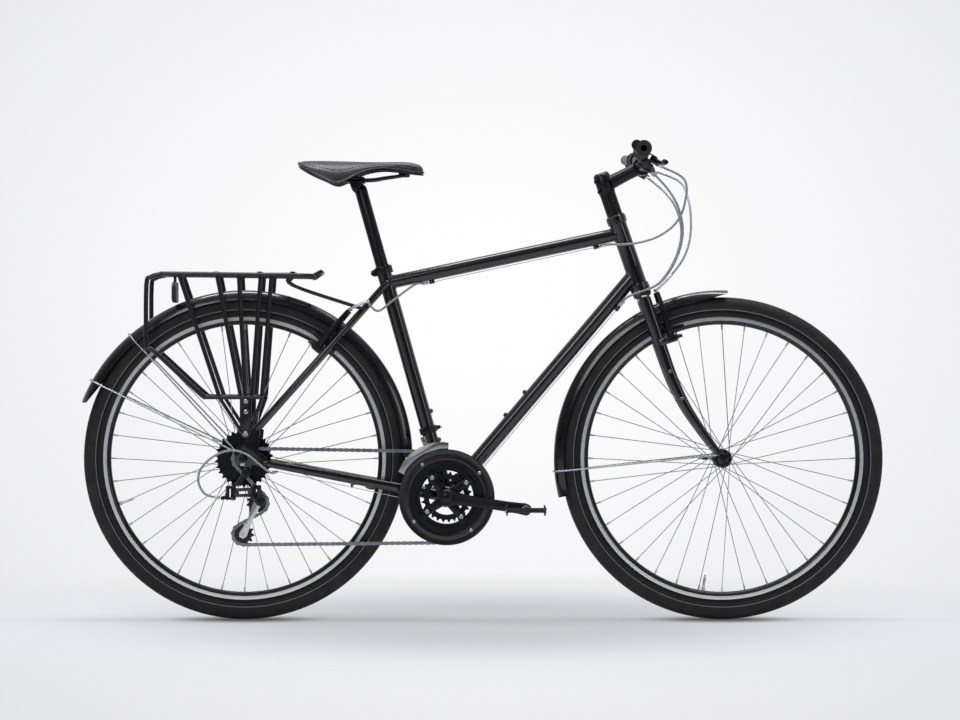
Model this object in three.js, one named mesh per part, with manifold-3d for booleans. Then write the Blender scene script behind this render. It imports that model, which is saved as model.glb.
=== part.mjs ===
// A touring bicycle with rigid fork, flat bar, rim brakes, derailleur gears, full fenders and a rear rack.
// Millimetres, +X forward, +Y to the rider's left, +Z up. The origin is on the ground, at the middle of the
// bicycle's outline. Inside the file, places are measured from below the bottom bracket's axis.
import * as THREE from "three";
import { mergeVertices } from "three/addons/utils/BufferGeometryUtils.js";
import Module from "manifold-3d";

const wasm = await Module();
wasm.setup();

// Driving dimensions
const BEAD_SEAT_RADIUS = 311; // 622 mm rim
const TIRE_HEIGHT = 35;
const TIRE_WIDTH = 37;
const WHEELBASE = 1025;
const CHAINSTAY_LENGTH = 442;
const BOTTOM_BRACKET_DROP = 82;
const HEAD_ANGLE = THREE.MathUtils.degToRad(71);
const SEAT_ANGLE = THREE.MathUtils.degToRad(74.3);
const FORK_OFFSET = 47;
const FORK_LENGTH = 390; // from the axle's level to the crown race, along the steering axis
const HEAD_TUBE_LENGTH = 137;
const HEAD_TUBE_RADIUS = 18.4;
const LOWER_CUP_HEIGHT = 16;
const UPPER_CUP_HEIGHT = 20;
const CROWN_RACE_HEIGHT = 6;
const HEADSET_CUP_RADIUS = 21.5;
const STEERER_RADIUS = 14.3;
const SPACER_STACK = 49;
const SEAT_TUBE_LENGTH = 515;
const SEAT_TUBE_RADIUS = 15.7;
const SEAT_POST_RADIUS = 13.6;
const SEAT_POST_OUT = 171; // seat post showing above the seat tube
const TOP_TUBE_RADIUS = 14.3;
const TOP_TUBE_DOWN_SEAT_TUBE = 39;
const TOP_TUBE_DOWN_HEAD_TUBE = 22;
const DOWN_TUBE_RADIUS = 15.9;
const DOWN_TUBE_UP_HEAD_TUBE = 23;
const BOTTOM_BRACKET_RADIUS = 20.5;
const BOTTOM_BRACKET_WIDTH = 68;
const REAR_HUB_WIDTH = 135;
const FRONT_HUB_WIDTH = 100;
const AXLE_RADIUS = 4.9;
const RIM_HALF_WIDTH = 12;
const RIM_HEIGHT = 30;
const BRAKE_TRACK_INSIDE_SEAT = 9; // the brake track's middle, inside the bead seat
const BRAKE_TRACK_RADIUS = BEAD_SEAT_RADIUS - BRAKE_TRACK_INSIDE_SEAT;
const BRAKE_POST_DROP = 20; // brake posts stand this far inside the brake track
const SPOKE_COUNT = 36;
const FENDER_RADIUS = 361;
const FENDER_HALF_WIDTH = 22.5;
const CHAIN_PITCH = 12.7;
const RING_TEETH = [48, 36, 26];
const RING_PLANES = [55, 47.5, 40]; // distances from the middle plane
const COG_TEETH = [11, 13, 15, 17, 20, 23, 26, 30];
const COG_STEP = 4.8;
const SMALL_COG_PLANE = 61;
const PULLEY_TEETH = 11;
const CRANK_LENGTH = 170;
const CRANK_TILT = THREE.MathUtils.degToRad(8.4); // the right crank points forward and this far down
const BAR_HALF_WIDTH = 300;
const STEM_REACH = 90;
const STEM_RISE = THREE.MathUtils.degToRad(7);
const RACK_HEIGHT = 746; // top of the rack's platform above the ground
const GAP = 0.3; // between pieces that touch
const OVERRUN = 2; // how far a cutting shape passes the face that it cuts

// Finishes
const finishes = {
  paint: new THREE.MeshStandardMaterial({ color: "#141416", roughness: 0.3, metalness: 0.2 }),
  blackAlloy: new THREE.MeshStandardMaterial({ color: "#1b1b1d", roughness: 0.45, metalness: 0.6 }),
  silver: new THREE.MeshStandardMaterial({ color: "#b9bbbd", roughness: 0.35, metalness: 0.9 }),
  steel: new THREE.MeshStandardMaterial({ color: "#8d8f92", roughness: 0.4, metalness: 0.9 }),
  rubber: new THREE.MeshStandardMaterial({ color: "#18181a", roughness: 0.9, metalness: 0 }),
  plastic: new THREE.MeshStandardMaterial({ color: "#1a1a1c", roughness: 0.6, metalness: 0 }),
  housing: new THREE.MeshStandardMaterial({ color: "#a9abad", roughness: 0.5, metalness: 0.1 }),
  reflector: new THREE.MeshStandardMaterial({ color: "#a31a1c", roughness: 0.2, metalness: 0 }),
};

// Working points and directions of the frame
const WHEEL_RADIUS = BEAD_SEAT_RADIUS + TIRE_HEIGHT;
const bottomBracket = new THREE.Vector3(0, 0, WHEEL_RADIUS - BOTTOM_BRACKET_DROP);
const rearAxle = new THREE.Vector3(-Math.sqrt(CHAINSTAY_LENGTH ** 2 - BOTTOM_BRACKET_DROP ** 2), 0, WHEEL_RADIUS);
const frontAxle = new THREE.Vector3(rearAxle.x + WHEELBASE, 0, WHEEL_RADIUS);
const steeringUp = new THREE.Vector3(-Math.cos(HEAD_ANGLE), 0, Math.sin(HEAD_ANGLE));
const steeringForward = new THREE.Vector3(Math.sin(HEAD_ANGLE), 0, Math.cos(HEAD_ANGLE));
const seatUp = new THREE.Vector3(-Math.cos(SEAT_ANGLE), 0, Math.sin(SEAT_ANGLE));
const seatForward = new THREE.Vector3(Math.sin(SEAT_ANGLE), 0, Math.cos(SEAT_ANGLE));
const crownRace = frontAxle.clone().addScaledVector(steeringForward, -FORK_OFFSET).addScaledVector(steeringUp, FORK_LENGTH);
const HEAD_TUBE_BOTTOM = CROWN_RACE_HEIGHT + LOWER_CUP_HEIGHT;
const HEAD_TUBE_TOP = HEAD_TUBE_BOTTOM + HEAD_TUBE_LENGTH;
const STEM_BOTTOM = HEAD_TUBE_TOP + UPPER_CUP_HEIGHT + SPACER_STACK;
const STEM_CLAMP_HEIGHT = 40;
const ringRadius = (teeth) => CHAIN_PITCH / (2 * Math.sin(Math.PI / teeth));

// Points in the frame, given from the steering axis, the seat tube or an axle
function onSteering(forward, side, up) {
  return crownRace.clone().addScaledVector(steeringForward, forward).addScaledVector(steeringUp, up).add(at(0, side, 0));
}
function onSeatTube(forward, side, up) {
  return bottomBracket.clone().addScaledVector(seatForward, forward).addScaledVector(seatUp, up).add(at(0, side, 0));
}
function at(x, y, z) {
  return new THREE.Vector3(x, y, z);
}
function around(centre, radius, angle, side) {
  return at(centre.x + radius * Math.cos(angle), side, centre.z + radius * Math.sin(angle));
}
const degrees = THREE.MathUtils.degToRad;
const lerp = THREE.MathUtils.lerp;

// Solids: geometry to solid and back, joining, cutting and moving
function solidOf(geometry) {
  const bare = geometry.index ? geometry.toNonIndexed() : geometry.clone();
  for (const key of Object.keys(bare.attributes)) if (key !== "position") bare.deleteAttribute(key);
  const merged = mergeVertices(bare);
  const corners = new Uint32Array(merged.index.array);
  const made = () =>
    new wasm.Manifold(
      new wasm.Mesh({ numProp: 3, vertProperties: merged.attributes.position.array, triVerts: corners }),
    );
  const first = made();
  if (first.volume() >= 0) return first;
  for (let i = 0; i < corners.length; i += 3) [corners[i], corners[i + 1]] = [corners[i + 1], corners[i]];
  return made();
}
function geometryOf(solid) {
  const mesh = solid.getMesh();
  const places = new Float32Array(mesh.numVert * 3);
  for (let i = 0; i < mesh.numVert; i++) {
    places.set(mesh.vertProperties.subarray(i * mesh.numProp, i * mesh.numProp + 3), i * 3);
  }
  const geometry = new THREE.BufferGeometry();
  geometry.setAttribute("position", new THREE.BufferAttribute(places, 3));
  geometry.setIndex(new THREE.BufferAttribute(new Uint32Array(mesh.triVerts), 1));
  geometry.computeVertexNormals();
  return geometry;
}
const join = (...solids) => wasm.Manifold.union(solids.flat(Infinity));
const cut = (body, ...tools) => body.subtract(join(tools));
const moved = (solid, matrix) => solid.transform(matrix.elements);
const shifted = (solid, x, y, z) => solid.translate([x, y, z]);
const mirrored = (solid) => solid.mirror([0, 1, 0]);
const bothSides = (solid) => join(solid, mirrored(solid));

// A straight round bar between two points, tapered if a second radius is given
function rod(from, to, radius, sides = 10, endRadius = radius) {
  return tube([from, to], [radius, endRadius], sides);
}
// The space that a neighbour of a round bar keeps clear
function spaceAround(from, to, radius, gap = GAP) {
  const sides = 16;
  return rod(from, to, (radius + gap) / Math.cos(Math.PI / sides), sides);
}
const bar = (x, z, y0, y1, radius, sides = 10) => rod(at(x, y0, z), at(x, y1, z), radius, sides);
function block(x, y, z, length, width, height) {
  const geometry = new THREE.BoxGeometry(length, width, height);
  geometry.translate(x, y, z);
  return solidOf(geometry);
}
// A closed profile of [radius, side] points turned round the Y axis
function turned(profile, segments, start = 0) {
  const points = [...profile, profile[0]].map(([radius, side]) => new THREE.Vector2(radius, side));
  return solidOf(new THREE.LatheGeometry(points, segments, start));
}
// A flat outline of [x, z] points, with holes, standing between two sides
function plate(outline, y0, y1, holes = []) {
  const shape = new THREE.Shape(outline.map(([x, z]) => new THREE.Vector2(x, z)));
  for (const hole of holes) shape.holes.push(new THREE.Path(hole.map(([x, z]) => new THREE.Vector2(x, z))));
  const geometry = new THREE.ExtrudeGeometry(shape, { depth: Math.abs(y1 - y0), bevelEnabled: false, curveSegments: 6 });
  geometry.rotateX(Math.PI / 2);
  geometry.translate(0, Math.max(y0, y1), 0);
  return solidOf(geometry);
}
const circle = (x, z, radius, sides, start = 0) =>
  Array.from({ length: sides }, (_, i) => {
    const angle = start + (i * 2 * Math.PI) / sides;
    return [x + radius * Math.cos(angle), z + radius * Math.sin(angle)];
  });
// A closed skin over rings of points that all have the same count, with flat ends
function loft(rings) {
  const count = rings[0].length;
  const places = [];
  const face = (a, b, c) => places.push(...a.toArray(), ...b.toArray(), ...c.toArray());
  for (let i = 0; i + 1 < rings.length; i++) {
    for (let j = 0; j < count; j++) {
      const k = (j + 1) % count;
      face(rings[i][j], rings[i][k], rings[i + 1][k]);
      face(rings[i][j], rings[i + 1][k], rings[i + 1][j]);
    }
  }
  const flat = flatten(rings[0]);
  for (const [a, b, c] of THREE.ShapeUtils.triangulateShape(flat.points, [])) {
    const [p, q, r] = flat.reversed ? [a, b, c] : [c, b, a];
    face(rings[0][p], rings[0][q], rings[0][r]);
  }
  const last = rings[rings.length - 1];
  const flatLast = flatten(last);
  for (const [a, b, c] of THREE.ShapeUtils.triangulateShape(flatLast.points, [])) {
    const [p, q, r] = flatLast.reversed ? [c, b, a] : [a, b, c];
    face(last[p], last[q], last[r]);
  }
  const geometry = new THREE.BufferGeometry();
  geometry.setAttribute("position", new THREE.Float32BufferAttribute(places, 3));
  return solidOf(geometry);
}
// A ring's points in its own plane
function flatten(ring) {
  const normal = at(0, 0, 0);
  ring.forEach((point, i) => normal.add(point.clone().cross(ring[(i + 1) % ring.length])));
  normal.normalize();
  const across = ring[1].clone().sub(ring[0]).normalize();
  const up = normal.clone().cross(across);
  const points = ring.map((point) => new THREE.Vector2(point.dot(across), point.dot(up)));
  return { points, reversed: THREE.ShapeUtils.isClockWise(points) };
}
// A tube through points, whose section is an ellipse with given half sizes at each point. The first half size
// lies along the given direction, or else along Y, and the second across it.
function tube(points, halfSizes, sides, wideAlong) {
  const rings = points.map((point, i) => {
    const before = points[Math.max(i - 1, 0)];
    const after = points[Math.min(i + 1, points.length - 1)];
    const along = after.clone().sub(before).normalize();
    const reference = wideAlong?.clone() ?? (Math.abs(along.y) > Math.SQRT1_2 ? at(1, 0, 0) : at(0, 1, 0));
    const first = reference.addScaledVector(along, -reference.dot(along)).normalize();
    const second = along.clone().cross(first);
    const [a, b] = Array.isArray(halfSizes[i]) ? halfSizes[i] : [halfSizes[i], halfSizes[i]];
    return Array.from({ length: sides }, (_, j) => {
      const angle = ((j + 1 / 2) * 2 * Math.PI) / sides;
      return point.clone().addScaledVector(first, a * Math.cos(angle)).addScaledVector(second, b * Math.sin(angle));
    });
  });
  return loft(rings);
}
// A tube of one radius along a smooth curve through points
function wire(points, radius, sides, steps) {
  const curve = new THREE.CatmullRomCurve3(points, false, "centripetal");
  const section = new THREE.Shape(circle(0, 0, radius, sides).map(([x, z]) => new THREE.Vector2(x, z)));
  return solidOf(new THREE.ExtrudeGeometry(section, { steps, extrudePath: curve, bevelEnabled: false }));
}

const meshes = new THREE.Group();
function add(group, name, solid, finish) {
  const mesh = new THREE.Mesh(geometryOf(solid), finish);
  mesh.name = name;
  group.add(mesh);
  return mesh;
}
function groupAt(parent, place) {
  const group = new THREE.Group();
  group.position.copy(place);
  parent.add(group);
  return group;
}

const steering = groupAt(meshes, crownRace);
steering.rotation.y = HEAD_ANGLE - Math.PI / 2;

// Frame tubes
const headAxis = [onSteering(0, 0, 0), onSteering(0, 0, STEM_BOTTOM)];
const shellAxis = [
  bottomBracket.clone().add(at(0, -BOTTOM_BRACKET_WIDTH / 2, 0)),
  bottomBracket.clone().add(at(0, BOTTOM_BRACKET_WIDTH / 2, 0)),
];
const seatTop = onSeatTube(0, 0, SEAT_TUBE_LENGTH);
const seatAxis = [bottomBracket, seatTop];
const topTubeAxis = [
  onSeatTube(0, 0, SEAT_TUBE_LENGTH - TOP_TUBE_DOWN_SEAT_TUBE),
  onSteering(0, 0, HEAD_TUBE_TOP - TOP_TUBE_DOWN_HEAD_TUBE),
];
const downTubeAxis = [bottomBracket, onSteering(0, 0, HEAD_TUBE_BOTTOM + DOWN_TUBE_UP_HEAD_TUBE)];
const topTubeDirection = topTubeAxis[1].clone().sub(topTubeAxis[0]).normalize();
const downTubeDirection = downTubeAxis[1].clone().sub(downTubeAxis[0]).normalize();
const aboveTopTube = at(-topTubeDirection.z, 0, topTubeDirection.x);
const aboveDownTube = at(-downTubeDirection.z, 0, downTubeDirection.x);
const onTopTube = (along, side, above) =>
  topTubeAxis[0].clone().addScaledVector(topTubeDirection, along).addScaledVector(aboveTopTube, above).add(at(0, side, 0));
const onDownTube = (along, side, above) =>
  bottomBracket.clone().addScaledVector(downTubeDirection, along).addScaledVector(aboveDownTube, above).add(at(0, side, 0));

const BOTTLE_BOSS_RADIUS = 5;
const BOTTLE_BOSS_HEIGHT = 3;
const BOTTLE_BOSS_SPACING = 64;
const DOWN_TUBE_BOSS_ALONG = 215;
const SEAT_TUBE_BOSS_ALONG = 122;
const CABLE_STOP_RADIUS = 3.6;
const CABLE_STOP_LENGTH = 12;
const WIRE_RADIUS = 0.9;
const HOUSING_RADIUS = 2.5;
const WIRE_SIDE = 7; // side distance of the two gear wires under the down tube
const TOP_WIRE_BELOW = TOP_TUBE_RADIUS + CABLE_STOP_RADIUS;
const DOWN_WIRE_BELOW = DOWN_TUBE_RADIUS + CABLE_STOP_RADIUS;
const TOP_STOP_FROM_SEAT = 95;
const TOP_STOP_FROM_HEAD = 58.7;
const DOWN_STOP_FROM_SHELL = 133;
const DOWN_STOP_FROM_HEAD = 81.3;
const TOP_STOPS_ALONG = [TOP_STOP_FROM_SEAT, topTubeAxis[0].distanceTo(topTubeAxis[1]) - TOP_STOP_FROM_HEAD];
const DOWN_STOPS_ALONG = [DOWN_STOP_FROM_SHELL, downTubeAxis[0].distanceTo(downTubeAxis[1]) - DOWN_STOP_FROM_HEAD];

// A hollow cable stop round a wire that runs beside a tube, with a foot in the tube
function cableStop(middle, along, towardsTube) {
  const half = along.clone().multiplyScalar(CABLE_STOP_LENGTH / 2);
  const bore = along.clone().multiplyScalar(CABLE_STOP_LENGTH / 2 + OVERRUN);
  const barrel = rod(middle.clone().sub(half), middle.clone().add(half), CABLE_STOP_RADIUS, 6);
  const foot = rod(middle, middle.clone().addScaledVector(towardsTube, CABLE_STOP_RADIUS * 2), CABLE_STOP_RADIUS / 2, 6);
  const hole = rod(middle.clone().sub(bore), middle.clone().add(bore), (WIRE_RADIUS + GAP) * 1.2, 6);
  return cut(join(barrel, foot), hole);
}
function makeHeadTube() {
  const cupRadius = HEADSET_CUP_RADIUS;
  const boreRadius = (STEERER_RADIUS + GAP) / Math.cos(Math.PI / 12);
  const flare = 2;
  const profile = [
    [boreRadius, CROWN_RACE_HEIGHT],
    [cupRadius, CROWN_RACE_HEIGHT],
    [cupRadius, HEAD_TUBE_BOTTOM - flare],
    [HEAD_TUBE_RADIUS, HEAD_TUBE_BOTTOM],
    [HEAD_TUBE_RADIUS, HEAD_TUBE_TOP],
    [cupRadius, HEAD_TUBE_TOP + flare],
    [cupRadius, HEAD_TUBE_TOP + UPPER_CUP_HEIGHT],
    [boreRadius, HEAD_TUBE_TOP + UPPER_CUP_HEIGHT],
  ];
  return upright(turned(profile, 12));
}
// Turns a solid made round Y so that its axis stands along Z
function upright(solid) {
  return moved(solid, new THREE.Matrix4().makeRotationX(Math.PI / 2));
}
add(steering, "head_tube", makeHeadTube(), finishes.paint);

function makeTopTube() {
  const body = rod(...topTubeAxis, TOP_TUBE_RADIUS, 12);
  const stops = TOP_STOPS_ALONG.map((along) =>
    cableStop(onTopTube(along, 0, -TOP_WIRE_BELOW), topTubeDirection, aboveTopTube),
  );
  return cut(join(body, stops), spaceAround(...headAxis, HEAD_TUBE_RADIUS), spaceAround(...seatAxis, SEAT_TUBE_RADIUS));
}
add(meshes, "top_tube", makeTopTube(), finishes.paint);

// A pair of bottle bosses standing on a tube
function bottleBosses(place, normal, tubeRadius) {
  return [0, 1].map((i) => {
    const foot = place(i * BOTTLE_BOSS_SPACING);
    return rod(foot, foot.clone().addScaledVector(normal, tubeRadius + BOTTLE_BOSS_HEIGHT), BOTTLE_BOSS_RADIUS, 6);
  });
}
function makeDownTube() {
  const body = rod(...downTubeAxis, DOWN_TUBE_RADIUS, 12);
  const below = aboveDownTube.clone();
  const stops = DOWN_STOPS_ALONG.slice(1).flatMap((along) =>
    [-WIRE_SIDE, WIRE_SIDE].map((side) => cableStop(onDownTube(along, side, -DOWN_WIRE_BELOW), downTubeDirection, below)),
  );
  const bosses = bottleBosses(
    (step) => onDownTube(DOWN_TUBE_BOSS_ALONG + step, 0, 0),
    aboveDownTube,
    DOWN_TUBE_RADIUS,
  );
  return cut(
    join(body, stops, bosses),
    spaceAround(...headAxis, HEAD_TUBE_RADIUS),
    spaceAround(headAxis[0], onSteering(0, 0, HEAD_TUBE_BOTTOM), HEADSET_CUP_RADIUS),
    spaceAround(...seatAxis, SEAT_TUBE_RADIUS),
    spaceAround(...shellAxis, BOTTOM_BRACKET_RADIUS),
  );
}
add(meshes, "down_tube", makeDownTube(), finishes.paint);

function makeSeatTube() {
  const boreDepth = 330;
  const body = rod(...seatAxis, SEAT_TUBE_RADIUS, 12);
  const bosses = bottleBosses((step) => onSeatTube(0, 0, SEAT_TUBE_BOSS_ALONG + step), seatForward, SEAT_TUBE_RADIUS);
  const bore = rod(
    onSeatTube(0, 0, SEAT_TUBE_LENGTH - boreDepth),
    onSeatTube(0, 0, SEAT_TUBE_LENGTH + OVERRUN),
    (SEAT_POST_RADIUS + GAP) / Math.cos(Math.PI / 12),
    12,
  );
  return cut(join(body, bosses), spaceAround(...shellAxis, BOTTOM_BRACKET_RADIUS), bore);
}
add(meshes, "seat_tube", makeSeatTube(), finishes.paint);

// Dropouts, in the plane of the rear axle
const DROPOUT_INNER = REAR_HUB_WIDTH / 2 + GAP;
const DROPOUT_THICKNESS = 5;
const DROPOUT_OUTER = DROPOUT_INNER + DROPOUT_THICKNESS;
const DROPOUT_SIZE = 66; // from the axle to the seat stay
const stayDirection = at(-bottomBracket.x + rearAxle.x, 0, rearAxle.z - bottomBracket.z).normalize();
const SEAT_STAY_LOW = rearAxle.clone().add(at(DROPOUT_SIZE * 0.43, 0, DROPOUT_SIZE * 0.985));
const SEAT_STAY_TOP = onSeatTube(0, 0, SEAT_TUBE_LENGTH - TOP_TUBE_DOWN_SEAT_TUBE);
const seatStayDirection = SEAT_STAY_TOP.clone().sub(SEAT_STAY_LOW).normalize();
const seatStayOutward = at(-seatStayDirection.z, 0, seatStayDirection.x);
const HANGER_DROP = 28;
const HANGER_FORWARD = 8;
const HANGER_RADIUS = 8;
const EYELET_BACK = 12;
const EYELET_UP = 14;
const dropoutOutlineShares = [
  [0.74, -0.26], [0.78, 0.04], [0.5, 0.3], [0.56, 0.9], [0.36, 0.98], [0.14, 0.97], [-0.01, 0.9], [-0.03, 0.75],
  [0.03, 0.56], [-0.2, 0.38], [-0.29, 0.2], [-0.24, -0.1],
];
function makeDropout(withHanger) {
  const slot = AXLE_RADIUS + GAP;
  const share = ([x, z]) => [rearAxle.x + x * DROPOUT_SIZE, rearAxle.z + z * DROPOUT_SIZE];
  const lip = 13;
  const body = plate(
    [...dropoutOutlineShares.map(share), [rearAxle.x - lip, rearAxle.z - lip], [rearAxle.x + lip * 2, rearAxle.z - lip]],
    DROPOUT_INNER,
    DROPOUT_OUTER,
  );
  const mouth = block(rearAxle.x, DROPOUT_INNER, rearAxle.z - lip, 2 * slot, 4 * DROPOUT_THICKNESS, 2 * lip);
  const seat = bar(rearAxle.x, rearAxle.z, DROPOUT_INNER - OVERRUN, DROPOUT_OUTER + OVERRUN, slot / Math.cos(Math.PI / 12));
  const open = cut(body, mouth, seat);
  if (!withHanger) return open;
  const neck = HANGER_RADIUS * 0.8;
  const hanger = plate(
    [
      [rearAxle.x + HANGER_FORWARD + lip, rearAxle.z - lip / 2],
      [rearAxle.x + slot + GAP, rearAxle.z - lip / 2],
      [rearAxle.x + HANGER_FORWARD - neck, rearAxle.z - HANGER_DROP],
      [rearAxle.x + HANGER_FORWARD, rearAxle.z - HANGER_DROP - neck],
      [rearAxle.x + HANGER_FORWARD + neck, rearAxle.z - HANGER_DROP],
    ],
    DROPOUT_INNER,
    DROPOUT_OUTER,
  );
  return join(open, hanger);
}
const CHAIN_STAY_END = 0.885; // share of the way from the bottom bracket to the axle
function makeChainStays() {
  const shellBore = 18;
  const startShare = 0.02;
  const stations = [
    [startShare, 17, 8, 12],
    [0.1, 27.5, 8, 12],
    [0.17, 35.3, 7, 12],
    [0.26, 40, 7.5, 11],
    [0.55, 54, 8, 9.5],
    [0.8, 67, 6.5, 8],
    [CHAIN_STAY_END, 71, 4.6, 7.5],
    [CHAIN_STAY_END + 0.02, 71, 4, 6.5],
  ];
  const points = stations.map(([share, side]) => bottomBracket.clone().lerp(rearAxle, share).add(at(0, side, 0)));
  const stay = tube(points, stations.map(([, , wide, high]) => [wide, high]), 8);
  const shell = rod(...shellAxis, BOTTOM_BRACKET_RADIUS, 16);
  const bore = bar(bottomBracket.x, bottomBracket.z, -BOTTOM_BRACKET_WIDTH, BOTTOM_BRACKET_WIDTH, shellBore, 12);
  const bridgeAt = bottomBracket.clone().lerp(rearAxle, 0.145);
  const bridgeHalf = 33;
  const bridgeRadius = 6;
  const bridge = bar(bridgeAt.x, bridgeAt.z, -bridgeHalf, bridgeHalf, bridgeRadius, 6);
  return cut(
    join(shell, stay, mirrored(stay), bridge, makeDropout(false), mirrored(makeDropout(true))),
    bore,
    wheelSpace(rearAxle),
  );
}
// The space of a wheel and its fender between the stays
function wheelSpace(axle) {
  const clearance = 2;
  const radius = FENDER_RADIUS + clearance;
  return bar(axle.x, axle.z, -FENDER_HALF_WIDTH - clearance, FENDER_HALF_WIDTH + clearance, radius, 36);
}
add(meshes, "chain_stays", makeChainStays(), finishes.paint);

const STAY_RADIUS = 7.2;
const STAY_LOW_SIDE = DROPOUT_INNER + DROPOUT_THICKNESS / 2;
const STAY_TOP_SIDE = 22;
const BRAKE_POST_RADIUS = 4;
const BRAKE_POST_LENGTH = 34;
const BRAKE_POST_BASE = 8; // from the stay's or blade's centre line to where the arm starts
const POST_DISTANCE = BRAKE_TRACK_RADIUS - BRAKE_POST_DROP;
const BRAKE_POST_SIDE = 42;
const stayLength = SEAT_STAY_LOW.distanceTo(SEAT_STAY_TOP);
// How far up a line from the axle's plane a given distance from the axle is reached
function shareAtDistance(axle, low, top, distance) {
  let share = 0;
  const step = 0.0005;
  while (share < 1 && low.clone().lerp(top, share).distanceTo(axle) < distance) share += step;
  return share;
}
const rearPostShare = shareAtDistance(rearAxle, SEAT_STAY_LOW, SEAT_STAY_TOP, POST_DISTANCE);
const rearPostFoot = SEAT_STAY_LOW.clone().lerp(SEAT_STAY_TOP, rearPostShare);
const staySide = (share) => lerp(STAY_LOW_SIDE, STAY_TOP_SIDE, share);
function makeSeatStays() {
  const bridgeShare = shareAtDistance(rearAxle, SEAT_STAY_LOW, SEAT_STAY_TOP, FENDER_RADIUS + STAY_RADIUS * 2);
  const low = SEAT_STAY_LOW.clone().add(at(0, STAY_LOW_SIDE, 0));
  const top = SEAT_STAY_TOP.clone().add(at(0, STAY_TOP_SIDE, 0));
  const stay = rod(low, top, STAY_RADIUS * 0.85, 8, STAY_RADIUS);
  const bridgeAt = SEAT_STAY_LOW.clone().lerp(SEAT_STAY_TOP, bridgeShare);
  const side = staySide(bridgeShare);
  const bridge = bar(bridgeAt.x, bridgeAt.z, -side, side, STAY_RADIUS * 0.8, 6);
  const postFoot = rearPostFoot.clone().add(at(0, BRAKE_POST_SIDE, 0));
  const post = rod(
    postFoot,
    postFoot.clone().addScaledVector(seatStayOutward, BRAKE_POST_BASE + BRAKE_POST_LENGTH),
    BRAKE_POST_RADIUS,
    6,
  );
  const boss = rod(postFoot, postFoot.clone().addScaledVector(seatStayOutward, BRAKE_POST_BASE - GAP), BRAKE_POST_RADIUS * 2, 6);
  return cut(
    join(bothSides(join(stay, post, boss)), bridge),
    spaceAround(...seatAxis, SEAT_TUBE_RADIUS),
    spaceAround(...topTubeAxis, TOP_TUBE_RADIUS),
    block(SEAT_STAY_LOW.x, 0, SEAT_STAY_LOW.z - DROPOUT_SIZE, DROPOUT_SIZE * 2, REAR_HUB_WIDTH * 2, DROPOUT_SIZE * 2 - 2 * GAP),
  );
}
add(meshes, "seat_stays", makeSeatStays(), finishes.paint);

const SPINDLE_RADIUS = 12;
const CUP_REACH = 2; // how far each bearing cup stands out of the shell
function makeBottomBracketCartridge() {
  const cupRadius = 19.5;
  const bodyRadius = 17;
  const face = BOTTOM_BRACKET_WIDTH / 2 + GAP;
  const end = face + CUP_REACH;
  const bore = (SPINDLE_RADIUS + GAP) / Math.cos(Math.PI / 12);
  const profile = [
    [bore, -end], [cupRadius, -end], [cupRadius, -face], [bodyRadius, -face],
    [bodyRadius, face], [cupRadius, face], [cupRadius, end], [bore, end],
  ];
  return turned(profile, 12);
}
add(groupAt(meshes, bottomBracket), "bottom_bracket_cartridge", makeBottomBracketCartridge(), finishes.steel);

function makeSeatClamp() {
  const height = 16;
  const wall = 4.5;
  const belowTop = 3;
  const earLength = 9;
  const earWidth = 16;
  const boltRadius = 3;
  const boltLength = 24;
  const low = SEAT_TUBE_LENGTH - height - belowTop;
  const high = low + height;
  const radius = SEAT_TUBE_RADIUS + GAP + wall;
  const band = rod(onSeatTube(0, 0, low), onSeatTube(0, 0, high), radius, 12);
  const back = radius + earLength / 2 - wall;
  const ear = rod(onSeatTube(-back, -earWidth / 2, (low + high) / 2), onSeatTube(-back, earWidth / 2, (low + high) / 2), height / 2, 6);
  const bolt = rod(
    onSeatTube(-back - boltRadius / 2, -boltLength / 2, (low + high) / 2),
    onSeatTube(-back - boltRadius / 2, boltLength / 2, (low + high) / 2),
    boltRadius,
    6,
  );
  const hole = spaceAround(onSeatTube(0, 0, low - OVERRUN), onSeatTube(0, 0, high + OVERRUN), SEAT_TUBE_RADIUS);
  return cut(join(band, ear, bolt), hole);
}
add(meshes, "seat_clamp", makeSeatClamp(), finishes.blackAlloy);

// Wheels, made round their own axle
const WHEEL_SEGMENTS = 36;
const FACET_DOWN = Math.PI / WHEEL_SEGMENTS;
const RIM_EDGE_RADIUS = BEAD_SEAT_RADIUS + 6;
const RIM_BED_RADIUS = RIM_EDGE_RADIUS - RIM_HEIGHT;
function makeRim() {
  const bedHalf = 5;
  const shoulder = 10;
  const profile = [
    [RIM_BED_RADIUS, -bedHalf],
    [RIM_BED_RADIUS + shoulder, -RIM_HALF_WIDTH],
    [RIM_EDGE_RADIUS, -RIM_HALF_WIDTH],
    [RIM_EDGE_RADIUS, RIM_HALF_WIDTH],
    [RIM_BED_RADIUS + shoulder, RIM_HALF_WIDTH],
    [RIM_BED_RADIUS, bedHalf],
  ];
  return turned(profile, WHEEL_SEGMENTS, FACET_DOWN);
}
function makeTire() {
  const half = TIRE_WIDTH / 2;
  const crown = WHEEL_RADIUS / Math.cos(FACET_DOWN);
  const base = RIM_EDGE_RADIUS + GAP * 1.2;
  const baseHalf = RIM_HALF_WIDTH - 1;
  const treadHalf = 7;
  const profile = [
    [base, -baseHalf],
    [lerp(base, crown, 0.38), -half],
    [lerp(base, crown, 0.76), -half * 0.84],
    [crown, -treadHalf],
    [crown, treadHalf],
    [lerp(base, crown, 0.76), half * 0.84],
    [lerp(base, crown, 0.38), half],
    [base, baseHalf],
  ];
  return turned(profile, WHEEL_SEGMENTS, FACET_DOWN);
}
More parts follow.
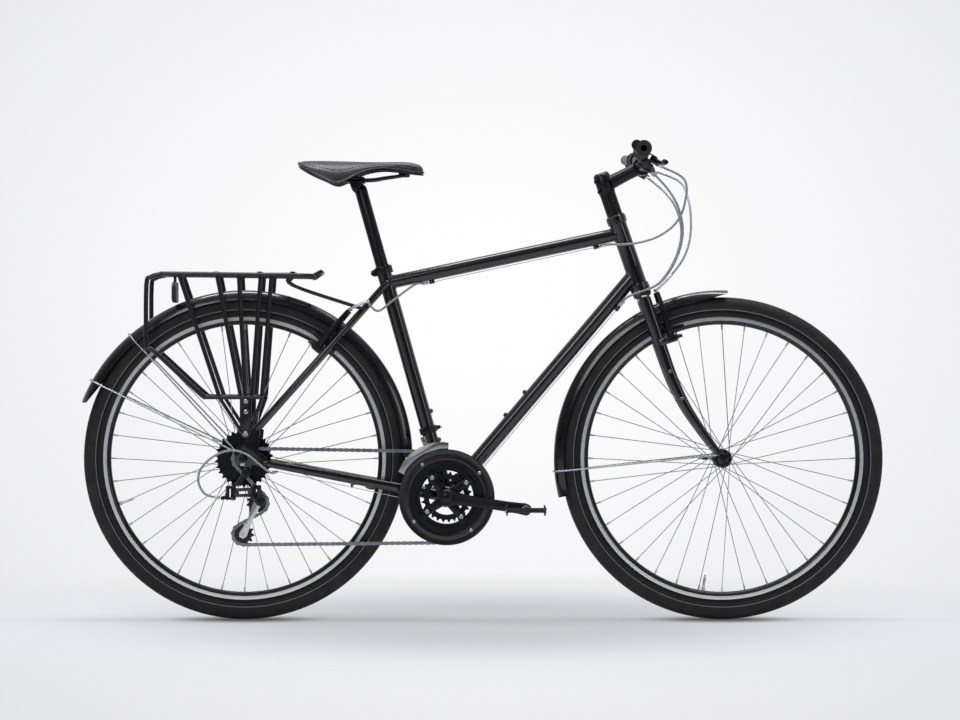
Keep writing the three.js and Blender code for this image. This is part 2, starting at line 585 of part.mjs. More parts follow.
// Crossed spokes from two flanges, given by their side distances and radius
function makeSpokes(leftFlange, rightFlange, flangeRadius) {
  const spokeRadius = 1;
  const rimSide = 2.5;
  const perSide = SPOKE_COUNT / 2;
  const pitch = (2 * Math.PI) / perSide;
  const crossing = 3 * pitch;
  const inset = 2.5;
  const spokes = [];
  for (const [flange, rim, offset] of [[leftFlange, rimSide, 0], [rightFlange, -rimSide, pitch / 2]]) {
    for (let i = 0; i < perSide; i++) {
      const lean = i % 2 ? crossing : -crossing;
      const weave = (i % 2 ? 1 : -1) * spokeRadius * 1.2;
      const hubAngle = i * pitch + offset;
      const rimAngle = hubAngle + lean;
      const hub = at((flangeRadius - inset) * Math.cos(hubAngle), flange + weave, (flangeRadius - inset) * Math.sin(hubAngle));
      const end = (RIM_BED_RADIUS - 2 * GAP) * Math.cos(FACET_DOWN);
      spokes.push(rod(hub, at(end * Math.cos(rimAngle), rim, end * Math.sin(rimAngle)), spokeRadius, 3));
    }
  }
  return spokes;
}
const FRONT_LOCKNUT = 6;
function makeFrontHub() {
  const flange = 35;
  const flangeRadius = 20;
  const flangeHalf = 2.4;
  const barrel = 14;
  const end = FRONT_HUB_WIDTH / 2 - FRONT_LOCKNUT - GAP;
  const bore = AXLE_RADIUS + GAP;
  const profile = [
    [bore, -end], [barrel * 0.7, -end], [flangeRadius, -flange - flangeHalf],
    [flangeRadius, -flange + flangeHalf], [barrel, -flange + 2 * flangeHalf], [barrel, flange - 2 * flangeHalf],
    [flangeRadius, flange - flangeHalf], [flangeRadius, flange + flangeHalf],
    [barrel * 0.7, end], [bore, end],
  ];
  return join(turned(profile, 12), ...makeSpokes(flange, -flange, flangeRadius));
}
const REAR_LOCKNUT = 6;
const FREEHUB_RADIUS = 15;
const RIGHT_FLANGE = 19;
const HUB_RIGHT_END = RIGHT_FLANGE + 3.6; // where the hub shell ends and the cassette's driver begins
function makeRearHub() {
  const leftFlange = 34;
  const flangeRadius = 22;
  const flangeHalf = 2.4;
  const barrel = 15;
  const end = REAR_HUB_WIDTH / 2 - REAR_LOCKNUT - GAP;
  const bore = AXLE_RADIUS + GAP;
  const profile = [
    [bore, -HUB_RIGHT_END], [FREEHUB_RADIUS, -HUB_RIGHT_END], [flangeRadius, -RIGHT_FLANGE - flangeHalf],
    [flangeRadius, -RIGHT_FLANGE + flangeHalf], [barrel, -RIGHT_FLANGE + 2 * flangeHalf],
    [barrel, leftFlange - 2 * flangeHalf], [flangeRadius, leftFlange - flangeHalf],
    [flangeRadius, leftFlange + flangeHalf], [barrel * 0.8, end], [bore, end],
  ];
  return join(turned(profile, 12), ...makeSpokes(leftFlange, -RIGHT_FLANGE, flangeRadius));
}
// A wheel axle with locknuts, a nut on the right and a quick-release lever on the left
function makeAxle(hubWidth, dropoutThickness, locknut, leverAngle) {
  const nutRadius = 8.5;
  const nutLength = 9;
  const locknutRadius = 8;
  const camRadius = 8;
  const camLength = 14;
  const leverLength = 46;
  const leverThickness = 5;
  const inner = hubWidth / 2;
  const face = inner + dropoutThickness + 2 * GAP;
  const shaft = bar(0, 0, -face - nutLength / 2, face + camLength / 2, AXLE_RADIUS, 6);
  const locks = [-1, 1].map((side) => bar(0, 0, side * (inner - locknut), side * inner, locknutRadius, 6));
  const nut = bar(0, 0, -face, -face - nutLength, nutRadius, 6);
  const cam = bar(0, 0, face, face + camLength, camRadius, 6);
  const reach = at(Math.cos(leverAngle), 0, Math.sin(leverAngle));
  const root = at(0, face + camLength - leverThickness, 0);
  const lever = tube(
    [0, 0.35, 0.75, 1].map((share) =>
      root.clone().addScaledVector(reach, share * leverLength).add(at(0, share * leverThickness, 0)),
    ),
    [[leverThickness / 2, camRadius * 0.8], [leverThickness / 2, camRadius * 0.6],
      [leverThickness / 2, camRadius * 0.7], [leverThickness / 3, camRadius * 0.4]],
    6,
  );
  return join(shaft, locks, nut, cam, lever);
}
const frontWheel = groupAt(meshes, frontAxle);
add(frontWheel, "front_tire", makeTire(), finishes.rubber);
add(frontWheel, "front_rim", makeRim(), finishes.silver);
add(frontWheel, "front_hub", makeFrontHub(), finishes.steel);
const FORK_TIP_THICKNESS = 5;
add(frontWheel, "front_axle", makeAxle(FRONT_HUB_WIDTH, FORK_TIP_THICKNESS, FRONT_LOCKNUT, degrees(180)), finishes.blackAlloy);
const rearWheel = groupAt(meshes, rearAxle);
add(rearWheel, "rear_tire", makeTire(), finishes.rubber);
add(rearWheel, "rear_rim", makeRim(), finishes.silver);
add(rearWheel, "rear_hub", makeRearHub(), finishes.steel);
add(rearWheel, "rear_axle", makeAxle(REAR_HUB_WIDTH, DROPOUT_THICKNESS, REAR_LOCKNUT, degrees(-10)), finishes.blackAlloy);

// Sprockets. Teeth are told by their count: a valley for each roller and a point between two rollers.
const TOOTH_DEPTH = 6;
const TOOTH_RISE = 2.2;
const TOOTH_HALF_THICKNESS = 0.9;
function sprocketOutline(teeth, phase) {
  const radius = ringRadius(teeth);
  const points = [];
  for (let i = 0; i < teeth; i++) {
    const valley = phase + (i * 2 * Math.PI) / teeth;
    const tip = valley + Math.PI / teeth;
    points.push([(radius - TOOTH_DEPTH) * Math.cos(valley), (radius - TOOTH_DEPTH) * Math.sin(valley)]);
    points.push([(radius + TOOTH_RISE) * Math.cos(tip), (radius + TOOTH_RISE) * Math.sin(tip)]);
  }
  return points;
}
const sprocket = (teeth, phase, plane, holes = []) =>
  plate(sprocketOutline(teeth, phase), -plane - TOOTH_HALF_THICKNESS, -plane + TOOTH_HALF_THICKNESS, holes);

// The chain's path over the big ring, the small cog and the two pulleys. A run is measured in pitches, and the
// cage swings until the whole path is an even number of them.
const GUIDE_FROM_AXLE = at(31, 0, -94);
const CAGE_LENGTH = 73.5;
const CHAIN_PITCHES = 116;
const guide = rearAxle.clone().add(GUIDE_FROM_AXLE);
function pathFor(cageAngle) {
  const tension = around(guide, CAGE_LENGTH, cageAngle, 0);
  const wheels = [
    { centre: bottomBracket, teeth: RING_TEETH[0], turn: 1, plane: RING_PLANES[0] },
    { centre: tension, teeth: PULLEY_TEETH, turn: 1, plane: SMALL_COG_PLANE },
    { centre: guide, teeth: PULLEY_TEETH, turn: -1, plane: SMALL_COG_PLANE },
    { centre: rearAxle, teeth: COG_TEETH[0], turn: 1, plane: SMALL_COG_PLANE },
  ];
  // The chain goes round the ring from top to bottom, back to the tension pulley, up over the guide pulley's
  // front, round the cog and forward again. A turn of 1 is clockwise, seen from the right.
  const runs = wheels.map((wheel, i) => tangent(wheel, wheels[(i + 1) % wheels.length]));
  let total = 0;
  const pieces = [];
  wheels.forEach((wheel, i) => {
    const arrive = runs[(i + wheels.length - 1) % wheels.length].arriveAngle;
    const leave = runs[i].leaveAngle;
    let wrap = wheel.turn * (arrive - leave);
    while (wrap < 0) wrap += 2 * Math.PI;
    while (wrap >= 2 * Math.PI) wrap -= 2 * Math.PI;
    const wrapPitches = (wrap * wheel.teeth) / (2 * Math.PI);
    pieces.push({ kind: "wrap", wheel, arrive, start: total, count: wrapPitches });
    total += wrapPitches;
    const runPitches = runs[i].length / CHAIN_PITCH;
    pieces.push({ kind: "run", run: runs[i], from: wheel, to: wheels[(i + 1) % wheels.length], start: total, count: runPitches });
    total += runPitches;
  });
  return { pieces, total, tension, wheels };
}
// The straight run that leaves one wheel and arrives at the next, told by the angle at which it touches each
function tangent(a, b) {
  const ra = ringRadius(a.teeth) * a.turn;
  const rb = ringRadius(b.teeth) * b.turn;
  const dx = b.centre.x - a.centre.x;
  const dz = b.centre.z - a.centre.z;
  const distance = Math.hypot(dx, dz);
  const bearing = Math.atan2(dz, dx);
  const lean = Math.asin((rb - ra) / distance);
  const heading = bearing + lean;
  const side = Math.PI / 2;
  const leaveAngle = heading + (a.turn > 0 ? side : -side);
  const arriveAngle = heading + (b.turn > 0 ? side : -side);
  const start = around(a.centre, ringRadius(a.teeth), leaveAngle, 0);
  const end = around(b.centre, ringRadius(b.teeth), arriveAngle, 0);
  return { leaveAngle, arriveAngle, start, end, length: start.distanceTo(end) };
}
function settleCage() {
  let low = degrees(-150);
  let high = degrees(-70);
  for (let i = 0; i < 60; i++) {
    const middle = (low + high) / 2;
    if (pathFor(middle).total > CHAIN_PITCHES) low = middle;
    else high = middle;
  }
  return (low + high) / 2;
}
const cageAngle = settleCage();
const chainPath = pathFor(cageAngle);
const tension = chainPath.tension;
// A place on the chain, by pitches from where it meets the big ring
function onChain(pitches) {
  const along = ((pitches % CHAIN_PITCHES) + CHAIN_PITCHES) % CHAIN_PITCHES;
  const piece = chainPath.pieces.find((p) => along >= p.start && along < p.start + p.count) ?? chainPath.pieces[0];
  const done = along - piece.start;
  if (piece.kind === "wrap") {
    const { wheel } = piece;
    const angle = piece.arrive - wheel.turn * ((done * 2 * Math.PI) / wheel.teeth);
    return around(wheel.centre, ringRadius(wheel.teeth), angle, -wheel.plane);
  }
  const share = done / piece.count;
  const place = piece.run.start.clone().lerp(piece.run.end, share);
  place.y = -lerp(piece.from.plane, piece.to.plane, share);
  return place;
}
// The angle of a roller on a wheel of the path, which a valley of that wheel's teeth has to share
function phaseOn(index) {
  const piece = chainPath.pieces[index * 2];
  const first = Math.ceil(piece.start + 1 / 2);
  return piece.arrive - piece.wheel.turn * (((first - piece.start) * 2 * Math.PI) / piece.wheel.teeth);
}
const PLATE_HALF_HEIGHT = 4.1;
const ROLLER_HALF = 3.4;
const STRAIGHT_ROLLER_STEP = 4; // only these joints of a straight run have their roller
const PLATE_INNER = 1.6;
const PLATE_OUTER = 3.4;
const PLATE_WALL = 1;
// One closed ladder: a rail of link plates on each side, with a roller at each joint
function makeChain() {
  const places = Array.from({ length: CHAIN_PITCHES }, (_, i) => onChain(i));
  const placeAt = (i) => places[(i + CHAIN_PITCHES) % CHAIN_PITCHES];
  const middle = (PLATE_INNER + PLATE_OUTER) / 2;
  const inner = middle - PLATE_WALL / 2;
  const bends = (i) => chainPath.pieces.some((piece) => {
    const fromStart = i - piece.start;
    return piece.kind === "wrap" && fromStart > -1 && fromStart < piece.count + 1;
  });
  const rails = [-1, 1].map((side) => {
    const rings = [];
    places.forEach((place, i) => {
      if (!bends(i) && !bends(i - CHAIN_PITCHES)) return;
      if (i % 2 && i > 1 && i < chainPath.pieces[0].count - 2) return;
      const along = placeAt(i + 1).clone().sub(placeAt(i - 1)).normalize();
      rings.push(railRing(place, along, side * inner, side * (inner + PLATE_WALL), PLATE_HALF_HEIGHT));
    });
    return closedLoft(rings);
  });
  const rollers = places
    .filter((_, i) => bends(i) || bends(i - CHAIN_PITCHES) || i % STRAIGHT_ROLLER_STEP === 0)
    .map((place) => bar(place.x, place.z, place.y - middle, place.y + middle, ROLLER_HALF, 3));
  return join(rollers, rails);
}
// Four corners of a rail's section, seen along the chain
function railRing(place, along, y0, y1, half) {
  const up = along.clone().cross(at(0, 1, 0)).normalize();
  const corner = (y, height) => place.clone().add(at(0, y, 0)).addScaledVector(up, height);
  return [corner(y0, -half), corner(y1, -half), corner(y1, half), corner(y0, half)];
}
// A skin over rings that close on themselves, without ends
function closedLoft(rings) {
  const count = rings[0].length;
  const places = [];
  rings.forEach((ring, i) => {
    const next = rings[(i + 1) % rings.length];
    for (let j = 0; j < count; j++) {
      const k = (j + 1) % count;
      for (const point of [ring[j], ring[k], next[k], ring[j], next[k], next[j]]) places.push(...point.toArray());
    }
  });
  const geometry = new THREE.BufferGeometry();
  geometry.setAttribute("position", new THREE.Float32BufferAttribute(places, 3));
  return solidOf(geometry);
}
add(meshes, "chain", makeChain(), finishes.steel);

// The sprockets on the freehub's driver, which turns with them on the axle
const cassette = groupAt(meshes, rearAxle);
function makeCassette() {
  const spacer = 19.5;
  const endSpacer = 17.4;
  const bigPlane = SMALL_COG_PLANE - COG_STEP * (COG_TEETH.length - 1);
  const driverStart = HUB_RIGHT_END + GAP;
  const outerEnd = REAR_HUB_WIDTH / 2 - REAR_LOCKNUT - GAP;
  const cogs = COG_TEETH.map((teeth, i) =>
    sprocket(teeth, i === 0 ? phaseOn(3) : 0, SMALL_COG_PLANE - i * COG_STEP),
  );
  const coreEnd = SMALL_COG_PLANE - PLATE_OUTER - GAP;
  const core = bar(0, 0, -bigPlane, -coreEnd, spacer, 8);
  const tip = bar(0, 0, -bigPlane, -outerEnd, endSpacer, 12);
  const driver = bar(0, 0, -driverStart, -outerEnd, FREEHUB_RADIUS, 12);
  const boreRadius = (AXLE_RADIUS + GAP) / Math.cos(Math.PI / 12);
  const bore = bar(0, 0, -driverStart + OVERRUN, -outerEnd - OVERRUN, boreRadius, 12);
  const recess = bar(0, 0, -outerEnd, -outerEnd - OVERRUN, FREEHUB_RADIUS, 12); // room for the axle's locknut
  return cut(join(core, tip, driver, cogs), bore, recess);
}
add(cassette, "cassette", makeCassette(), finishes.steel);

// Crankset, made round the bottom bracket with the right crank along its own tilt
const crankset = groupAt(meshes, bottomBracket);
const crankAngle = -CRANK_TILT;
const SPIDER_ARMS = 4;
const BOLT_CIRCLE = 52;
const RING_HALF = TOOTH_HALF_THICKNESS;
const GUARD_RADIUS = 102.5;
const GUARD_PLANE = 60.6;
const GUARD_HALF = 1;
const SPIDER_INNER = RING_PLANES[1] + RING_HALF + GAP;
const SPIDER_OUTER = RING_PLANES[0] - RING_HALF - GAP;
const ARM_INNER = GUARD_PLANE + GUARD_HALF + 1;
const ARM_THICKNESS = 13;
const spiderAngles = Array.from({ length: SPIDER_ARMS }, (_, i) => crankAngle + ((i + 1 / 2) * 2 * Math.PI) / SPIDER_ARMS);
// A toothed ring whose four tabs reach in to the spider's bolts
function chainring(index, phase, rimRadius, boltCircle) {
  const tabHalf = 9;
  const hole = spiderAngles.flatMap((angle) => {
    const corner = (radius, wide) => [
      radius * Math.cos(angle) - wide * Math.sin(angle),
      radius * Math.sin(angle) + wide * Math.cos(angle),
    ];
    const between = angle + Math.PI / SPIDER_ARMS;
    return [
      corner(rimRadius, -tabHalf * 1.6),
      corner(boltCircle - tabHalf, -tabHalf * 0.7),
      corner(boltCircle - tabHalf, tabHalf * 0.7),
      corner(rimRadius, tabHalf * 1.6),
      [rimRadius * Math.cos(between), rimRadius * Math.sin(between)],
    ];
  });
  return sprocket(RING_TEETH[index], phase, RING_PLANES[index], [hole]);
}
function makeOuterChainring() {
  const rimRadius = 84;
  const guardInner = 80;
  const postRadius = 87;
  const postSize = 3;
  const posts = spiderAngles.map((angle) => {
    return bar(postRadius * Math.cos(angle), postRadius * Math.sin(angle), -RING_PLANES[0], -GUARD_PLANE, postSize, 4);
  });
  const guard = plate(circle(0, 0, GUARD_RADIUS, 32), -GUARD_PLANE - GUARD_HALF, -GUARD_PLANE + GUARD_HALF, [
    circle(0, 0, guardInner, 20),
  ]);
  return join(chainring(0, phaseOn(0), rimRadius, BOLT_CIRCLE), posts, guard);
}
function makeInnerChainrings() {
  const middleRim = 62;
  const innerRim = 40;
  const spacerCircle = 44;
  const spacerRadius = 5;
  const rivets = spiderAngles.map((angle) =>
    bar(spacerCircle * Math.cos(angle), spacerCircle * Math.sin(angle), -RING_PLANES[1], -RING_PLANES[2], spacerRadius, 6),
  );
  return join(chainring(1, 0, middleRim, BOLT_CIRCLE - spacerRadius), chainring(2, 0, innerRim, spacerCircle), rivets);
}
add(crankset, "outer_chainring", makeOuterChainring(), finishes.plastic);
add(crankset, "inner_chainrings", makeInnerChainrings(), finishes.steel);
const PEDAL_AXLE_RADIUS = 4.5;
const PEDAL_WIDTH = 92;
const PEDAL_GAP = 4;
const PEDAL_FACE = ARM_INNER + ARM_THICKNESS * 1.75;
// A crank arm from the spindle to the pedal eye, leaning out, with the pedal's own axle fixed in it
function crankArm(direction, side) {
  const stations = [
    [0, ARM_INNER + ARM_THICKNESS / 2, ARM_THICKNESS / 2, 16],
    [0.12, ARM_INNER + ARM_THICKNESS / 2, ARM_THICKNESS / 2, 15.5],
    [0.3, ARM_INNER + ARM_THICKNESS * 0.6, ARM_THICKNESS / 2, 13],
    [0.7, ARM_INNER + ARM_THICKNESS * 1.1, ARM_THICKNESS / 2.2, 11],
    [0.93, ARM_INNER + ARM_THICKNESS * 1.25, ARM_THICKNESS / 2, 12.5],
    [1.06, ARM_INNER + ARM_THICKNESS * 1.25, ARM_THICKNESS / 2.4, 8],
  ];
  const points = stations.map(([share, y]) => at(CRANK_LENGTH * share * Math.cos(direction), side * y, CRANK_LENGTH * share * Math.sin(direction)));
  const eye = at(CRANK_LENGTH * Math.cos(direction), 0, CRANK_LENGTH * Math.sin(direction));
  const axle = bar(eye.x, eye.z, side * PEDAL_FACE, side * (PEDAL_FACE + PEDAL_GAP + PEDAL_WIDTH * 0.9), PEDAL_AXLE_RADIUS, 6);
  const collar = bar(eye.x, eye.z, side * (PEDAL_FACE - ARM_THICKNESS / 2), side * (PEDAL_FACE + PEDAL_GAP - 2 * GAP), PEDAL_AXLE_RADIUS * 2, 6);
  return join(tube(points, stations.map(([, , wide, high]) => [wide, high]), 6), axle, collar);
}
function makeRightCrank() {
  const bossRadius = 17;
  const spindleEnd = ARM_INNER - 2 * GAP;
  const capReach = 3;
  const spindle = bar(0, 0, -ARM_INNER, spindleEnd, SPINDLE_RADIUS, 12);
  const boss = bar(0, 0, -BOTTOM_BRACKET_WIDTH / 2 - CUP_REACH - 2 * GAP, -ARM_INNER - ARM_THICKNESS - capReach, bossRadius, 12);
  const arms = spiderAngles.map((angle) => {
    const tip = at(BOLT_CIRCLE * Math.cos(angle), 0, BOLT_CIRCLE * Math.sin(angle));
    const base = tip.clone().multiplyScalar(0.15);
    const sideways = at(-Math.sin(angle), 0, Math.cos(angle));
    const corner = (point, wide) => [point.x + sideways.x * wide, point.z + sideways.z * wide];
    const nose = tip.clone().multiplyScalar(1.15);
    return plate(
      [corner(base, -11), corner(tip, -8), corner(nose, -4), corner(nose, 4), corner(tip, 6), corner(base, 11)],
      -SPIDER_INNER,
      -SPIDER_OUTER,
    );
  });
  return join(spindle, boss, arms, crankArm(crankAngle, -1));
}
function makeLeftCrank() {
  const bossRadius = 16;
  const direction = crankAngle + Math.PI;
  const boss = bar(0, 0, BOTTOM_BRACKET_WIDTH / 2 + CUP_REACH + 2 * GAP, ARM_INNER + ARM_THICKNESS, bossRadius, 12);
  const socket = spaceAround(at(0, 0, 0), at(0, ARM_INNER - GAP, 0), SPINDLE_RADIUS);
  return cut(join(boss, crankArm(direction, 1)), socket);
}
add(crankset, "crank_arm_right", makeRightCrank(), finishes.blackAlloy);
add(crankset, "crank_arm_left", makeLeftCrank(), finishes.blackAlloy);
// A cage pedal that turns on its axle: a barrel, two toothed cage plates and two thin end plates
function makePedal(side) {
  const barrelRadius = 10;
  const cageReach = 40;
  const cageHeight = 20;
  const cageThickness = 3;
  const endHeight = 7;
  const endThickness = 3;
  const toothCount = 3;
  const start = PEDAL_FACE + PEDAL_GAP;
  const end = start + PEDAL_WIDTH;
  const barrel = bar(0, 0, side * start, side * end, barrelRadius, 6);
  const bore = bar(0, 0, side * (start - OVERRUN), side * (start + PEDAL_WIDTH * 0.92), PEDAL_AXLE_RADIUS / Math.cos(Math.PI / 8) + 2 * GAP, 6);
  const middle = side * (start + PEDAL_WIDTH / 2);
  const toothPitch = PEDAL_WIDTH / toothCount;
  const cages = [-1, 1].map((front) => {
    const slab = block(front * cageReach, middle, 0, cageThickness, PEDAL_WIDTH, cageHeight);
    const nicks = [];
    for (let i = 0; i < toothCount; i++) {
      for (const up of [-1, 1]) {
        const y = side * (start + (i + 1 / 2) * toothPitch);
        nicks.push(block(front * cageReach, y, (up * cageHeight) / 2, cageThickness * 2, toothPitch * 0.6, cageHeight * 0.2));
      }
    }
    return cut(slab, nicks);
  });
  const ends = [start + endThickness / 2, end - endThickness / 2].map((y) =>
    block(0, side * y, 0, cageReach * 2, endThickness, endHeight),
  );
  return cut(join(barrel, cages, ends), bore);
}
const pedalPlace = (direction) => bottomBracket.clone().add(at(CRANK_LENGTH * Math.cos(direction), 0, CRANK_LENGTH * Math.sin(direction)));
add(groupAt(meshes, pedalPlace(crankAngle)), "pedal_right", makePedal(-1), finishes.plastic);
add(groupAt(meshes, pedalPlace(crankAngle + Math.PI)), "pedal_left", makePedal(1), finishes.plastic);

// Front derailleur: a clamp band with a body, and the cage that straddles the chain
const FRONT_CLAMP_ALONG = 148;
const FRONT_BODY_SIDE = 40;
function makeFrontDerailleurClamp() {
  const height = 14;
  const wall = 3.5;
  const bodyRadius = 9;
  const low = FRONT_CLAMP_ALONG - height / 2;
  const high = low + height;
  const band = rod(onSeatTube(0, 0, low), onSeatTube(0, 0, high), SEAT_TUBE_RADIUS + GAP + wall, 12);
  const hole = spaceAround(onSeatTube(0, 0, low - OVERRUN), onSeatTube(0, 0, high + OVERRUN), SEAT_TUBE_RADIUS);
  const start = onSeatTube(-bodyRadius, 0, FRONT_CLAMP_ALONG);
  const end = start.clone().add(at(0, -FRONT_BODY_SIDE, 0));
  const body = rod(start, end, bodyRadius, 6);
  const boltReach = SEAT_TUBE_RADIUS + wall + height;
  const bolt = rod(
    onSeatTube(0, 0, FRONT_CLAMP_ALONG),
    onSeatTube(boltReach * 0.7, boltReach * 0.4, FRONT_CLAMP_ALONG),
    height * 0.35,
    6,
  );
  return cut(join(band, body, bolt), hole);
}
add(meshes, "front_derailleur_clamp", makeFrontDerailleurClamp(), finishes.blackAlloy);
const CAGE_PLATE = 1.2;
const FRONT_CAGE_INNER = RING_PLANES[0] - PLATE_OUTER - 1.2;
const FRONT_CAGE_OUTER = RING_PLANES[0] + PLATE_OUTER + 1.2;
function makeFrontDerailleurCage() {
  const innerRadius = GUARD_RADIUS + 2.5;
  const outerTop = 121;
  const innerLow = 92;
  const from = degrees(88);
  const to = degrees(152);
  const steps = 6;
  const arc = (low, high) => {
    const points = [];
    for (let i = 0; i <= steps; i++) {
      const angle = lerp(from, to, i / steps);
      points.push([low * Math.cos(angle), low * Math.sin(angle)]);
    }
    for (let i = steps; i >= 0; i--) {
      const angle = lerp(from, to, i / steps);
      const height = high - (high - low) * 0.25 * Math.abs((2 * i) / steps - 1) ** 3;
      points.push([height * Math.cos(angle), height * Math.sin(angle)]);
    }
    return points;
  };
  const outer = plate(arc(innerRadius, outerTop), -FRONT_CAGE_OUTER, -FRONT_CAGE_OUTER - CAGE_PLATE);
  const inner = plate(arc(innerLow, outerTop), -FRONT_CAGE_INNER, -FRONT_CAGE_INNER + CAGE_PLATE);
  const across = [
    [outerTop * 0.965, degrees(94)],
    [innerRadius * 1.03, to - degrees(3)],
  ].map(([radius, angle]) =>
    bar(radius * Math.cos(angle), radius * Math.sin(angle), -FRONT_CAGE_INNER, -FRONT_CAGE_OUTER - CAGE_PLATE / 2, 3, 6),
  );
  const lugAngle = degrees(112);
  const lug = rod(
    at((outerTop - 4) * Math.cos(lugAngle), -FRONT_CAGE_INNER + CAGE_PLATE / 2, (outerTop - 4) * Math.sin(lugAngle)),
    at((outerTop + 18) * Math.cos(lugAngle), -FRONT_CAGE_INNER + CAGE_PLATE / 2, (outerTop + 18) * Math.sin(lugAngle)),
    5,
    6,
  );
  return join(outer, inner, across, lug);
}
add(groupAt(meshes, bottomBracket), "front_derailleur_cage", makeFrontDerailleurCage(), finishes.silver);

// Rear derailleur: bracket on the hanger, link, knuckle, cage and two pulleys
const hangerBolt = rearAxle.clone().add(at(HANGER_FORWARD, 0, -HANGER_DROP));
const LINK_LENGTH = 44;
const LINK_PIVOT_FROM_AXLE = at(-20, -78, -72);
const LINK_REST_ANGLE = degrees(-6); // the link leans out by this much at rest
const LINK_SLANT = degrees(20);
const linkPivot = rearAxle.clone().add(LINK_PIVOT_FROM_AXLE);
const linkAxis = at(0, Math.sin(LINK_SLANT), Math.cos(LINK_SLANT));
const linkInward = at(0, Math.cos(LINK_SLANT), -Math.sin(LINK_SLANT));
const knucklePivot = linkPivot
  .clone()
  .addScaledVector(at(1, 0, 0), LINK_LENGTH * Math.cos(LINK_REST_ANGLE))
  .addScaledVector(linkInward, LINK_LENGTH * Math.sin(LINK_REST_ANGLE));
const LINK_HALF_HEIGHT = 9;
const LINK_HALF_THICKNESS = 3.5;
const EAR_HALF = 3;
const CAGE_HALF_WIDTH = 6.2;
const PULLEY_SIDE = SMALL_COG_PLANE;
const KNUCKLE_RADIUS = 11;
function alongLinkAxis(point, distance) {
  return point.clone().addScaledVector(linkAxis, distance);
}
const derailleurBarrelTip = alongLinkAxis(linkPivot.clone().add(at(-6 - 2 * EAR_HALF, 0, 0)), -LINK_HALF_HEIGHT).add(at(-14, 0, -3));
function makeDerailleurBracket() {
  const bodyRadius = 9;
  const inner = DROPOUT_OUTER + GAP;
  const outer = inner + 13;
  const boss = bar(hangerBolt.x, hangerBolt.z, -inner, -outer, bodyRadius, 12);
  const arm = tube(
    [hangerBolt.clone().add(at(0, -(inner + outer) / 2, 0)), linkPivot.clone().lerp(hangerBolt, 0.45).setY(-(inner + outer) / 2), alongLinkAxis(linkPivot, LINK_HALF_HEIGHT + 3 * EAR_HALF)],
    [[6, 8], [6, 7], [6, EAR_HALF]],
    6,
  );
  const ears = [-1, 1].map((up) =>
    rod(
      alongLinkAxis(linkPivot, up * (LINK_HALF_HEIGHT + GAP)),
      alongLinkAxis(linkPivot, up * (LINK_HALF_HEIGHT + GAP + 2 * EAR_HALF)),
      6,
      6,
    ),
  );
  const back = linkPivot.clone().add(at(-6 - 2 * EAR_HALF, 0, 0));
  const web = rod(
    alongLinkAxis(back, LINK_HALF_HEIGHT + 2 * EAR_HALF),
    alongLinkAxis(back, -LINK_HALF_HEIGHT - 2 * EAR_HALF),
    EAR_HALF * 1.4,
    6,
  );
  const webTies = [-1, 1].map((up) => {
    const level = up * (LINK_HALF_HEIGHT + GAP + EAR_HALF);
    return rod(alongLinkAxis(linkPivot, level), alongLinkAxis(back, level), EAR_HALF, 6);
  });
  const barrel = rod(alongLinkAxis(back, -LINK_HALF_HEIGHT), derailleurBarrelTip, 4, 6);
  const pin = rod(alongLinkAxis(linkPivot, -LINK_HALF_HEIGHT - EAR_HALF), alongLinkAxis(linkPivot, LINK_HALF_HEIGHT + EAR_HALF), 2, 6);
  return join(boss, arm, ears, web, webTies, barrel, pin);
}
function makeDerailleurLink() {
  const pinHole = 2 / Math.cos(Math.PI / 6) + GAP;
  const eyeRadius = 5;
  const along = knucklePivot.clone().sub(linkPivot).normalize();
  const across = along.clone().cross(linkAxis);
  const capsule = (level) => {
    const corner = (pivot, forward, side) =>
      alongLinkAxis(pivot, level).addScaledVector(along, forward * eyeRadius).addScaledVector(across, side * eyeRadius);
    return [
      corner(linkPivot, -1, -0.5), corner(linkPivot, 0, -0.9), corner(knucklePivot, 0, -0.9), corner(knucklePivot, 1, -0.5),
      corner(knucklePivot, 1, 0.5), corner(knucklePivot, 0, 0.9), corner(linkPivot, 0, 0.9), corner(linkPivot, -1, 0.5),
    ];
  };
  const body = loft([capsule(-LINK_HALF_HEIGHT), capsule(LINK_HALF_HEIGHT)]);
  const holes = [linkPivot, knucklePivot].map((pivot) =>
    rod(alongLinkAxis(pivot, -LINK_HALF_HEIGHT - OVERRUN), alongLinkAxis(pivot, LINK_HALF_HEIGHT + OVERRUN), pinHole, 6),
  );
  const window = loft([-1, 1].map((side) => {
    const corner = (share, level) =>
      alongLinkAxis(linkPivot.clone().lerp(knucklePivot, share), level * LINK_HALF_HEIGHT).addScaledVector(across, side * 2 * eyeRadius);
    return [corner(0.28, -0.45), corner(0.72, -0.45), corner(0.72, 0.45), corner(0.28, 0.45)];
  }));
  return cut(body, holes, window);
}
const cagePivot = guide.clone().add(at(7, 0, 5));
const CAGE_OUTER_FACE = PULLEY_SIDE + CAGE_HALF_WIDTH + CAGE_PLATE * 2;
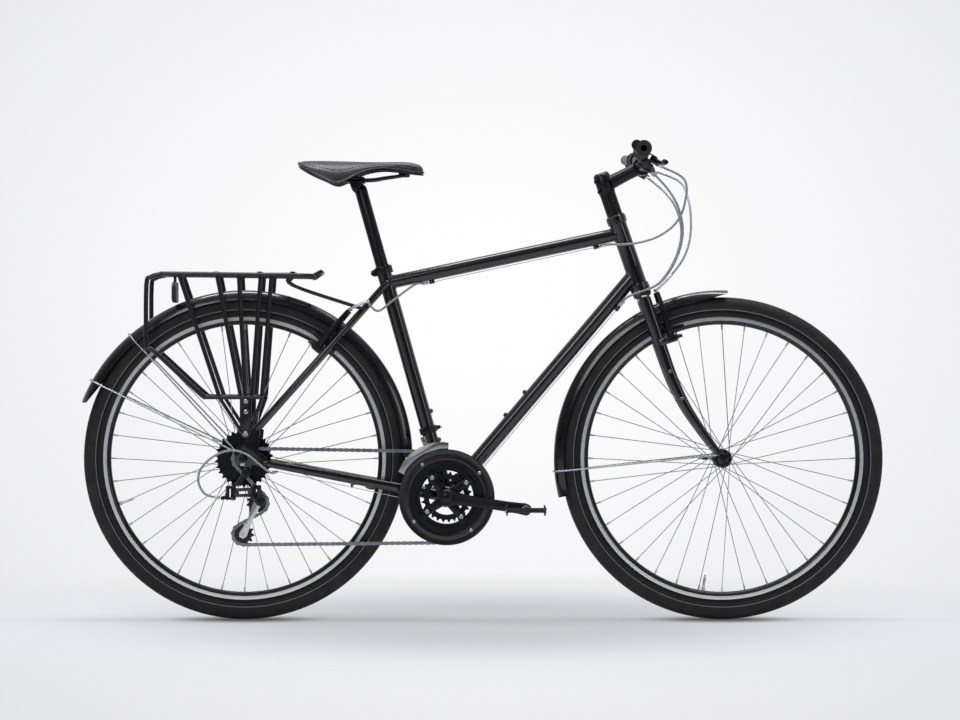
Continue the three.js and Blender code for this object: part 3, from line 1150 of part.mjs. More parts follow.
function makeDerailleurKnuckle() {
  const ears = [-1, 1].map((up) =>
    rod(
      alongLinkAxis(knucklePivot, up * (LINK_HALF_HEIGHT + GAP)),
      alongLinkAxis(knucklePivot, up * (LINK_HALF_HEIGHT + GAP + 2 * EAR_HALF)),
      6,
      6,
    ),
  );
  const pin = rod(alongLinkAxis(knucklePivot, -LINK_HALF_HEIGHT - EAR_HALF), alongLinkAxis(knucklePivot, LINK_HALF_HEIGHT + EAR_HALF), 2, 6);
  const face = CAGE_OUTER_FACE + GAP;
  const outer = -knucklePivot.y + LINK_HALF_THICKNESS * 2;
  const drum = bar(cagePivot.x, cagePivot.z, -face, -outer, KNUCKLE_RADIUS, 12);
  const front = knucklePivot.clone().add(at(6 + 2 * EAR_HALF, 0, 0));
  const web = rod(
    alongLinkAxis(front, LINK_HALF_HEIGHT + 2 * EAR_HALF),
    alongLinkAxis(front, -LINK_HALF_HEIGHT - 2 * EAR_HALF),
    EAR_HALF * 1.4,
    6,
  );
  const ties = [-1, 1].map((up) => {
    const level = up * (LINK_HALF_HEIGHT + GAP + EAR_HALF);
    return rod(alongLinkAxis(knucklePivot, level), alongLinkAxis(front, level), EAR_HALF, 6);
  });
  return join(ears, pin, drum, web, ties);
}
function makeDerailleurCage() {
  const plateHalf = 9;
  const direction = tension.clone().sub(guide).normalize();
  const sideways = at(-direction.z, 0, direction.x);
  const outline = (extra) => {
    const top = guide.clone().addScaledVector(direction, -plateHalf * extra);
    const foot = tension.clone().addScaledVector(direction, plateHalf * 0.9);
    const edge = (point, wide) => [point.x + sideways.x * wide, point.z + sideways.z * wide];
    return [
      edge(top, -plateHalf * 0.7), edge(guide, -plateHalf), edge(guide.clone().lerp(tension, 0.5), -plateHalf * 0.5),
      edge(tension, -plateHalf), edge(foot, -plateHalf * 0.5), edge(foot, plateHalf * 0.5), edge(tension, plateHalf),
      edge(guide.clone().lerp(tension, 0.5), plateHalf * 0.6), edge(guide, plateHalf), edge(top, plateHalf * 0.7),
    ];
  };
  const inner = plate(outline(0.8), -PULLEY_SIDE + CAGE_HALF_WIDTH, -PULLEY_SIDE + CAGE_HALF_WIDTH + CAGE_PLATE);
  const outer = plate(outline(1.2), -CAGE_OUTER_FACE, -PULLEY_SIDE - CAGE_HALF_WIDTH);
  const boltRadius = 3;
  const bolts = [guide, tension].map((pulley) =>
    bar(pulley.x, pulley.z, -PULLEY_SIDE - CAGE_HALF_WIDTH - CAGE_PLATE, -PULLEY_SIDE + CAGE_HALF_WIDTH + CAGE_PLATE, boltRadius, 10),
  );
  const pivotPlate = bar(cagePivot.x, cagePivot.z, -CAGE_OUTER_FACE, -PULLEY_SIDE - CAGE_HALF_WIDTH, KNUCKLE_RADIUS * 0.9, 12);
  return join(inner, outer, bolts, pivotPlate);
}
function makePulley(phase) {
  const half = 1.1;
  const hubHalf = CAGE_HALF_WIDTH - GAP;
  const hubRadius = 6;
  const boltRadius = 3;
  const teeth = plate(sprocketOutline(PULLEY_TEETH, phase), -PULLEY_SIDE - half, -PULLEY_SIDE + half);
  const hub = bar(0, 0, -PULLEY_SIDE - hubHalf, -PULLEY_SIDE + hubHalf, hubRadius, 10);
  const bore = bar(0, 0, -PULLEY_SIDE - hubHalf - OVERRUN, -PULLEY_SIDE + hubHalf + OVERRUN, boltRadius / Math.cos(Math.PI / 10) + GAP, 10);
  return cut(join(teeth, hub), bore);
}
add(meshes, "rear_derailleur_bracket", makeDerailleurBracket(), finishes.blackAlloy);
add(meshes, "rear_derailleur_link", makeDerailleurLink(), finishes.blackAlloy);
add(meshes, "rear_derailleur_knuckle", makeDerailleurKnuckle(), finishes.blackAlloy);
add(meshes, "rear_derailleur_cage", makeDerailleurCage(), finishes.silver);
add(groupAt(meshes, guide), "guide_pulley", makePulley(phaseOn(2)), finishes.plastic);
add(groupAt(meshes, tension), "tension_pulley", makePulley(phaseOn(1)), finishes.plastic);

// Fork, in the steering group: x forward of the steering axis, z up along it from the crown race
const BLADE_CROWN_SIDE = 36;
const BLADE_TIP_SIDE = FRONT_HUB_WIDTH / 2 + GAP + FORK_TIP_THICKNESS / 2;
const CROWN_HEIGHT = 24;
const bladeShares = [
  // share of the fork's length down the blade, share of the offset, width and depth shares
  [0.03, 0, 1, 1],
  [0.3, 0, 0.95, 0.95],
  [0.5, 0.02, 0.84, 0.87],
  [0.66, 0.18, 0.72, 0.75],
  [0.8, 0.47, 0.6, 0.63],
  [0.985, 0.965, 0.45, 0.46],
];
const BLADE_HALF_WIDTH = 10;
const BLADE_HALF_DEPTH = 14;
const axleInSteering = at(FORK_OFFSET, 0, -FORK_LENGTH);
function bladePoint([down, offset]) {
  const side = down < 0.3 ? BLADE_CROWN_SIDE : lerp(BLADE_CROWN_SIDE, BLADE_TIP_SIDE, (down - 0.3) / 0.7);
  return at(FORK_OFFSET * offset, side, -FORK_LENGTH * down);
}
const FRONT_POST_DOWN = shareAtDistance(axleInSteering, at(0, 0, -FORK_LENGTH), at(0, 0, 0), POST_DISTANCE);
const frontPostFoot = at(0, 0, -FORK_LENGTH * (1 - FRONT_POST_DOWN));
const FRONT_POST_BASE = BLADE_HALF_DEPTH + 3;
function makeFork() {
  const raceRadius = 20;
  const crownHalfDepth = 17;
  const steerer = rod(at(0, 0, -CROWN_HEIGHT / 2), at(0, 0, STEM_BOTTOM + STEM_CLAMP_HEIGHT - 2), STEERER_RADIUS, 12);
  const race = rod(at(0, 0, -CROWN_HEIGHT / 4), at(0, 0, CROWN_RACE_HEIGHT - GAP), raceRadius, 12);
  const crown = tube(
    [-1, -0.75, 0.75, 1].map((share) =>
      at(0, share * (BLADE_CROWN_SIDE + BLADE_HALF_WIDTH * 0.9), -CROWN_HEIGHT * (0.5 + 0.12 * Math.abs(share))),
    ),
    [0.7, 1, 1, 0.7].map((taper) => [crownHalfDepth * taper, (CROWN_HEIGHT / 2) * taper]),
    6,
  );
  const blade = tube(
    bladeShares.map(bladePoint),
    bladeShares.map(([, , wide, deep]) => [BLADE_HALF_WIDTH * wide, BLADE_HALF_DEPTH * deep]),
    8,
  );
  const tipRadius = 11;
  const tip = rod(
    axleInSteering.clone().add(at(0, FRONT_HUB_WIDTH / 2 + GAP, 0)),
    axleInSteering.clone().add(at(0, FRONT_HUB_WIDTH / 2 + GAP + FORK_TIP_THICKNESS, 0)),
    tipRadius,
    10,
  );
  const slotWidth = 2 * (AXLE_RADIUS + GAP);
  const slot = block(axleInSteering.x, axleInSteering.y, axleInSteering.z - tipRadius, slotWidth, FRONT_HUB_WIDTH * 2, 2 * tipRadius);
  const seat = rod(
    axleInSteering.clone().add(at(0, -FRONT_HUB_WIDTH, 0)),
    axleInSteering.clone().add(at(0, FRONT_HUB_WIDTH, 0)),
    slotWidth / 2 / Math.cos(Math.PI / 8),
    6,
  );
  const inside = rod(
    axleInSteering.clone().add(at(0, -FRONT_HUB_WIDTH / 2 - GAP, 0)),
    axleInSteering.clone().add(at(0, FRONT_HUB_WIDTH / 2 + GAP, 0)),
    tipRadius * 2,
    8,
  );
  const outside = rod(
    axleInSteering.clone().add(at(0, FRONT_HUB_WIDTH / 2 + GAP + FORK_TIP_THICKNESS, 0)),
    axleInSteering.clone().add(at(0, FRONT_HUB_WIDTH, 0)),
    tipRadius,
    10,
  );
  const postFoot = frontPostFoot.clone().add(at(0, BRAKE_POST_SIDE, 0));
  const post = rod(postFoot, postFoot.clone().add(at(FRONT_POST_BASE + BRAKE_POST_LENGTH, 0, 0)), BRAKE_POST_RADIUS, 6);
  const boss = rod(postFoot, postFoot.clone().add(at(FRONT_POST_BASE - GAP, 0, 0)), BRAKE_POST_RADIUS * 2, 6);
  return cut(join(steerer, race, crown, bothSides(join(blade, tip, post, boss))), slot, seat, inside, outside, mirrored(outside));
}
add(steering, "fork", makeFork(), finishes.paint);

// Stem with its spacers, top cap and bolts
const stemMiddle = STEM_BOTTOM + STEM_CLAMP_HEIGHT / 2;
const barCentre = at(STEM_REACH * Math.cos(STEM_RISE), 0, stemMiddle + STEM_REACH * Math.sin(STEM_RISE));
const BAR_CLAMP_RADIUS = 12.9;
const BAR_RADIUS = 11.1;
function makeStem() {
  const clampRadius = 18;
  const spacerRadius = 17;
  const bodyHalfWidth = 15;
  const bodyHalfHeight = 14;
  const capHeight = 6;
  const faceHalfWidth = 23;
  const faceRadius = 20;
  const boltRadius = 3.4;
  const cupTop = HEAD_TUBE_TOP + UPPER_CUP_HEIGHT + GAP;
  const top = STEM_BOTTOM + STEM_CLAMP_HEIGHT;
  const core = rod(at(0, 0, cupTop), at(0, 0, STEM_BOTTOM), spacerRadius, 12);
  const clamp = rod(at(0, 0, STEM_BOTTOM), at(0, 0, top), clampRadius, 12);
  const cap = rod(at(0, 0, top), at(0, 0, top + capHeight), spacerRadius, 12, spacerRadius * 0.8);
  const body = tube(
    [at(0, 0, stemMiddle), at(0, 0, stemMiddle).lerp(barCentre, 0.5), barCentre.clone()],
    [[bodyHalfWidth, bodyHalfHeight * 1.1], [bodyHalfWidth * 0.9, bodyHalfHeight], [bodyHalfWidth, bodyHalfHeight * 1.1]],
    6,
  );
  const face = rod(barCentre.clone().setY(-faceHalfWidth), barCentre.clone().setY(faceHalfWidth), faceRadius, 12);
  const bolts = [-1, 1].map((up) =>
    rod(
      at(-clampRadius, -clampRadius, stemMiddle + (up * STEM_CLAMP_HEIGHT) / 3.4),
      at(-clampRadius, clampRadius, stemMiddle + (up * STEM_CLAMP_HEIGHT) / 3.4),
      boltRadius * 1.4,
      6,
    ),
  );
  const steererBore = spaceAround(at(0, 0, cupTop - OVERRUN), at(0, 0, top - 2 + GAP), STEERER_RADIUS);
  const barBore = spaceAround(barCentre.clone().setY(-faceHalfWidth - OVERRUN), barCentre.clone().setY(faceHalfWidth + OVERRUN), BAR_CLAMP_RADIUS);
  return cut(join(core, clamp, cap, body, face, bolts), steererBore, barBore);
}
add(steering, "stem", makeStem(), finishes.blackAlloy);

// Handlebar: a flat bar with a small rise and sweep. Its bends are told in the steering group.
const BAR_RISE = 29; // of the ends above the middle, upright
const BAR_SWEEP = 24; // of the ends behind the middle, level
const worldShift = (back, rise) =>
  at(-back * Math.sin(HEAD_ANGLE) + rise * Math.cos(HEAD_ANGLE), 0, back * Math.cos(HEAD_ANGLE) + rise * Math.sin(HEAD_ANGLE));
const barShares = [
  // shares of the half width, the sweep and the rise
  [0, 0, 0],
  [0.14, 0, 0],
  [0.24, 0.03, 0.12],
  [0.38, 0.12, 0.5],
  [0.5, 0.25, 0.72],
  [1, 1, 1],
];
function barPoint(side) {
  const share = Math.abs(side) / BAR_HALF_WIDTH;
  let i = 1;
  while (i < barShares.length - 1 && barShares[i][0] < share) i++;
  const [a, b] = [barShares[i - 1], barShares[i]];
  const part = (share - a[0]) / (b[0] - a[0]);
  return barCentre.clone().add(worldShift(BAR_SWEEP * lerp(a[1], b[1], part), BAR_RISE * lerp(a[2], b[2], part))).setY(side);
}
function barTube(sides, radii, facets) {
  return tube(sides.map(barPoint), radii, facets);
}
function makeHandlebar() {
  const ends = barShares.map(([share]) => share * BAR_HALF_WIDTH);
  const sides = [...ends.slice(1).reverse().map((side) => -side), ...ends];
  sides[0] += 1;
  sides[sides.length - 1] -= 1;
  const radii = sides.map((side) => (Math.abs(side) <= BAR_HALF_WIDTH * 0.15 ? BAR_CLAMP_RADIUS : BAR_RADIUS));
  return barTube(sides, radii, 10);
}
add(steering, "handlebar", makeHandlebar(), finishes.blackAlloy);
const GRIP_LENGTH = 125;
const GRIP_RADIUS = 15.5;
function makeGrip() {
  const inner = BAR_HALF_WIDTH - GRIP_LENGTH;
  const wall = 2.5;
  const flange = 1.12;
  const outer = barTube(
    [inner, inner + wall, inner + 2 * wall, BAR_HALF_WIDTH - wall, BAR_HALF_WIDTH + wall],
    [GRIP_RADIUS * flange, GRIP_RADIUS * flange, GRIP_RADIUS, GRIP_RADIUS, GRIP_RADIUS * 0.95],
    10,
  );
  const bore = barTube([inner - OVERRUN, BAR_HALF_WIDTH - GAP], [BAR_RADIUS + 2 * GAP, BAR_RADIUS + 2 * GAP], 10);
  return cut(outer, bore);
}
add(steering, "grip_left", makeGrip(), finishes.rubber);
const rightSide = new THREE.Group();
rightSide.scale.y = -1;
steering.add(rightSide);
add(rightSide, "grip_right", makeGrip(), finishes.rubber);

// Controls: a perch with the shifter's pod, a brake lever and a thumb lever. They are made for the left end, on
// axes that follow the lever's reach, and mirrored for the right.
const LEVER_DROP = degrees(49); // below the steering group's forward axis
const leverOut = at(Math.cos(LEVER_DROP), 0, -Math.sin(LEVER_DROP));
const leverNormal = at(Math.sin(LEVER_DROP), 0, Math.cos(LEVER_DROP));
const PERCH_SIDE = BAR_HALF_WIDTH - GRIP_LENGTH - 16;
const PERCH_HALF = 9;
const LEVER_PIVOT_OUT = 27;
const LEVER_PIVOT_SIDE = PERCH_SIDE - 8;
const LEVER_REACH = 50;
const LEVER_TIP_SIDE = BAR_HALF_WIDTH - 38;
const LEVER_HALF_THICKNESS = 4.5;
const fromBar = (side, out, normal) => barPoint(side).addScaledVector(leverOut, out).addScaledVector(leverNormal, normal);
const leverPivot = fromBar(LEVER_PIVOT_SIDE, LEVER_PIVOT_OUT, 0);
const POD_OUT = 26;
const POD_BELOW = 23;
const THUMB_PIVOT_SIDE = PERCH_SIDE - 22;
const ADJUSTER_SIDE = LEVER_PIVOT_SIDE - 32;
const thumbPivot = fromBar(THUMB_PIVOT_SIDE, POD_OUT, -POD_BELOW);
function makeLeverMount() {
  const ringRadius = BAR_RADIUS + 4.5;
  const ring = barTube([PERCH_SIDE - PERCH_HALF, PERCH_SIDE + PERCH_HALF], [ringRadius, ringRadius], 8);
  const boreRadius = (BAR_RADIUS + GAP) / Math.cos(Math.PI / 8);
  const boreSides = [PERCH_SIDE - 3 * PERCH_HALF, BAR_HALF_WIDTH / 2, PERCH_SIDE + 2 * PERCH_HALF];
  const bore = barTube(boreSides, [boreRadius, boreRadius, boreRadius], 8);
  const barrelRadius = 5;
  const perch = tube(
    [fromBar(PERCH_SIDE, ringRadius * 0.6, 0), fromBar(LEVER_PIVOT_SIDE, LEVER_PIVOT_OUT + 2, 0), fromBar(LEVER_PIVOT_SIDE - 16, LEVER_PIVOT_OUT + 6, 0)],
    [[8, 8], [9.5, 8.5], [7, 7]],
    8,
    leverOut,
  );
  const adjuster = rod(fromBar(LEVER_PIVOT_SIDE - 14, LEVER_PIVOT_OUT + 6, 0), fromBar(ADJUSTER_SIDE, LEVER_PIVOT_OUT + 8, 0), barrelRadius, 6);
  const podHalf = 8;
  const pod = tube(
    [
      fromBar(PERCH_SIDE - 4, POD_OUT * 0.3, -POD_BELOW * 0.62),
      fromBar(PERCH_SIDE - 12, POD_OUT * 0.8, -POD_BELOW * 0.75),
      fromBar(THUMB_PIVOT_SIDE - 12, POD_OUT * 1.2, -POD_BELOW * 0.8),
    ],
    [[15, podHalf], [18, podHalf], [11, podHalf * 0.8]],
    6,
    leverOut,
  );
  const neck = rod(fromBar(PERCH_SIDE - 4, POD_OUT * 0.5, -POD_BELOW * 0.5), fromBar(PERCH_SIDE - 4, POD_OUT * 0.5, 0), 6, 6);
  const slotHalf = LEVER_HALF_THICKNESS + GAP;
  const slotReach = 19.6;
  const slot = rod(
    leverPivot.clone().addScaledVector(leverNormal, -slotHalf),
    leverPivot.clone().addScaledVector(leverNormal, slotHalf),
    slotReach,
    6,
  );
  const pin = rod(
    leverPivot.clone().addScaledVector(leverNormal, -slotHalf * 1.5),
    leverPivot.clone().addScaledVector(leverNormal, slotHalf * 1.5),
    2.2,
    6,
  );
  const podCut = rod(
    thumbPivot.clone().addScaledVector(leverNormal, -1.2 * podHalf),
    thumbPivot.clone().addScaledVector(leverNormal, GAP),
    POD_OUT,
    8,
  );
  return cut(join(cut(join(ring, perch, adjuster, neck), slot), cut(pod, podCut), pin), bore);
}
function makeBrakeLever() {
  const holeRadius = 2.2 / Math.cos(Math.PI / 8) + GAP;
  const stations = [
    [LEVER_PIVOT_SIDE - 3, LEVER_PIVOT_OUT, 7, 1],
    [LEVER_PIVOT_SIDE + 8, LEVER_PIVOT_OUT + 9, 7, 1],
    [LEVER_PIVOT_SIDE + 22, LEVER_REACH - 2, 6, 1],
    [LEVER_PIVOT_SIDE + 45, LEVER_REACH, 5.5, 1.3],
    [LEVER_TIP_SIDE - 14, LEVER_REACH - 2, 5.5, 1.4],
    [LEVER_TIP_SIDE, LEVER_REACH + 2, 5, 1.2],
  ];
  const middle = (side) => fromBar(LEVER_PIVOT_SIDE, 0, 0).setY(side);
  const rings = stations.map(([side, out, deep, high]) => {
    const centre = middle(side).addScaledVector(leverOut, out);
    return Array.from({ length: 8 }, (_, j) => {
      const angle = ((j + 1 / 2) * 2 * Math.PI) / 8;
      return centre
        .clone()
        .addScaledVector(leverOut, deep * Math.cos(angle))
        .addScaledVector(leverNormal, LEVER_HALF_THICKNESS * 0.95 * high * Math.sin(angle));
    });
  });
  const eye = rod(
    leverPivot.clone().addScaledVector(leverNormal, -LEVER_HALF_THICKNESS),
    leverPivot.clone().addScaledVector(leverNormal, LEVER_HALF_THICKNESS),
    7,
    10,
  );
  const hole = rod(
    leverPivot.clone().addScaledVector(leverNormal, -2 * LEVER_HALF_THICKNESS),
    leverPivot.clone().addScaledVector(leverNormal, 2 * LEVER_HALF_THICKNESS),
    holeRadius,
    6,
  );
  return cut(join(loft(rings), eye), hole);
}
function makeShiftLever() {
  const half = 2;
  const low = -half - GAP;
  const disc = rod(
    thumbPivot.clone().addScaledVector(leverNormal, low - half),
    thumbPivot.clone().addScaledVector(leverNormal, low + half),
    9,
    12,
  );
  const root = thumbPivot.clone().addScaledVector(leverNormal, low);
  const tip = root.clone().addScaledVector(leverOut, -26).add(at(0, 12, 0));
  const arm = tube([root, root.clone().lerp(tip, 0.6), tip], [[5, half], [5, half], [7, half * 1.4]], 6);
  return join(disc, arm);
}
for (const [suffix, group] of [["left", steering], ["right", rightSide]]) {
  add(group, "lever_mount_" + suffix, makeLeverMount(), finishes.plastic);
  add(group, "brake_lever_" + suffix, makeBrakeLever(), finishes.blackAlloy);
  add(group, "shift_lever_" + suffix, makeShiftLever(), finishes.plastic);
}

// Rim brake arms, made with x along the post, z up towards the cable, and the pivot at the origin
const ARM_BASE_LENGTH = 20;
const PAD_GAP = 1.8; // between pad and rim at rest
const PAD_LENGTH = 68;
const PAD_HALF_HEIGHT = 5;
const ARM_TOP = 104;
function makeBrakeArm() {
  const eyeRadius = 8;
  const bore = (BRAKE_POST_RADIUS + GAP) / Math.cos(Math.PI / 8);
  const armX = ARM_BASE_LENGTH * 0.55;
  const eye = rod(at(GAP, 0, 0), at(ARM_BASE_LENGTH, 0, 0), eyeRadius, 10);
  const cap = ARM_BASE_LENGTH + 4;
  const arm = tube(
    [at(armX, 0, 0), at(armX, 4, 22), at(armX + 2, 4, 60), at(armX + 2, -5, ARM_TOP)],
    [[7, 8], [6.5, 7], [5, 6], [5, 5]],
    6,
  );
  const padFace = RIM_HALF_WIDTH + PAD_GAP - BRAKE_POST_SIDE;
  const padThickness = 8;
  const padCurve = [-1, 0, 1].map((share) => {
    const along = (share * PAD_LENGTH) / 2;
    const dip = BRAKE_TRACK_RADIUS - Math.sqrt(BRAKE_TRACK_RADIUS ** 2 - along ** 2);
    return at(armX + along, padFace + padThickness / 2, BRAKE_POST_DROP - dip);
  });
  const rings = padCurve.map((point, i) => {
    const small = i === 1 ? 1 : 0.7;
    const high = PAD_HALF_HEIGHT * small;
    const deep = padThickness / 2;
    return [
      at(point.x, point.y - deep, point.z - high), at(point.x, point.y + deep * small, point.z - high),
      at(point.x, point.y + deep * small, point.z + high), at(point.x, point.y - deep, point.z + high),
    ];
  });
  const post = rod(at(armX, padFace + padThickness / 2, BRAKE_POST_DROP), at(armX, 12, BRAKE_POST_DROP), 4, 6);
  const hole = rod(at(-OVERRUN, 0, 0), at(cap, 0, 0), bore, 6);
  return cut(join(eye, arm, loft(rings), post), hole);
}
function addBrake(parent, prefix, leftMatrix) {
  const arm = makeBrakeArm();
  for (const [suffix, side] of [["left", 1], ["right", -1]]) {
    const group = groupAt(parent, leftMatrix.place.clone().setY(side * BRAKE_POST_SIDE));
    group.rotation.y = leftMatrix.turn;
    group.scale.set(leftMatrix.along, side, 1);
    add(group, prefix + "_brake_arm_" + suffix, arm, finishes.blackAlloy);
  }
}
addBrake(steering, "front", { place: frontPostFoot.clone().add(at(FRONT_POST_BASE, 0, 0)), turn: 0, along: 1 });
const stayTurn = Math.atan2(seatStayDirection.x, seatStayDirection.z);
addBrake(meshes, "rear", {
  place: rearPostFoot.clone().addScaledVector(seatStayOutward, BRAKE_POST_BASE),
  turn: stayTurn,
  along: -1,
});

// Fenders: a thin gutter bent round the wheel, in the plane of its axle
const FENDER_THICKNESS = 1.6;
const FENDER_DEPTH = 11;
const fenderSectionShares = [-1, -0.72, 0, 0.72, 1];
function fenderShell(centre, from, to, steps, flare) {
  const rings = [];
  for (let i = 0; i <= steps; i++) {
    const share = i / steps;
    const angle = lerp(from, to, share);
    const radius = FENDER_RADIUS + flare(share);
    const outer = fenderSectionShares.map((across) => [radius - FENDER_DEPTH * Math.abs(across) ** 3, across * FENDER_HALF_WIDTH]);
    const inner = outer.map(([r, y]) => [r - FENDER_THICKNESS, y * (1 - FENDER_THICKNESS / FENDER_HALF_WIDTH)]).reverse();
    rings.push([...outer, ...inner].map(([r, y]) => around(centre, r, angle, y)));
  }
  return loft(rings);
}
const REAR_FENDER_TAIL = degrees(160.9);
const REAR_FENDER_NOSE = degrees(-3);
const FRONT_FENDER_TIP = degrees(88);
const FRONT_FENDER_END = degrees(193.6);
const noFlare = () => 0;
const tailFlare = (share) => 10 * Math.max(0, share - 0.8) * 5;
const frontAxleLocal = axleInSteering;
const frontTilt = Math.PI / 2 - HEAD_ANGLE;
function makeFrontFender() {
  const shell = fenderShell(frontAxleLocal, FRONT_FENDER_TIP - frontTilt, FRONT_FENDER_END - frontTilt, 15, noFlare);
  const tabHalf = 9;
  const crownUnder = -CROWN_HEIGHT * 1.13;
  const tab = rod(at(0, 0, crownUnder), at(0, 0, axleInSteering.z + Math.sqrt(FENDER_RADIUS ** 2 - FORK_OFFSET ** 2) - FENDER_THICKNESS / 2), tabHalf, 6);
  return join(shell, tab);
}
add(steering, "front_fender", makeFrontFender(), finishes.plastic);
const tailShare = (angle) => (angle - REAR_FENDER_NOSE) / (REAR_FENDER_TAIL - REAR_FENDER_NOSE);
function makeRearFender() {
  return fenderShell(rearAxle, REAR_FENDER_NOSE, REAR_FENDER_TAIL, 22, tailFlare);
}
add(meshes, "rear_fender", makeRearFender(), finishes.plastic);

// Fender stays: a thin wire from one dropout over the fender and down to the other
const STAY_WIRE_RADIUS = 1.8;
function stayWire(centre, eyelet, angle, radius) {
  const over = radius + STAY_WIRE_RADIUS + GAP;
  const edge = FENDER_HALF_WIDTH + STAY_WIRE_RADIUS + 2 * GAP;
  const low = FENDER_DEPTH;
  const half = [
    eyelet,
    around(centre, over - low, angle, edge),
    around(centre, over - low * 0.3, angle, edge - STAY_WIRE_RADIUS * 0.2),
    around(centre, over, angle, FENDER_HALF_WIDTH * 0.72),
  ];
  const points = [...half, ...half.slice().reverse().map((point) => point.clone().setY(-point.y))];
  return tube(points, points.map(() => STAY_WIRE_RADIUS), 6);
}
const REAR_STAY_ANGLES = [degrees(133), degrees(153)];
function makeRearFenderStays() {
  const eyeletSide = DROPOUT_OUTER + 1 + STAY_WIRE_RADIUS;
  const eyelet = rearAxle.clone().add(at(-EYELET_BACK, eyeletSide, EYELET_UP));
  const bolt = rod(eyelet.clone().add(at(0, GAP - 1 - STAY_WIRE_RADIUS, 0)), eyelet.clone().add(at(0, 2 * STAY_WIRE_RADIUS, 0)), 4.5, 6);
  const wires = REAR_STAY_ANGLES.map((angle) =>
    stayWire(rearAxle, eyelet, angle, FENDER_RADIUS + tailFlare(tailShare(angle))),
  );
  return join(wires, bothSides(bolt));
}
add(meshes, "rear_fender_stays", makeRearFenderStays(), finishes.steel);
const FRONT_STAY_ANGLE = degrees(184.5);
function makeFrontFenderStays() {
  const eyeletSide = BLADE_TIP_SIDE + BLADE_HALF_WIDTH / 2 + STAY_WIRE_RADIUS;
  const eyelet = axleInSteering.clone().add(at(-6, eyeletSide, 11));
  const bolt = rod(eyelet.clone().add(at(0, -STAY_WIRE_RADIUS, 0)), eyelet.clone().add(at(0, STAY_WIRE_RADIUS, 0)), 4, 6);
  return join(stayWire(frontAxleLocal, eyelet, FRONT_STAY_ANGLE - frontTilt, FENDER_RADIUS), bothSides(bolt));
}
add(steering, "front_fender_stays", makeFrontFenderStays(), finishes.steel);

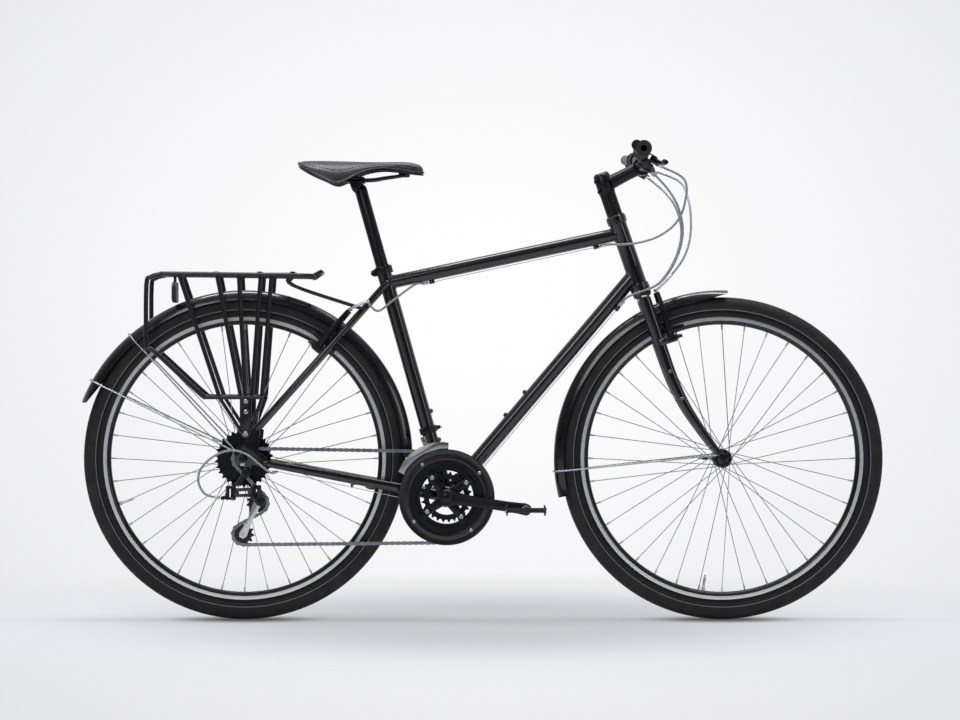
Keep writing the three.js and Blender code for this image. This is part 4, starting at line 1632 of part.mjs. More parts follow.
// Rear rack: welded tubes, with a flat deck, pannier sides, lower plates and front stays
const RACK_TUBE = 5;
const RACK_SIDE = 62;
const RACK_LOW_SIDE = 77;
const RACK_REAR = 206; // behind the axle
const RACK_FRONT = 127; // ahead of the axle
const RACK_TIP = 165;
const rackTop = RACK_HEIGHT - RACK_TUBE;
const RACK_FOOT = rearAxle.clone().add(at(6, 0, 54));
function rackPoint(fromAxle, side, height) {
  return at(rearAxle.x + fromAxle, side, height);
}
const DECK_BARS = [-150, -58, 35];
function makeRack() {
  const hookDrop = 168;
  const lowLevel = rearAxle.z + 132;
  const corner = 16;
  const outerLoop = [
    rackPoint(RACK_TIP, RACK_SIDE * 0.8, rackTop + 4),
    rackPoint(RACK_FRONT + 18, RACK_SIDE * 0.95, rackTop - 6),
    rackPoint(RACK_FRONT, RACK_SIDE, rackTop - 4),
    rackPoint(-RACK_REAR + 2.5 * corner, RACK_SIDE, rackTop),
    rackPoint(-RACK_REAR + corner * 0.6, RACK_SIDE, rackTop - corner * 0.4),
    rackPoint(-RACK_REAR, RACK_SIDE + 1, rackTop - 1.6 * corner),
    rackPoint(-RACK_REAR, RACK_SIDE + 6, rackTop - hookDrop + corner),
    rackPoint(-RACK_REAR + corner, RACK_SIDE + 7, rackTop - hookDrop),
    rackPoint(-92, RACK_LOW_SIDE - 3, lowLevel),
    rackPoint(44, RACK_LOW_SIDE, lowLevel),
  ];
  const loop = tube(outerLoop, outerLoop.map(() => RACK_TUBE), 5);
  const struts = [
    [-137, -50, 134],
    [-56, -4, 134],
    [-9, 6, 134],
    [38, 20, 134],
    [61, 41, 134],
  ].map(([top, low, up]) =>
    rod(rackPoint(top, RACK_SIDE, rackTop), rackPoint(low, RACK_LOW_SIDE, rearAxle.z + up), RACK_TUBE * 0.8, 5),
  );
  const legs = [
    rod(rackPoint(-50, RACK_LOW_SIDE, lowLevel), rackPoint(0, RACK_LOW_SIDE, RACK_FOOT.z), RACK_TUBE * 0.8, 5),
    rod(rackPoint(42, RACK_LOW_SIDE, lowLevel), rackPoint(14, RACK_LOW_SIDE, RACK_FOOT.z), RACK_TUBE * 0.8, 5),
  ];
  const plateHalf = 2;
  const lowPlate = plate(
    [
      [rearAxle.x - 6, lowLevel + 8], [rearAxle.x + 20, lowLevel + 8], [RACK_FOOT.x + 12, RACK_FOOT.z],
      [RACK_FOOT.x + 6, RACK_FOOT.z - 9], [RACK_FOOT.x - 6, RACK_FOOT.z - 9], [RACK_FOOT.x - 12, RACK_FOOT.z],
    ],
    RACK_LOW_SIDE - plateHalf,
    RACK_LOW_SIDE + plateHalf,
  );
  const bolt = bar(RACK_FOOT.x, RACK_FOOT.z, DROPOUT_OUTER + GAP, RACK_LOW_SIDE + 3 * plateHalf, 4, 6);
  const stayShare = 0.82;
  const stay = tube(
    [
      rackPoint(RACK_FRONT - 22, RACK_SIDE * 0.75, rackTop),
      rackPoint(RACK_FRONT - 22, RACK_SIDE * 0.75, rackTop - 24),
      SEAT_STAY_LOW.clone().lerp(SEAT_STAY_TOP, stayShare).add(
        at(0, staySide(stayShare) + STAY_RADIUS * Math.cos(Math.PI / 8) + RACK_TUBE * 0.7 + GAP, 0),
      ),
    ],
    [RACK_TUBE * 0.9, RACK_TUBE * 0.8, RACK_TUBE * 0.7],
    5,
  );
  const side = join(loop, struts, legs, lowPlate, bolt, stay);
  const deckHalf = RACK_SIDE;
  const crossbars = [...DECK_BARS, RACK_FRONT - 22].map((x) =>
    block(rearAxle.x + x, 0, rackTop + RACK_TUBE / 4, RACK_TUBE * 2, deckHalf * 2, RACK_TUBE * 1.5),
  );
  const rails = rod(rackPoint(-RACK_REAR + 2 * corner, 0, rackTop), rackPoint(RACK_FRONT - 18, 0, rackTop), RACK_TUBE * 0.8, 4);
  const tip = rod(
    rackPoint(RACK_TIP, -RACK_SIDE * 0.8, rackTop + 4),
    rackPoint(RACK_TIP, RACK_SIDE * 0.8, rackTop + 4),
    RACK_TUBE,
    5,
  );
  const tail = rod(
    rackPoint(-RACK_REAR + 2 * corner, -RACK_SIDE, rackTop),
    rackPoint(-RACK_REAR + 2 * corner, RACK_SIDE, rackTop),
    RACK_TUBE * 0.8,
    4,
  );
  return join(bothSides(side), crossbars, rails, tip, tail);
}
add(meshes, "rear_rack", makeRack(), finishes.paint);
function makeReflector() {
  const width = 82;
  const height = 44;
  const depth = 9;
  const below = 12;
  const x = rearAxle.x + DECK_BARS[0];
  const top = rackTop - RACK_TUBE - below;
  const half = width / 2;
  const chamfer = 8;
  const face = [
    [-half, -height + chamfer], [-half + chamfer, -height], [half - chamfer, -height], [half, -height + chamfer],
    [half, -chamfer], [half - chamfer, 0], [-half + chamfer, 0], [-half, -chamfer],
  ];
  const lens = moved(
    plate(face, 0, depth),
    new THREE.Matrix4().makeRotationZ(Math.PI / 2).setPosition(at(x + depth / 2, 0, top)),
  );
  const bracketTop = rackTop - RACK_TUBE * 0.6 - GAP;
  const bracket = block(x, 0, (top + bracketTop) / 2, RACK_TUBE, width / 4, bracketTop - top);
  return join(lens, bracket);
}
add(meshes, "rear_reflector", makeReflector(), finishes.reflector);

// Seat post, rails and saddle
const POST_TOP = SEAT_TUBE_LENGTH + SEAT_POST_OUT;
const RAIL_RADIUS = 3.5;
const RAIL_SIDE = 22;
const SETBACK = 10;
const railPlace = (x, side, z) => onSeatTube(0, 0, POST_TOP).add(at(x - SETBACK, side, z));
const RAIL_HEIGHT = 19; // of the clamped rails above the post's top
function makeSeatPost() {
  const inserted = 150;
  const headRadius = 12;
  const clampLength = 40;
  const clampHalfWidth = 28;
  const clampHeight = 13;
  const shaft = rod(onSeatTube(0, 0, SEAT_TUBE_LENGTH - inserted), onSeatTube(0, 0, POST_TOP - 2), SEAT_POST_RADIUS, 12);
  const neck = tube(
    [onSeatTube(0, 0, POST_TOP - 14), railPlace(4, 0, -2), railPlace(0, 0, RAIL_HEIGHT - 6)],
    [[SEAT_POST_RADIUS, SEAT_POST_RADIUS], [headRadius, headRadius], [headRadius, headRadius]],
    6,
  );
  const cradle = block(...railPlace(0, 0, RAIL_HEIGHT).toArray(), clampLength, clampHalfWidth * 2, clampHeight);
  const bolts = [-1, 1].map((end) =>
    rod(railPlace((end * clampLength) / 3.4, 0, RAIL_HEIGHT - 12), railPlace((end * clampLength) / 3.4, 0, RAIL_HEIGHT + 9), 3.2, 6),
  );
  const grooves = [-RAIL_SIDE, RAIL_SIDE].map((side) =>
    spaceAround(railPlace(-clampLength, side, RAIL_HEIGHT), railPlace(clampLength, side, RAIL_HEIGHT), RAIL_RADIUS),
  );
  return cut(join(shaft, neck, cradle, bolts), grooves);
}
add(meshes, "seat_post", makeSeatPost(), finishes.blackAlloy);
const SADDLE_LENGTH = 268;
const SADDLE_HALF_WIDTH = 82;
const SADDLE_TAIL = 122; // behind the clamp
const SADDLE_TOP = 60; // above the post's top
const saddleStations = [
  // shares: along from tail to nose, half width, top drop and underside drop in depths
  [0, 0.5, 0.16, 0.4], [0.035, 0.8, 0.06, 0.62], [0.12, 0.98, 0, 0.86], [0.24, 1, 0.01, 1.02], [0.36, 0.82, 0.03, 0.92],
  [0.48, 0.56, 0.05, 0.66], [0.6, 0.38, 0.05, 0.5], [0.74, 0.3, 0.02, 0.44], [0.88, 0.26, 0, 0.5], [0.96, 0.2, 0.03, 0.5],
  [1, 0.1, 0.14, 0.38],
];
const SADDLE_DEPTH = 52;
const saddleSection = [
  // shares across and down of a section, from the top middle round to the underside middle
  [0, 0.06], [0.4, 0], [0.75, 0.1], [0.96, 0.4], [1, 0.75], [0.92, 1], [0.7, 0.9], [0.3, 0.62], [0, 0.56],
];
function makeSaddle() {
  const place = railPlace(0, 0, 0);
  const rings = saddleStations.map(([along, wide, drop, under]) => {
    const x = place.x - SADDLE_TAIL + along * SADDLE_LENGTH;
    const top = place.z + SADDLE_TOP - drop * SADDLE_DEPTH;
    const depth = (under - drop) * SADDLE_DEPTH;
    const right = saddleSection.map(([across, down]) => at(x, -across * wide * SADDLE_HALF_WIDTH, top - down * depth));
    const left = saddleSection.slice(1, -1).reverse().map(([across, down]) => at(x, across * wide * SADDLE_HALF_WIDTH, top - down * depth));
    return [...right, ...left];
  });
  return loft(rings);
}
const saddleSolid = makeSaddle();
add(meshes, "saddle", saddleSolid, finishes.rubber);
const railShares = [
  // shares of the saddle's length, the clamped rails' side distance and their height
  [-0.32, 1.64, 2.16], [-0.224, 1.27, 1.16], [-0.134, 1, 1], [0.12, 1, 1], [0.224, 0.82, 1.21], [0.358, 0.5, 1.47],
  [0.396, 0.2, 1.53],
];
function makeSaddleRails() {
  const half = railShares.map(([along, side, height]) =>
    railPlace(along * SADDLE_LENGTH, side * RAIL_SIDE, height * RAIL_HEIGHT),
  );
  const points = [...half, ...half.slice().reverse().map((point) => point.clone().setY(2 * rearAxle.y - point.y))];
  const rails = tube(points, points.map(() => RAIL_RADIUS), 6);
  return cut(rails, shifted(saddleSolid, 0, 0, -GAP));
}
add(meshes, "saddle_rails", makeSaddleRails(), finishes.steel);

// Cables. Each route is a list of hand-placed points: housing from a lever to a stop, then bare wire along a tube.
const housing = (points, steps) => wire(points, HOUSING_RADIUS, 5, steps);
const bareWire = (points) => tube(points, points.map(() => WIRE_RADIUS), 4);
const inSteering = (place) => {
  const from = place.clone().sub(crownRace);
  return at(from.dot(steeringForward), place.y, from.dot(steeringUp));
};
const toFrame = (local) => onSteering(local.x, local.y, local.z);
const adjusterEnd = fromBar(ADJUSTER_SIDE, LEVER_PIVOT_OUT + 8, 0).setY(ADJUSTER_SIDE - 8 * GAP);
const podEnd = fromBar(THUMB_PIVOT_SIDE - 12, POD_OUT * 1.2, -POD_BELOW * 0.8).setY(THUMB_PIVOT_SIDE - 12 - 2 * GAP);
const otherSide = (point) => at(point.x, -point.y, point.z);
const ABOVE_ARM = HOUSING_RADIUS + 2.5;
const CABLE_REACH = 160; // how far the cable loops stand ahead of the steering axis
const looped = (forward, side, up) => at(forward * CABLE_REACH, side * CABLE_REACH, up * CABLE_REACH);
const NOODLE_SIDE = 58;

function makeFrontBrakeCable() {
  const armTop = frontPostFoot.clone().add(at(FRONT_POST_BASE + ARM_BASE_LENGTH * 0.55 + 2, 0, ARM_TOP + ABOVE_ARM));
  const route = [
    adjusterEnd,
    looped(1, 0.55, 1.2812),
    looped(1.025, 0.3125, 1.0312),
    looped(0.9563, 0.1, 0.7375),
    looped(0.8313, -0.075, 0.4625),
    looped(0.65, -0.2375, 0.25),
    at(62, -NOODLE_SIDE, 12),
    armTop.clone().setY(-NOODLE_SIDE * 0.86),
    armTop.clone().setY(-NOODLE_SIDE * 0.5),
  ];
  const across = rod(armTop.clone().setY(-NOODLE_SIDE / 2), armTop.clone().setY(BRAKE_POST_SIDE), WIRE_RADIUS, 6);
  return join(housing(route, 20), across);
}
add(steering, "front_brake_cable", makeFrontBrakeCable(), finishes.housing);

function makeRearBrakeCable() {
  const stopEnd = CABLE_STOP_LENGTH / 2 + 4 * GAP;
  const [low, high] = TOP_STOPS_ALONG;
  const onWire = (along) => onTopTube(along, 0, -TOP_WIRE_BELOW);
  const armTop = rearPostFoot
    .clone()
    .addScaledVector(seatStayOutward, BRAKE_POST_BASE + ARM_BASE_LENGTH * 0.55 + 2)
    .addScaledVector(seatStayDirection, ARM_TOP + ABOVE_ARM);
  const front = [
    otherSide(adjusterEnd),
    looped(1, -0.55, 1.25),
    looped(0.9125, -0.3875, 0.95),
    looped(0.7125, -0.2875, 0.7375),
    looped(0.4125, -0.2375, 0.65),
    looped(0.0875, -0.1938, 0.675),
  ].map((point) => toFrame(point));
  front.push(onWire(high + stopEnd + 20).add(at(0, -9, 0)), onWire(high + stopEnd));
  const back = [
    onWire(low - stopEnd),
    onWire(low - stopEnd - 8),
    onWire(low - stopEnd - 30).add(at(0, -12, 2)),
    onSeatTube(4, -24, SEAT_TUBE_LENGTH - 78),
    onSeatTube(-34, -34, SEAT_TUBE_LENGTH - 92),
    armTop.clone().add(at(36, -NOODLE_SIDE - 2, 16)),
    armTop.clone().setY(-NOODLE_SIDE * 0.9),
    armTop.clone().setY(-NOODLE_SIDE * 0.5),
  ];
  const across = rod(armTop.clone().setY(-NOODLE_SIDE / 2), armTop.clone().setY(BRAKE_POST_SIDE), WIRE_RADIUS, 6);
  const alongTube = bareWire([onWire(low - stopEnd - 1), onWire(high + stopEnd + 1)]);
  return join(housing(front, 18), housing(back, 16), across, alongTube);
}
add(meshes, "rear_brake_cable", makeRearBrakeCable(), finishes.housing);

// The stretch of a gear cable from its pod to the upper stop on the down tube, mirrored by its side
function shiftHousing(side) {
  const [, high] = DOWN_STOPS_ALONG;
  const stopEnd = CABLE_STOP_LENGTH / 2 + 4 * GAP;
  const end = onDownTube(high + stopEnd, WIRE_SIDE, -DOWN_WIRE_BELOW);
  const points = [
    podEnd,
    looped(0.7, 0.3875, 1.1625),
    looped(0.7125, 0.225, 0.875),
    looped(0.6625, 0.1688, 0.5625),
    looped(0.4875, 0.175, 0.2625),
    looped(0.225, 0.2062, 0.05),
  ].map(toFrame);
  points.push(end.clone().addScaledVector(downTubeDirection, 30).add(at(0, 13, -2)), end);
  const placed = points.map((point) => at(point.x, side * point.y, point.z));
  return housing(placed, 16);
}
const underShell = (angle, side) => around(bottomBracket, BOTTOM_BRACKET_RADIUS + 3 * WIRE_RADIUS, angle, side);
function downTubeWire(side) {
  const [, high] = DOWN_STOPS_ALONG;
  return [
    onDownTube(high + CABLE_STOP_LENGTH, side * WIRE_SIDE, -DOWN_WIRE_BELOW),
    onDownTube(DOWN_STOPS_ALONG[0] - CABLE_STOP_LENGTH, side * WIRE_SIDE, -DOWN_WIRE_BELOW),
    underShell(degrees(-62), side * WIRE_SIDE),
    underShell(degrees(-100), side * WIRE_SIDE),
  ];
}
function makeFrontShiftCable() {
  const points = [
    ...downTubeWire(1),
    underShell(degrees(-140), WIRE_SIDE * 0.6),
    underShell(degrees(-178), -WIRE_SIDE * 0.4),
    onSeatTube(-10, -24, FRONT_CLAMP_ALONG - 12),
  ];
  return join(shiftHousing(1), bareWire(points));
}
add(meshes, "front_shift_cable", makeFrontShiftCable(), finishes.housing);
const REAR_STOP_SHARE = 0.83; // along the chain stay
function makeRearShiftCable() {
  const stopAt = bottomBracket.clone().lerp(rearAxle, REAR_STOP_SHARE).add(at(0, -61, -13));
  const side = -DROPOUT_OUTER - 12;
  const route = [
    stopAt,
    stopAt.clone().add(at(-14, -12, -2)),
    rearAxle.clone().add(at(34, side, -9)),
    rearAxle.clone().add(at(10, side, 10)),
    rearAxle.clone().add(at(-22, side, 19)),
    rearAxle.clone().add(at(-56, side, 9)),
    rearAxle.clone().add(at(-86, side, -17)),
    rearAxle.clone().add(at(-94, side + 2, -46)),
    rearAxle.clone().add(at(-80, side + 4, -74)),
    derailleurBarrelTip.clone().add(at(-GAP * 6, 0, 0)),
  ];
  const points = [...downTubeWire(-1), stopAt.clone().add(at(2, 0, 0)), stopAt.clone().add(at(-3, -2, 0))];
  return join(shiftHousing(-1), bareWire(points), housing(route, 18));
}
add(meshes, "rear_shift_cable", makeRearShiftCable(), finishes.housing);

// The whole bicycle, moved so that its outline stands on the origin
const bicycle = new THREE.Group();
bicycle.add(meshes);
const outline = new THREE.Box3().setFromObject(bicycle, true);
meshes.position.set(-(outline.min.x + outline.max.x) / 2, 0, -outline.min.z);
bicycle.updateMatrixWorld(true);

export default bicycle;
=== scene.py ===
"""Touring bicycle: the dressed model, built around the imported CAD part.

Lengths in this file are millimetres in the row frame. The bench functions turn them to metres.
"""

import logging
import math
from collections.abc import Callable, Iterator, Sequence
from contextlib import contextmanager
from dataclasses import dataclass
from enum import Enum

import bpy
from mathutils import Matrix, Vector

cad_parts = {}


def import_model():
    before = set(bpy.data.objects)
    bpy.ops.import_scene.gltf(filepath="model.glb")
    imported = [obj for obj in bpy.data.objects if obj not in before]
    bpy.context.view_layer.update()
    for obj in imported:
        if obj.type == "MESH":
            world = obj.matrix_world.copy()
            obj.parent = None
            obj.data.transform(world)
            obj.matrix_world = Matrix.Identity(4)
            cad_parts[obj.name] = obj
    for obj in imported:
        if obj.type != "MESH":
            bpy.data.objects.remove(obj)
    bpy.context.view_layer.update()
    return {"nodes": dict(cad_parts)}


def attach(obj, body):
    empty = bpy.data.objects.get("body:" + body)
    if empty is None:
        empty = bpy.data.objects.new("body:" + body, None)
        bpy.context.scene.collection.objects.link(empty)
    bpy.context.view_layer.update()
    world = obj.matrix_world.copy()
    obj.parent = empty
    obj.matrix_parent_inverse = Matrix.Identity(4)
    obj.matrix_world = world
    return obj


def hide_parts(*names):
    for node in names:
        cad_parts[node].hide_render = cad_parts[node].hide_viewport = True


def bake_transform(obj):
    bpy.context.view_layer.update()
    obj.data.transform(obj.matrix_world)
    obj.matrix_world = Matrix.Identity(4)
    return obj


log = logging.getLogger("touring_bicycle")
MM = 0.001
# Points nearer to each other than this are one, in metres
MERGE = 1e-6
FULL_TURN = 2 * math.pi
Place = Vector | Sequence[float]


# Finishes


def linear(colour: str) -> tuple[float, float, float, float]:
    """Turns an sRGB hex colour to the linear colour that a shader takes.

    Args:
        colour: Six hex digits after a hash.

    Returns:
        Red, green, blue and alpha.
    """
    shares = [int(colour[i : i + 2], 16) / 255 for i in (1, 3, 5)]
    red, green, blue = (s / 12.92 if s <= 0.04045 else ((s + 0.055) / 1.055) ** 2.4 for s in shares)
    return red, green, blue, 1.0


def add_node(
    tree: bpy.types.NodeTree, kind: str, settings: dict | None = None, inputs: dict | None = None
) -> bpy.types.Node:
    """Adds a node with its settings and what goes into it.

    Args:
        tree: The node tree of a material or the world.
        kind: Blender's name of the node.
        settings: Properties of the node by name.
        inputs: For each input, by name or number, a plain value or the socket that feeds it.

    Returns:
        The new node.
    """
    node = tree.nodes.new(kind)
    for name, value in (settings or {}).items():
        setattr(node, name, value)
    for name, value in (inputs or {}).items():
        if isinstance(value, bpy.types.NodeSocket):
            tree.links.new(value, node.inputs[name])
        else:
            node.inputs[name].default_value = value
    return node


class Grain(Enum):
    """How the surface of a finish was left, as a pattern of small heights."""

    NONE = "none"
    PEBBLED = "pebbled"
    ROLLED = "rolled"
    TURNED = "turned"


@dataclass(frozen=True)
class Finish:
    """One finish of the bicycle: a real material and how its surface was made."""

    name: str
    colour: str
    roughness: float
    metallic: float = 0.0
    coat: float = 0.0
    gloss: float = 0.5
    coat_roughness: float = 0.06
    grain: Grain = Grain.NONE
    grain_size: float = 1.0
    grain_height: float = 0.02
    smudge: float = 0.0
    soil: str = ""

    def material(self) -> bpy.types.Material:
        """Makes this finish's material, or finds it once it is made.

        Returns:
            The material.
        """
        made = bpy.data.materials.get(self.name)
        if made is not None:
            return made
        made = bpy.data.materials.new(self.name)
        made.use_nodes = True
        tree = made.node_tree
        shader = tree.nodes["Principled BSDF"]
        shader.inputs["Base Color"].default_value = linear(self.colour)
        shader.inputs["Metallic"].default_value = self.metallic
        shader.inputs["Roughness"].default_value = self.roughness
        shader.inputs["Coat Weight"].default_value = self.coat
        shader.inputs["Coat Roughness"].default_value = self.coat_roughness
        shader.inputs["Specular IOR Level"].default_value = self.gloss
        place = add_node(tree, "ShaderNodeTexCoord").outputs["Object"]
        if self.smudge:
            self._smudge(tree, shader, place)
        if self.soil:
            self._soil(tree, shader, place)
        if self.grain is not Grain.NONE:
            self._grain(tree, shader, place)
        return made

    def _smudge(self, tree: bpy.types.NodeTree, shader: bpy.types.Node, place: bpy.types.NodeSocket) -> None:
        """Varies the roughness in soft patches about 40 mm wide, as handling does.

        Args:
            tree: The material's node tree.
            shader: Its shader.
            place: The place on the piece.
        """
        noise = add_node(
            tree,
            "ShaderNodeTexNoise",
            inputs={"Vector": place, "Scale": 1 / (40 * MM), "Detail": 4.0},
        )
        low, high = max(0.02, self.roughness - self.smudge), self.roughness + self.smudge
        spread = add_node(
            tree,
            "ShaderNodeMapRange",
            inputs={
                "Value": noise.outputs["Fac"],
                "From Min": 0.3,
                "From Max": 0.7,
                "To Min": low,
                "To Max": high,
            },
        )
        tree.links.new(spread.outputs["Result"], shader.inputs["Roughness"])

    def _soil(self, tree: bpy.types.NodeTree, shader: bpy.types.Node, place: bpy.types.NodeSocket) -> None:
        """Lays a faint second colour in patches about 25 mm wide, as dust and handling do.

        Args:
            tree: The material's node tree.
            shader: Its shader.
            place: The place on the piece.
        """
        noise = add_node(
            tree,
            "ShaderNodeTexNoise",
            inputs={"Vector": place, "Scale": 1 / (25 * MM), "Detail": 6.0},
        )
        amount = add_node(
            tree,
            "ShaderNodeMapRange",
            inputs={
                "Value": noise.outputs["Fac"],
                "From Min": 0.45,
                "From Max": 0.8,
                "To Min": 0.0,
                "To Max": 0.6,
            },
        )
        mix = add_node(tree, "ShaderNodeMix", {"data_type": "RGBA"}, {"Factor": amount.outputs["Result"]})
        mix.inputs[6].default_value = linear(self.colour)
        mix.inputs[7].default_value = linear(self.soil)
        tree.links.new(mix.outputs[2], shader.inputs["Base Color"])

    def _grain(self, tree: bpy.types.NodeTree, shader: bpy.types.Node, place: bpy.types.NodeSocket) -> None:
        """Raises the finish's own grain: pebbled moulding, rolled rubber or turned rings.

        Args:
            tree: The material's node tree.
            shader: Its shader.
            place: The place on the piece.
        """
        scale = 1 / (self.grain_size * MM)
        if self.grain is Grain.PEBBLED:
            cells = add_node(
                tree,
                "ShaderNodeTexVoronoi",
                {"feature": "SMOOTH_F1"},
                {"Vector": place, "Scale": scale},
            )
            height = cells.outputs["Distance"]
        elif self.grain is Grain.ROLLED:
            noise = add_node(
                tree,
                "ShaderNodeTexNoise",
                inputs={"Vector": place, "Scale": scale, "Detail": 3.0},
            )
            height = noise.outputs["Fac"]
        else:
            stretch = add_node(tree, "ShaderNodeMapping", inputs={"Vector": place, "Scale": (1.0, 14.0, 1.0)})
            noise = add_node(
                tree,
                "ShaderNodeTexNoise",
                inputs={"Vector": stretch.outputs[0], "Scale": scale / 4, "Detail": 2.0},
            )
            height = noise.outputs["Fac"]
        bump = add_node(
            tree,
            "ShaderNodeBump",
            inputs={"Height": height, "Strength": 0.35, "Distance": self.grain_height * MM},
        )
        tree.links.new(bump.outputs["Normal"], shader.inputs["Normal"])

    def dress(self, piece: bpy.types.Object) -> None:
        """Gives a piece this finish all over."""
        piece.data.materials.clear()
        piece.data.materials.append(self.material())


# Gloss enamel under clear lacquer: near black, with a sharp reflection over a slight orange peel
FRAME_ENAMEL = Finish(
    "gloss_enamel", "#08080a", 0.3, coat=0.8, gloss=0.2, grain=Grain.ROLLED, grain_size=6, smudge=0.05
)
# Black anodised aluminium, bead blasted: a dark grey satin sheen
ANODISED_ALLOY = Finish(
    "anodised_aluminium",
    "#151517",
    0.34,
    metallic=0.6,
    grain=Grain.ROLLED,
    grain_size=0.8,
    grain_height=0.01,
    smudge=0.06,
)
# Bright anodised aluminium with the machining still to be seen
BRAKE_TRACK = Finish(
    "machined_aluminium", "#d3d4d6", 0.32, metallic=1.0, grain=Grain.TURNED, grain_size=0.8, grain_height=0.01
)
# Black anodised rim aluminium, smoother than blasted parts
RIM_BLACK = Finish("black_rim_aluminium", "#0e0e10", 0.32, metallic=0.4, coat=0.2, smudge=0.04)
# Stainless spoke wire, drawn bright
SPOKE_STEEL = Finish("drawn_stainless_steel", "#a4a6aa", 0.24, metallic=1.0)
# Nickel-plated chain plates with a film of oil
CHAIN_STEEL = Finish("oiled_chain_steel", "#8c8d90", 0.3, metallic=1.0, smudge=0.08, soil="#55565a")
# Black oxidised sprocket steel, worn grey on its teeth
SPROCKET_STEEL = Finish(
    "blackened_sprocket_steel", "#27282a", 0.36, metallic=1.0, smudge=0.08, soil="#1f2022"
)
# Bright zinc plate, slightly milky
ZINC_STEEL = Finish("zinc_plated_steel", "#b9bbbf", 0.3, metallic=1.0, smudge=0.05)
# Stainless steel cage plates, tumbled
CAGE_STEEL = Finish("tumbled_stainless_steel", "#b4b6ba", 0.27, metallic=1.0, smudge=0.04)
# Chromed steel of the front derailleur's cage, dulled by the chain
SHIFT_PLATE = Finish("chromed_cage_steel", "#8d8f93", 0.3, metallic=1.0, smudge=0.06)
# Wrought fastener steel, black oxide, oiled
BLACK_FASTENER = Finish("black_oxide_fasteners", "#232427", 0.38, metallic=0.9)
# Carbon-black tyre rubber, vulcanised in a satin mould
TYRE_RUBBER = Finish(
    "vulcanised_rubber",
    "#131314",
    0.72,
    gloss=0.35,
    grain=Grain.ROLLED,
    grain_size=1.6,
    grain_height=0.06,
    soil="#2b2a28",
)
# The woven reflective line on each sidewall, pale grey from the side
SIDEWALL_LINE = Finish("reflective_sidewall_band", "#5f6063", 0.5)
# Soft grip rubber with a matt bloom
GRIP_RUBBER = Finish("soft_grip_rubber", "#131315", 0.66, grain=Grain.PEBBLED, grain_height=0.05)
# The grip's centre band of a paler compound
GRIP_BAND = Finish("grey_grip_rubber", "#38393c", 0.6, grain=Grain.PEBBLED, grain_height=0.04)
# Glass-filled nylon, moulded with a fine spark-eroded texture
NYLON = Finish("moulded_nylon", "#111113", 0.48, gloss=0.4, grain=Grain.PEBBLED, grain_size=0.9)
# Polycarbonate fender sheet, thermoformed glossy
FENDER_SHEET = Finish("glossy_polycarbonate", "#0a0a0c", 0.22, gloss=0.4, coat=0.4, smudge=0.05)
# Polycarbonate chain guard, moulded with a satin face
GUARD_SHEET = Finish("satin_polycarbonate", "#0e0e10", 0.3, gloss=0.4, coat=0.2, smudge=0.05)
# Saddle cover: polyurethane-coated cloth, embossed with a leather grain
SADDLE_VINYL = Finish(
    "embossed_vinyl", "#18181a", 0.44, grain=Grain.PEBBLED, grain_size=1.5, grain_height=0.06, smudge=0.05
)
# Extruded cable housing, light grey
CABLE_JACKET = Finish("extruded_grey_jacket", "#85888b", 0.34)
# Powder-coated rack tube, satin black
RACK_POWDER = Finish(
    "satin_powder_coat",
    "#0c0c0e",
    0.36,
    coat=0.25,
    gloss=0.3,
    grain=Grain.ROLLED,
    grain_size=1.4,
    grain_height=0.03,
    smudge=0.04,
)
# Acrylic reflector lens, deep red, with a mirror-smooth face
REFLECTOR_RED = Finish("red_acrylic_lens", "#8c1216", 0.12, coat=1.0)
# Brake block rubber, dry and hard
PAD_RUBBER = Finish("brake_block_rubber", "#2a2a2b", 0.7)


# Places and ways


def metres(place: Place) -> Vector:
    """Returns a place in metres from one in millimetres."""
    return Vector(place) * MM


def aimed(angle: float) -> Vector:
    """Returns the way at an angle in the bicycle's plane, in radians from +X towards +Z."""
    return Vector((math.cos(angle), 0, math.sin(angle)))


def square(way: Vector) -> Vector:
    """Returns the way a quarter turn on from another one, in the bicycle's plane."""
    return Vector((-way.z, 0, way.x))


def aside(side: float) -> Vector:
    """Returns a step across the bicycle, to its left."""
    return Vector((0, side, 0))


def at_side(place: Vector, side: float) -> Vector:
    """Returns a place moved to a side distance."""
    return Vector((place.x, side, place.z))


def around(centre: Vector, radius: float, angle: float, side: float = 0.0) -> Vector:
    """Returns a place round an axle, at an angle in radians from +X towards +Z."""
    return centre + Vector((radius * math.cos(angle), side, radius * math.sin(angle)))


def way_of(line: tuple[Vector, Vector]) -> Vector:
    """Returns the way along a line, as a vector of length one."""
    return (line[1] - line[0]).normalized()


def share_beyond(start: Vector, end: Vector, centre: Vector, reach: float) -> float:
    """Finds where a line leaves the ball round a centre.

    Args:
        start: The line's first end, inside the ball.
        end: Its other end, outside it.
        centre: The ball's centre.
        reach: The ball's radius.

    Returns:
        The share of the line, to a step of 0.0005.
    """
    share = 0.0
    while (start.lerp(end, share) - centre).length < reach:
        share += 0.0005
    return share


def ring_section(
    bore: float, radius: float, start: float, end: float, edge: tuple[float, float]
) -> list[tuple[float, float]]:
    """Draws the closed section of a ring with its outer edges broken.

    Args:
        bore: The ring's inner radius.
        radius: Its outer radius.
        start: Where it starts along its axis.
        end: Where it ends.
        edge: How far the broken edges reach inwards and along the axis.

    Returns:
        Pairs of radius and place along the axis.
    """
    inwards, along = edge
    return [
        (bore, start), (radius - inwards, start), (radius, start + along), (radius, end - along),
        (radius - inwards, end), (bore, end), (bore, start),
    ]


# Bench: how pieces are made


def choose(*pieces: bpy.types.Object) -> None:
    """Selects only these pieces and makes the first one active."""
    if bpy.context.object is not None and bpy.context.object.mode != "OBJECT":
        bpy.ops.object.mode_set(mode="OBJECT")
    bpy.ops.object.select_all(action="DESELECT")
    for piece in pieces:
        piece.select_set(True)
    if pieces:
        bpy.context.view_layer.objects.active = pieces[0]


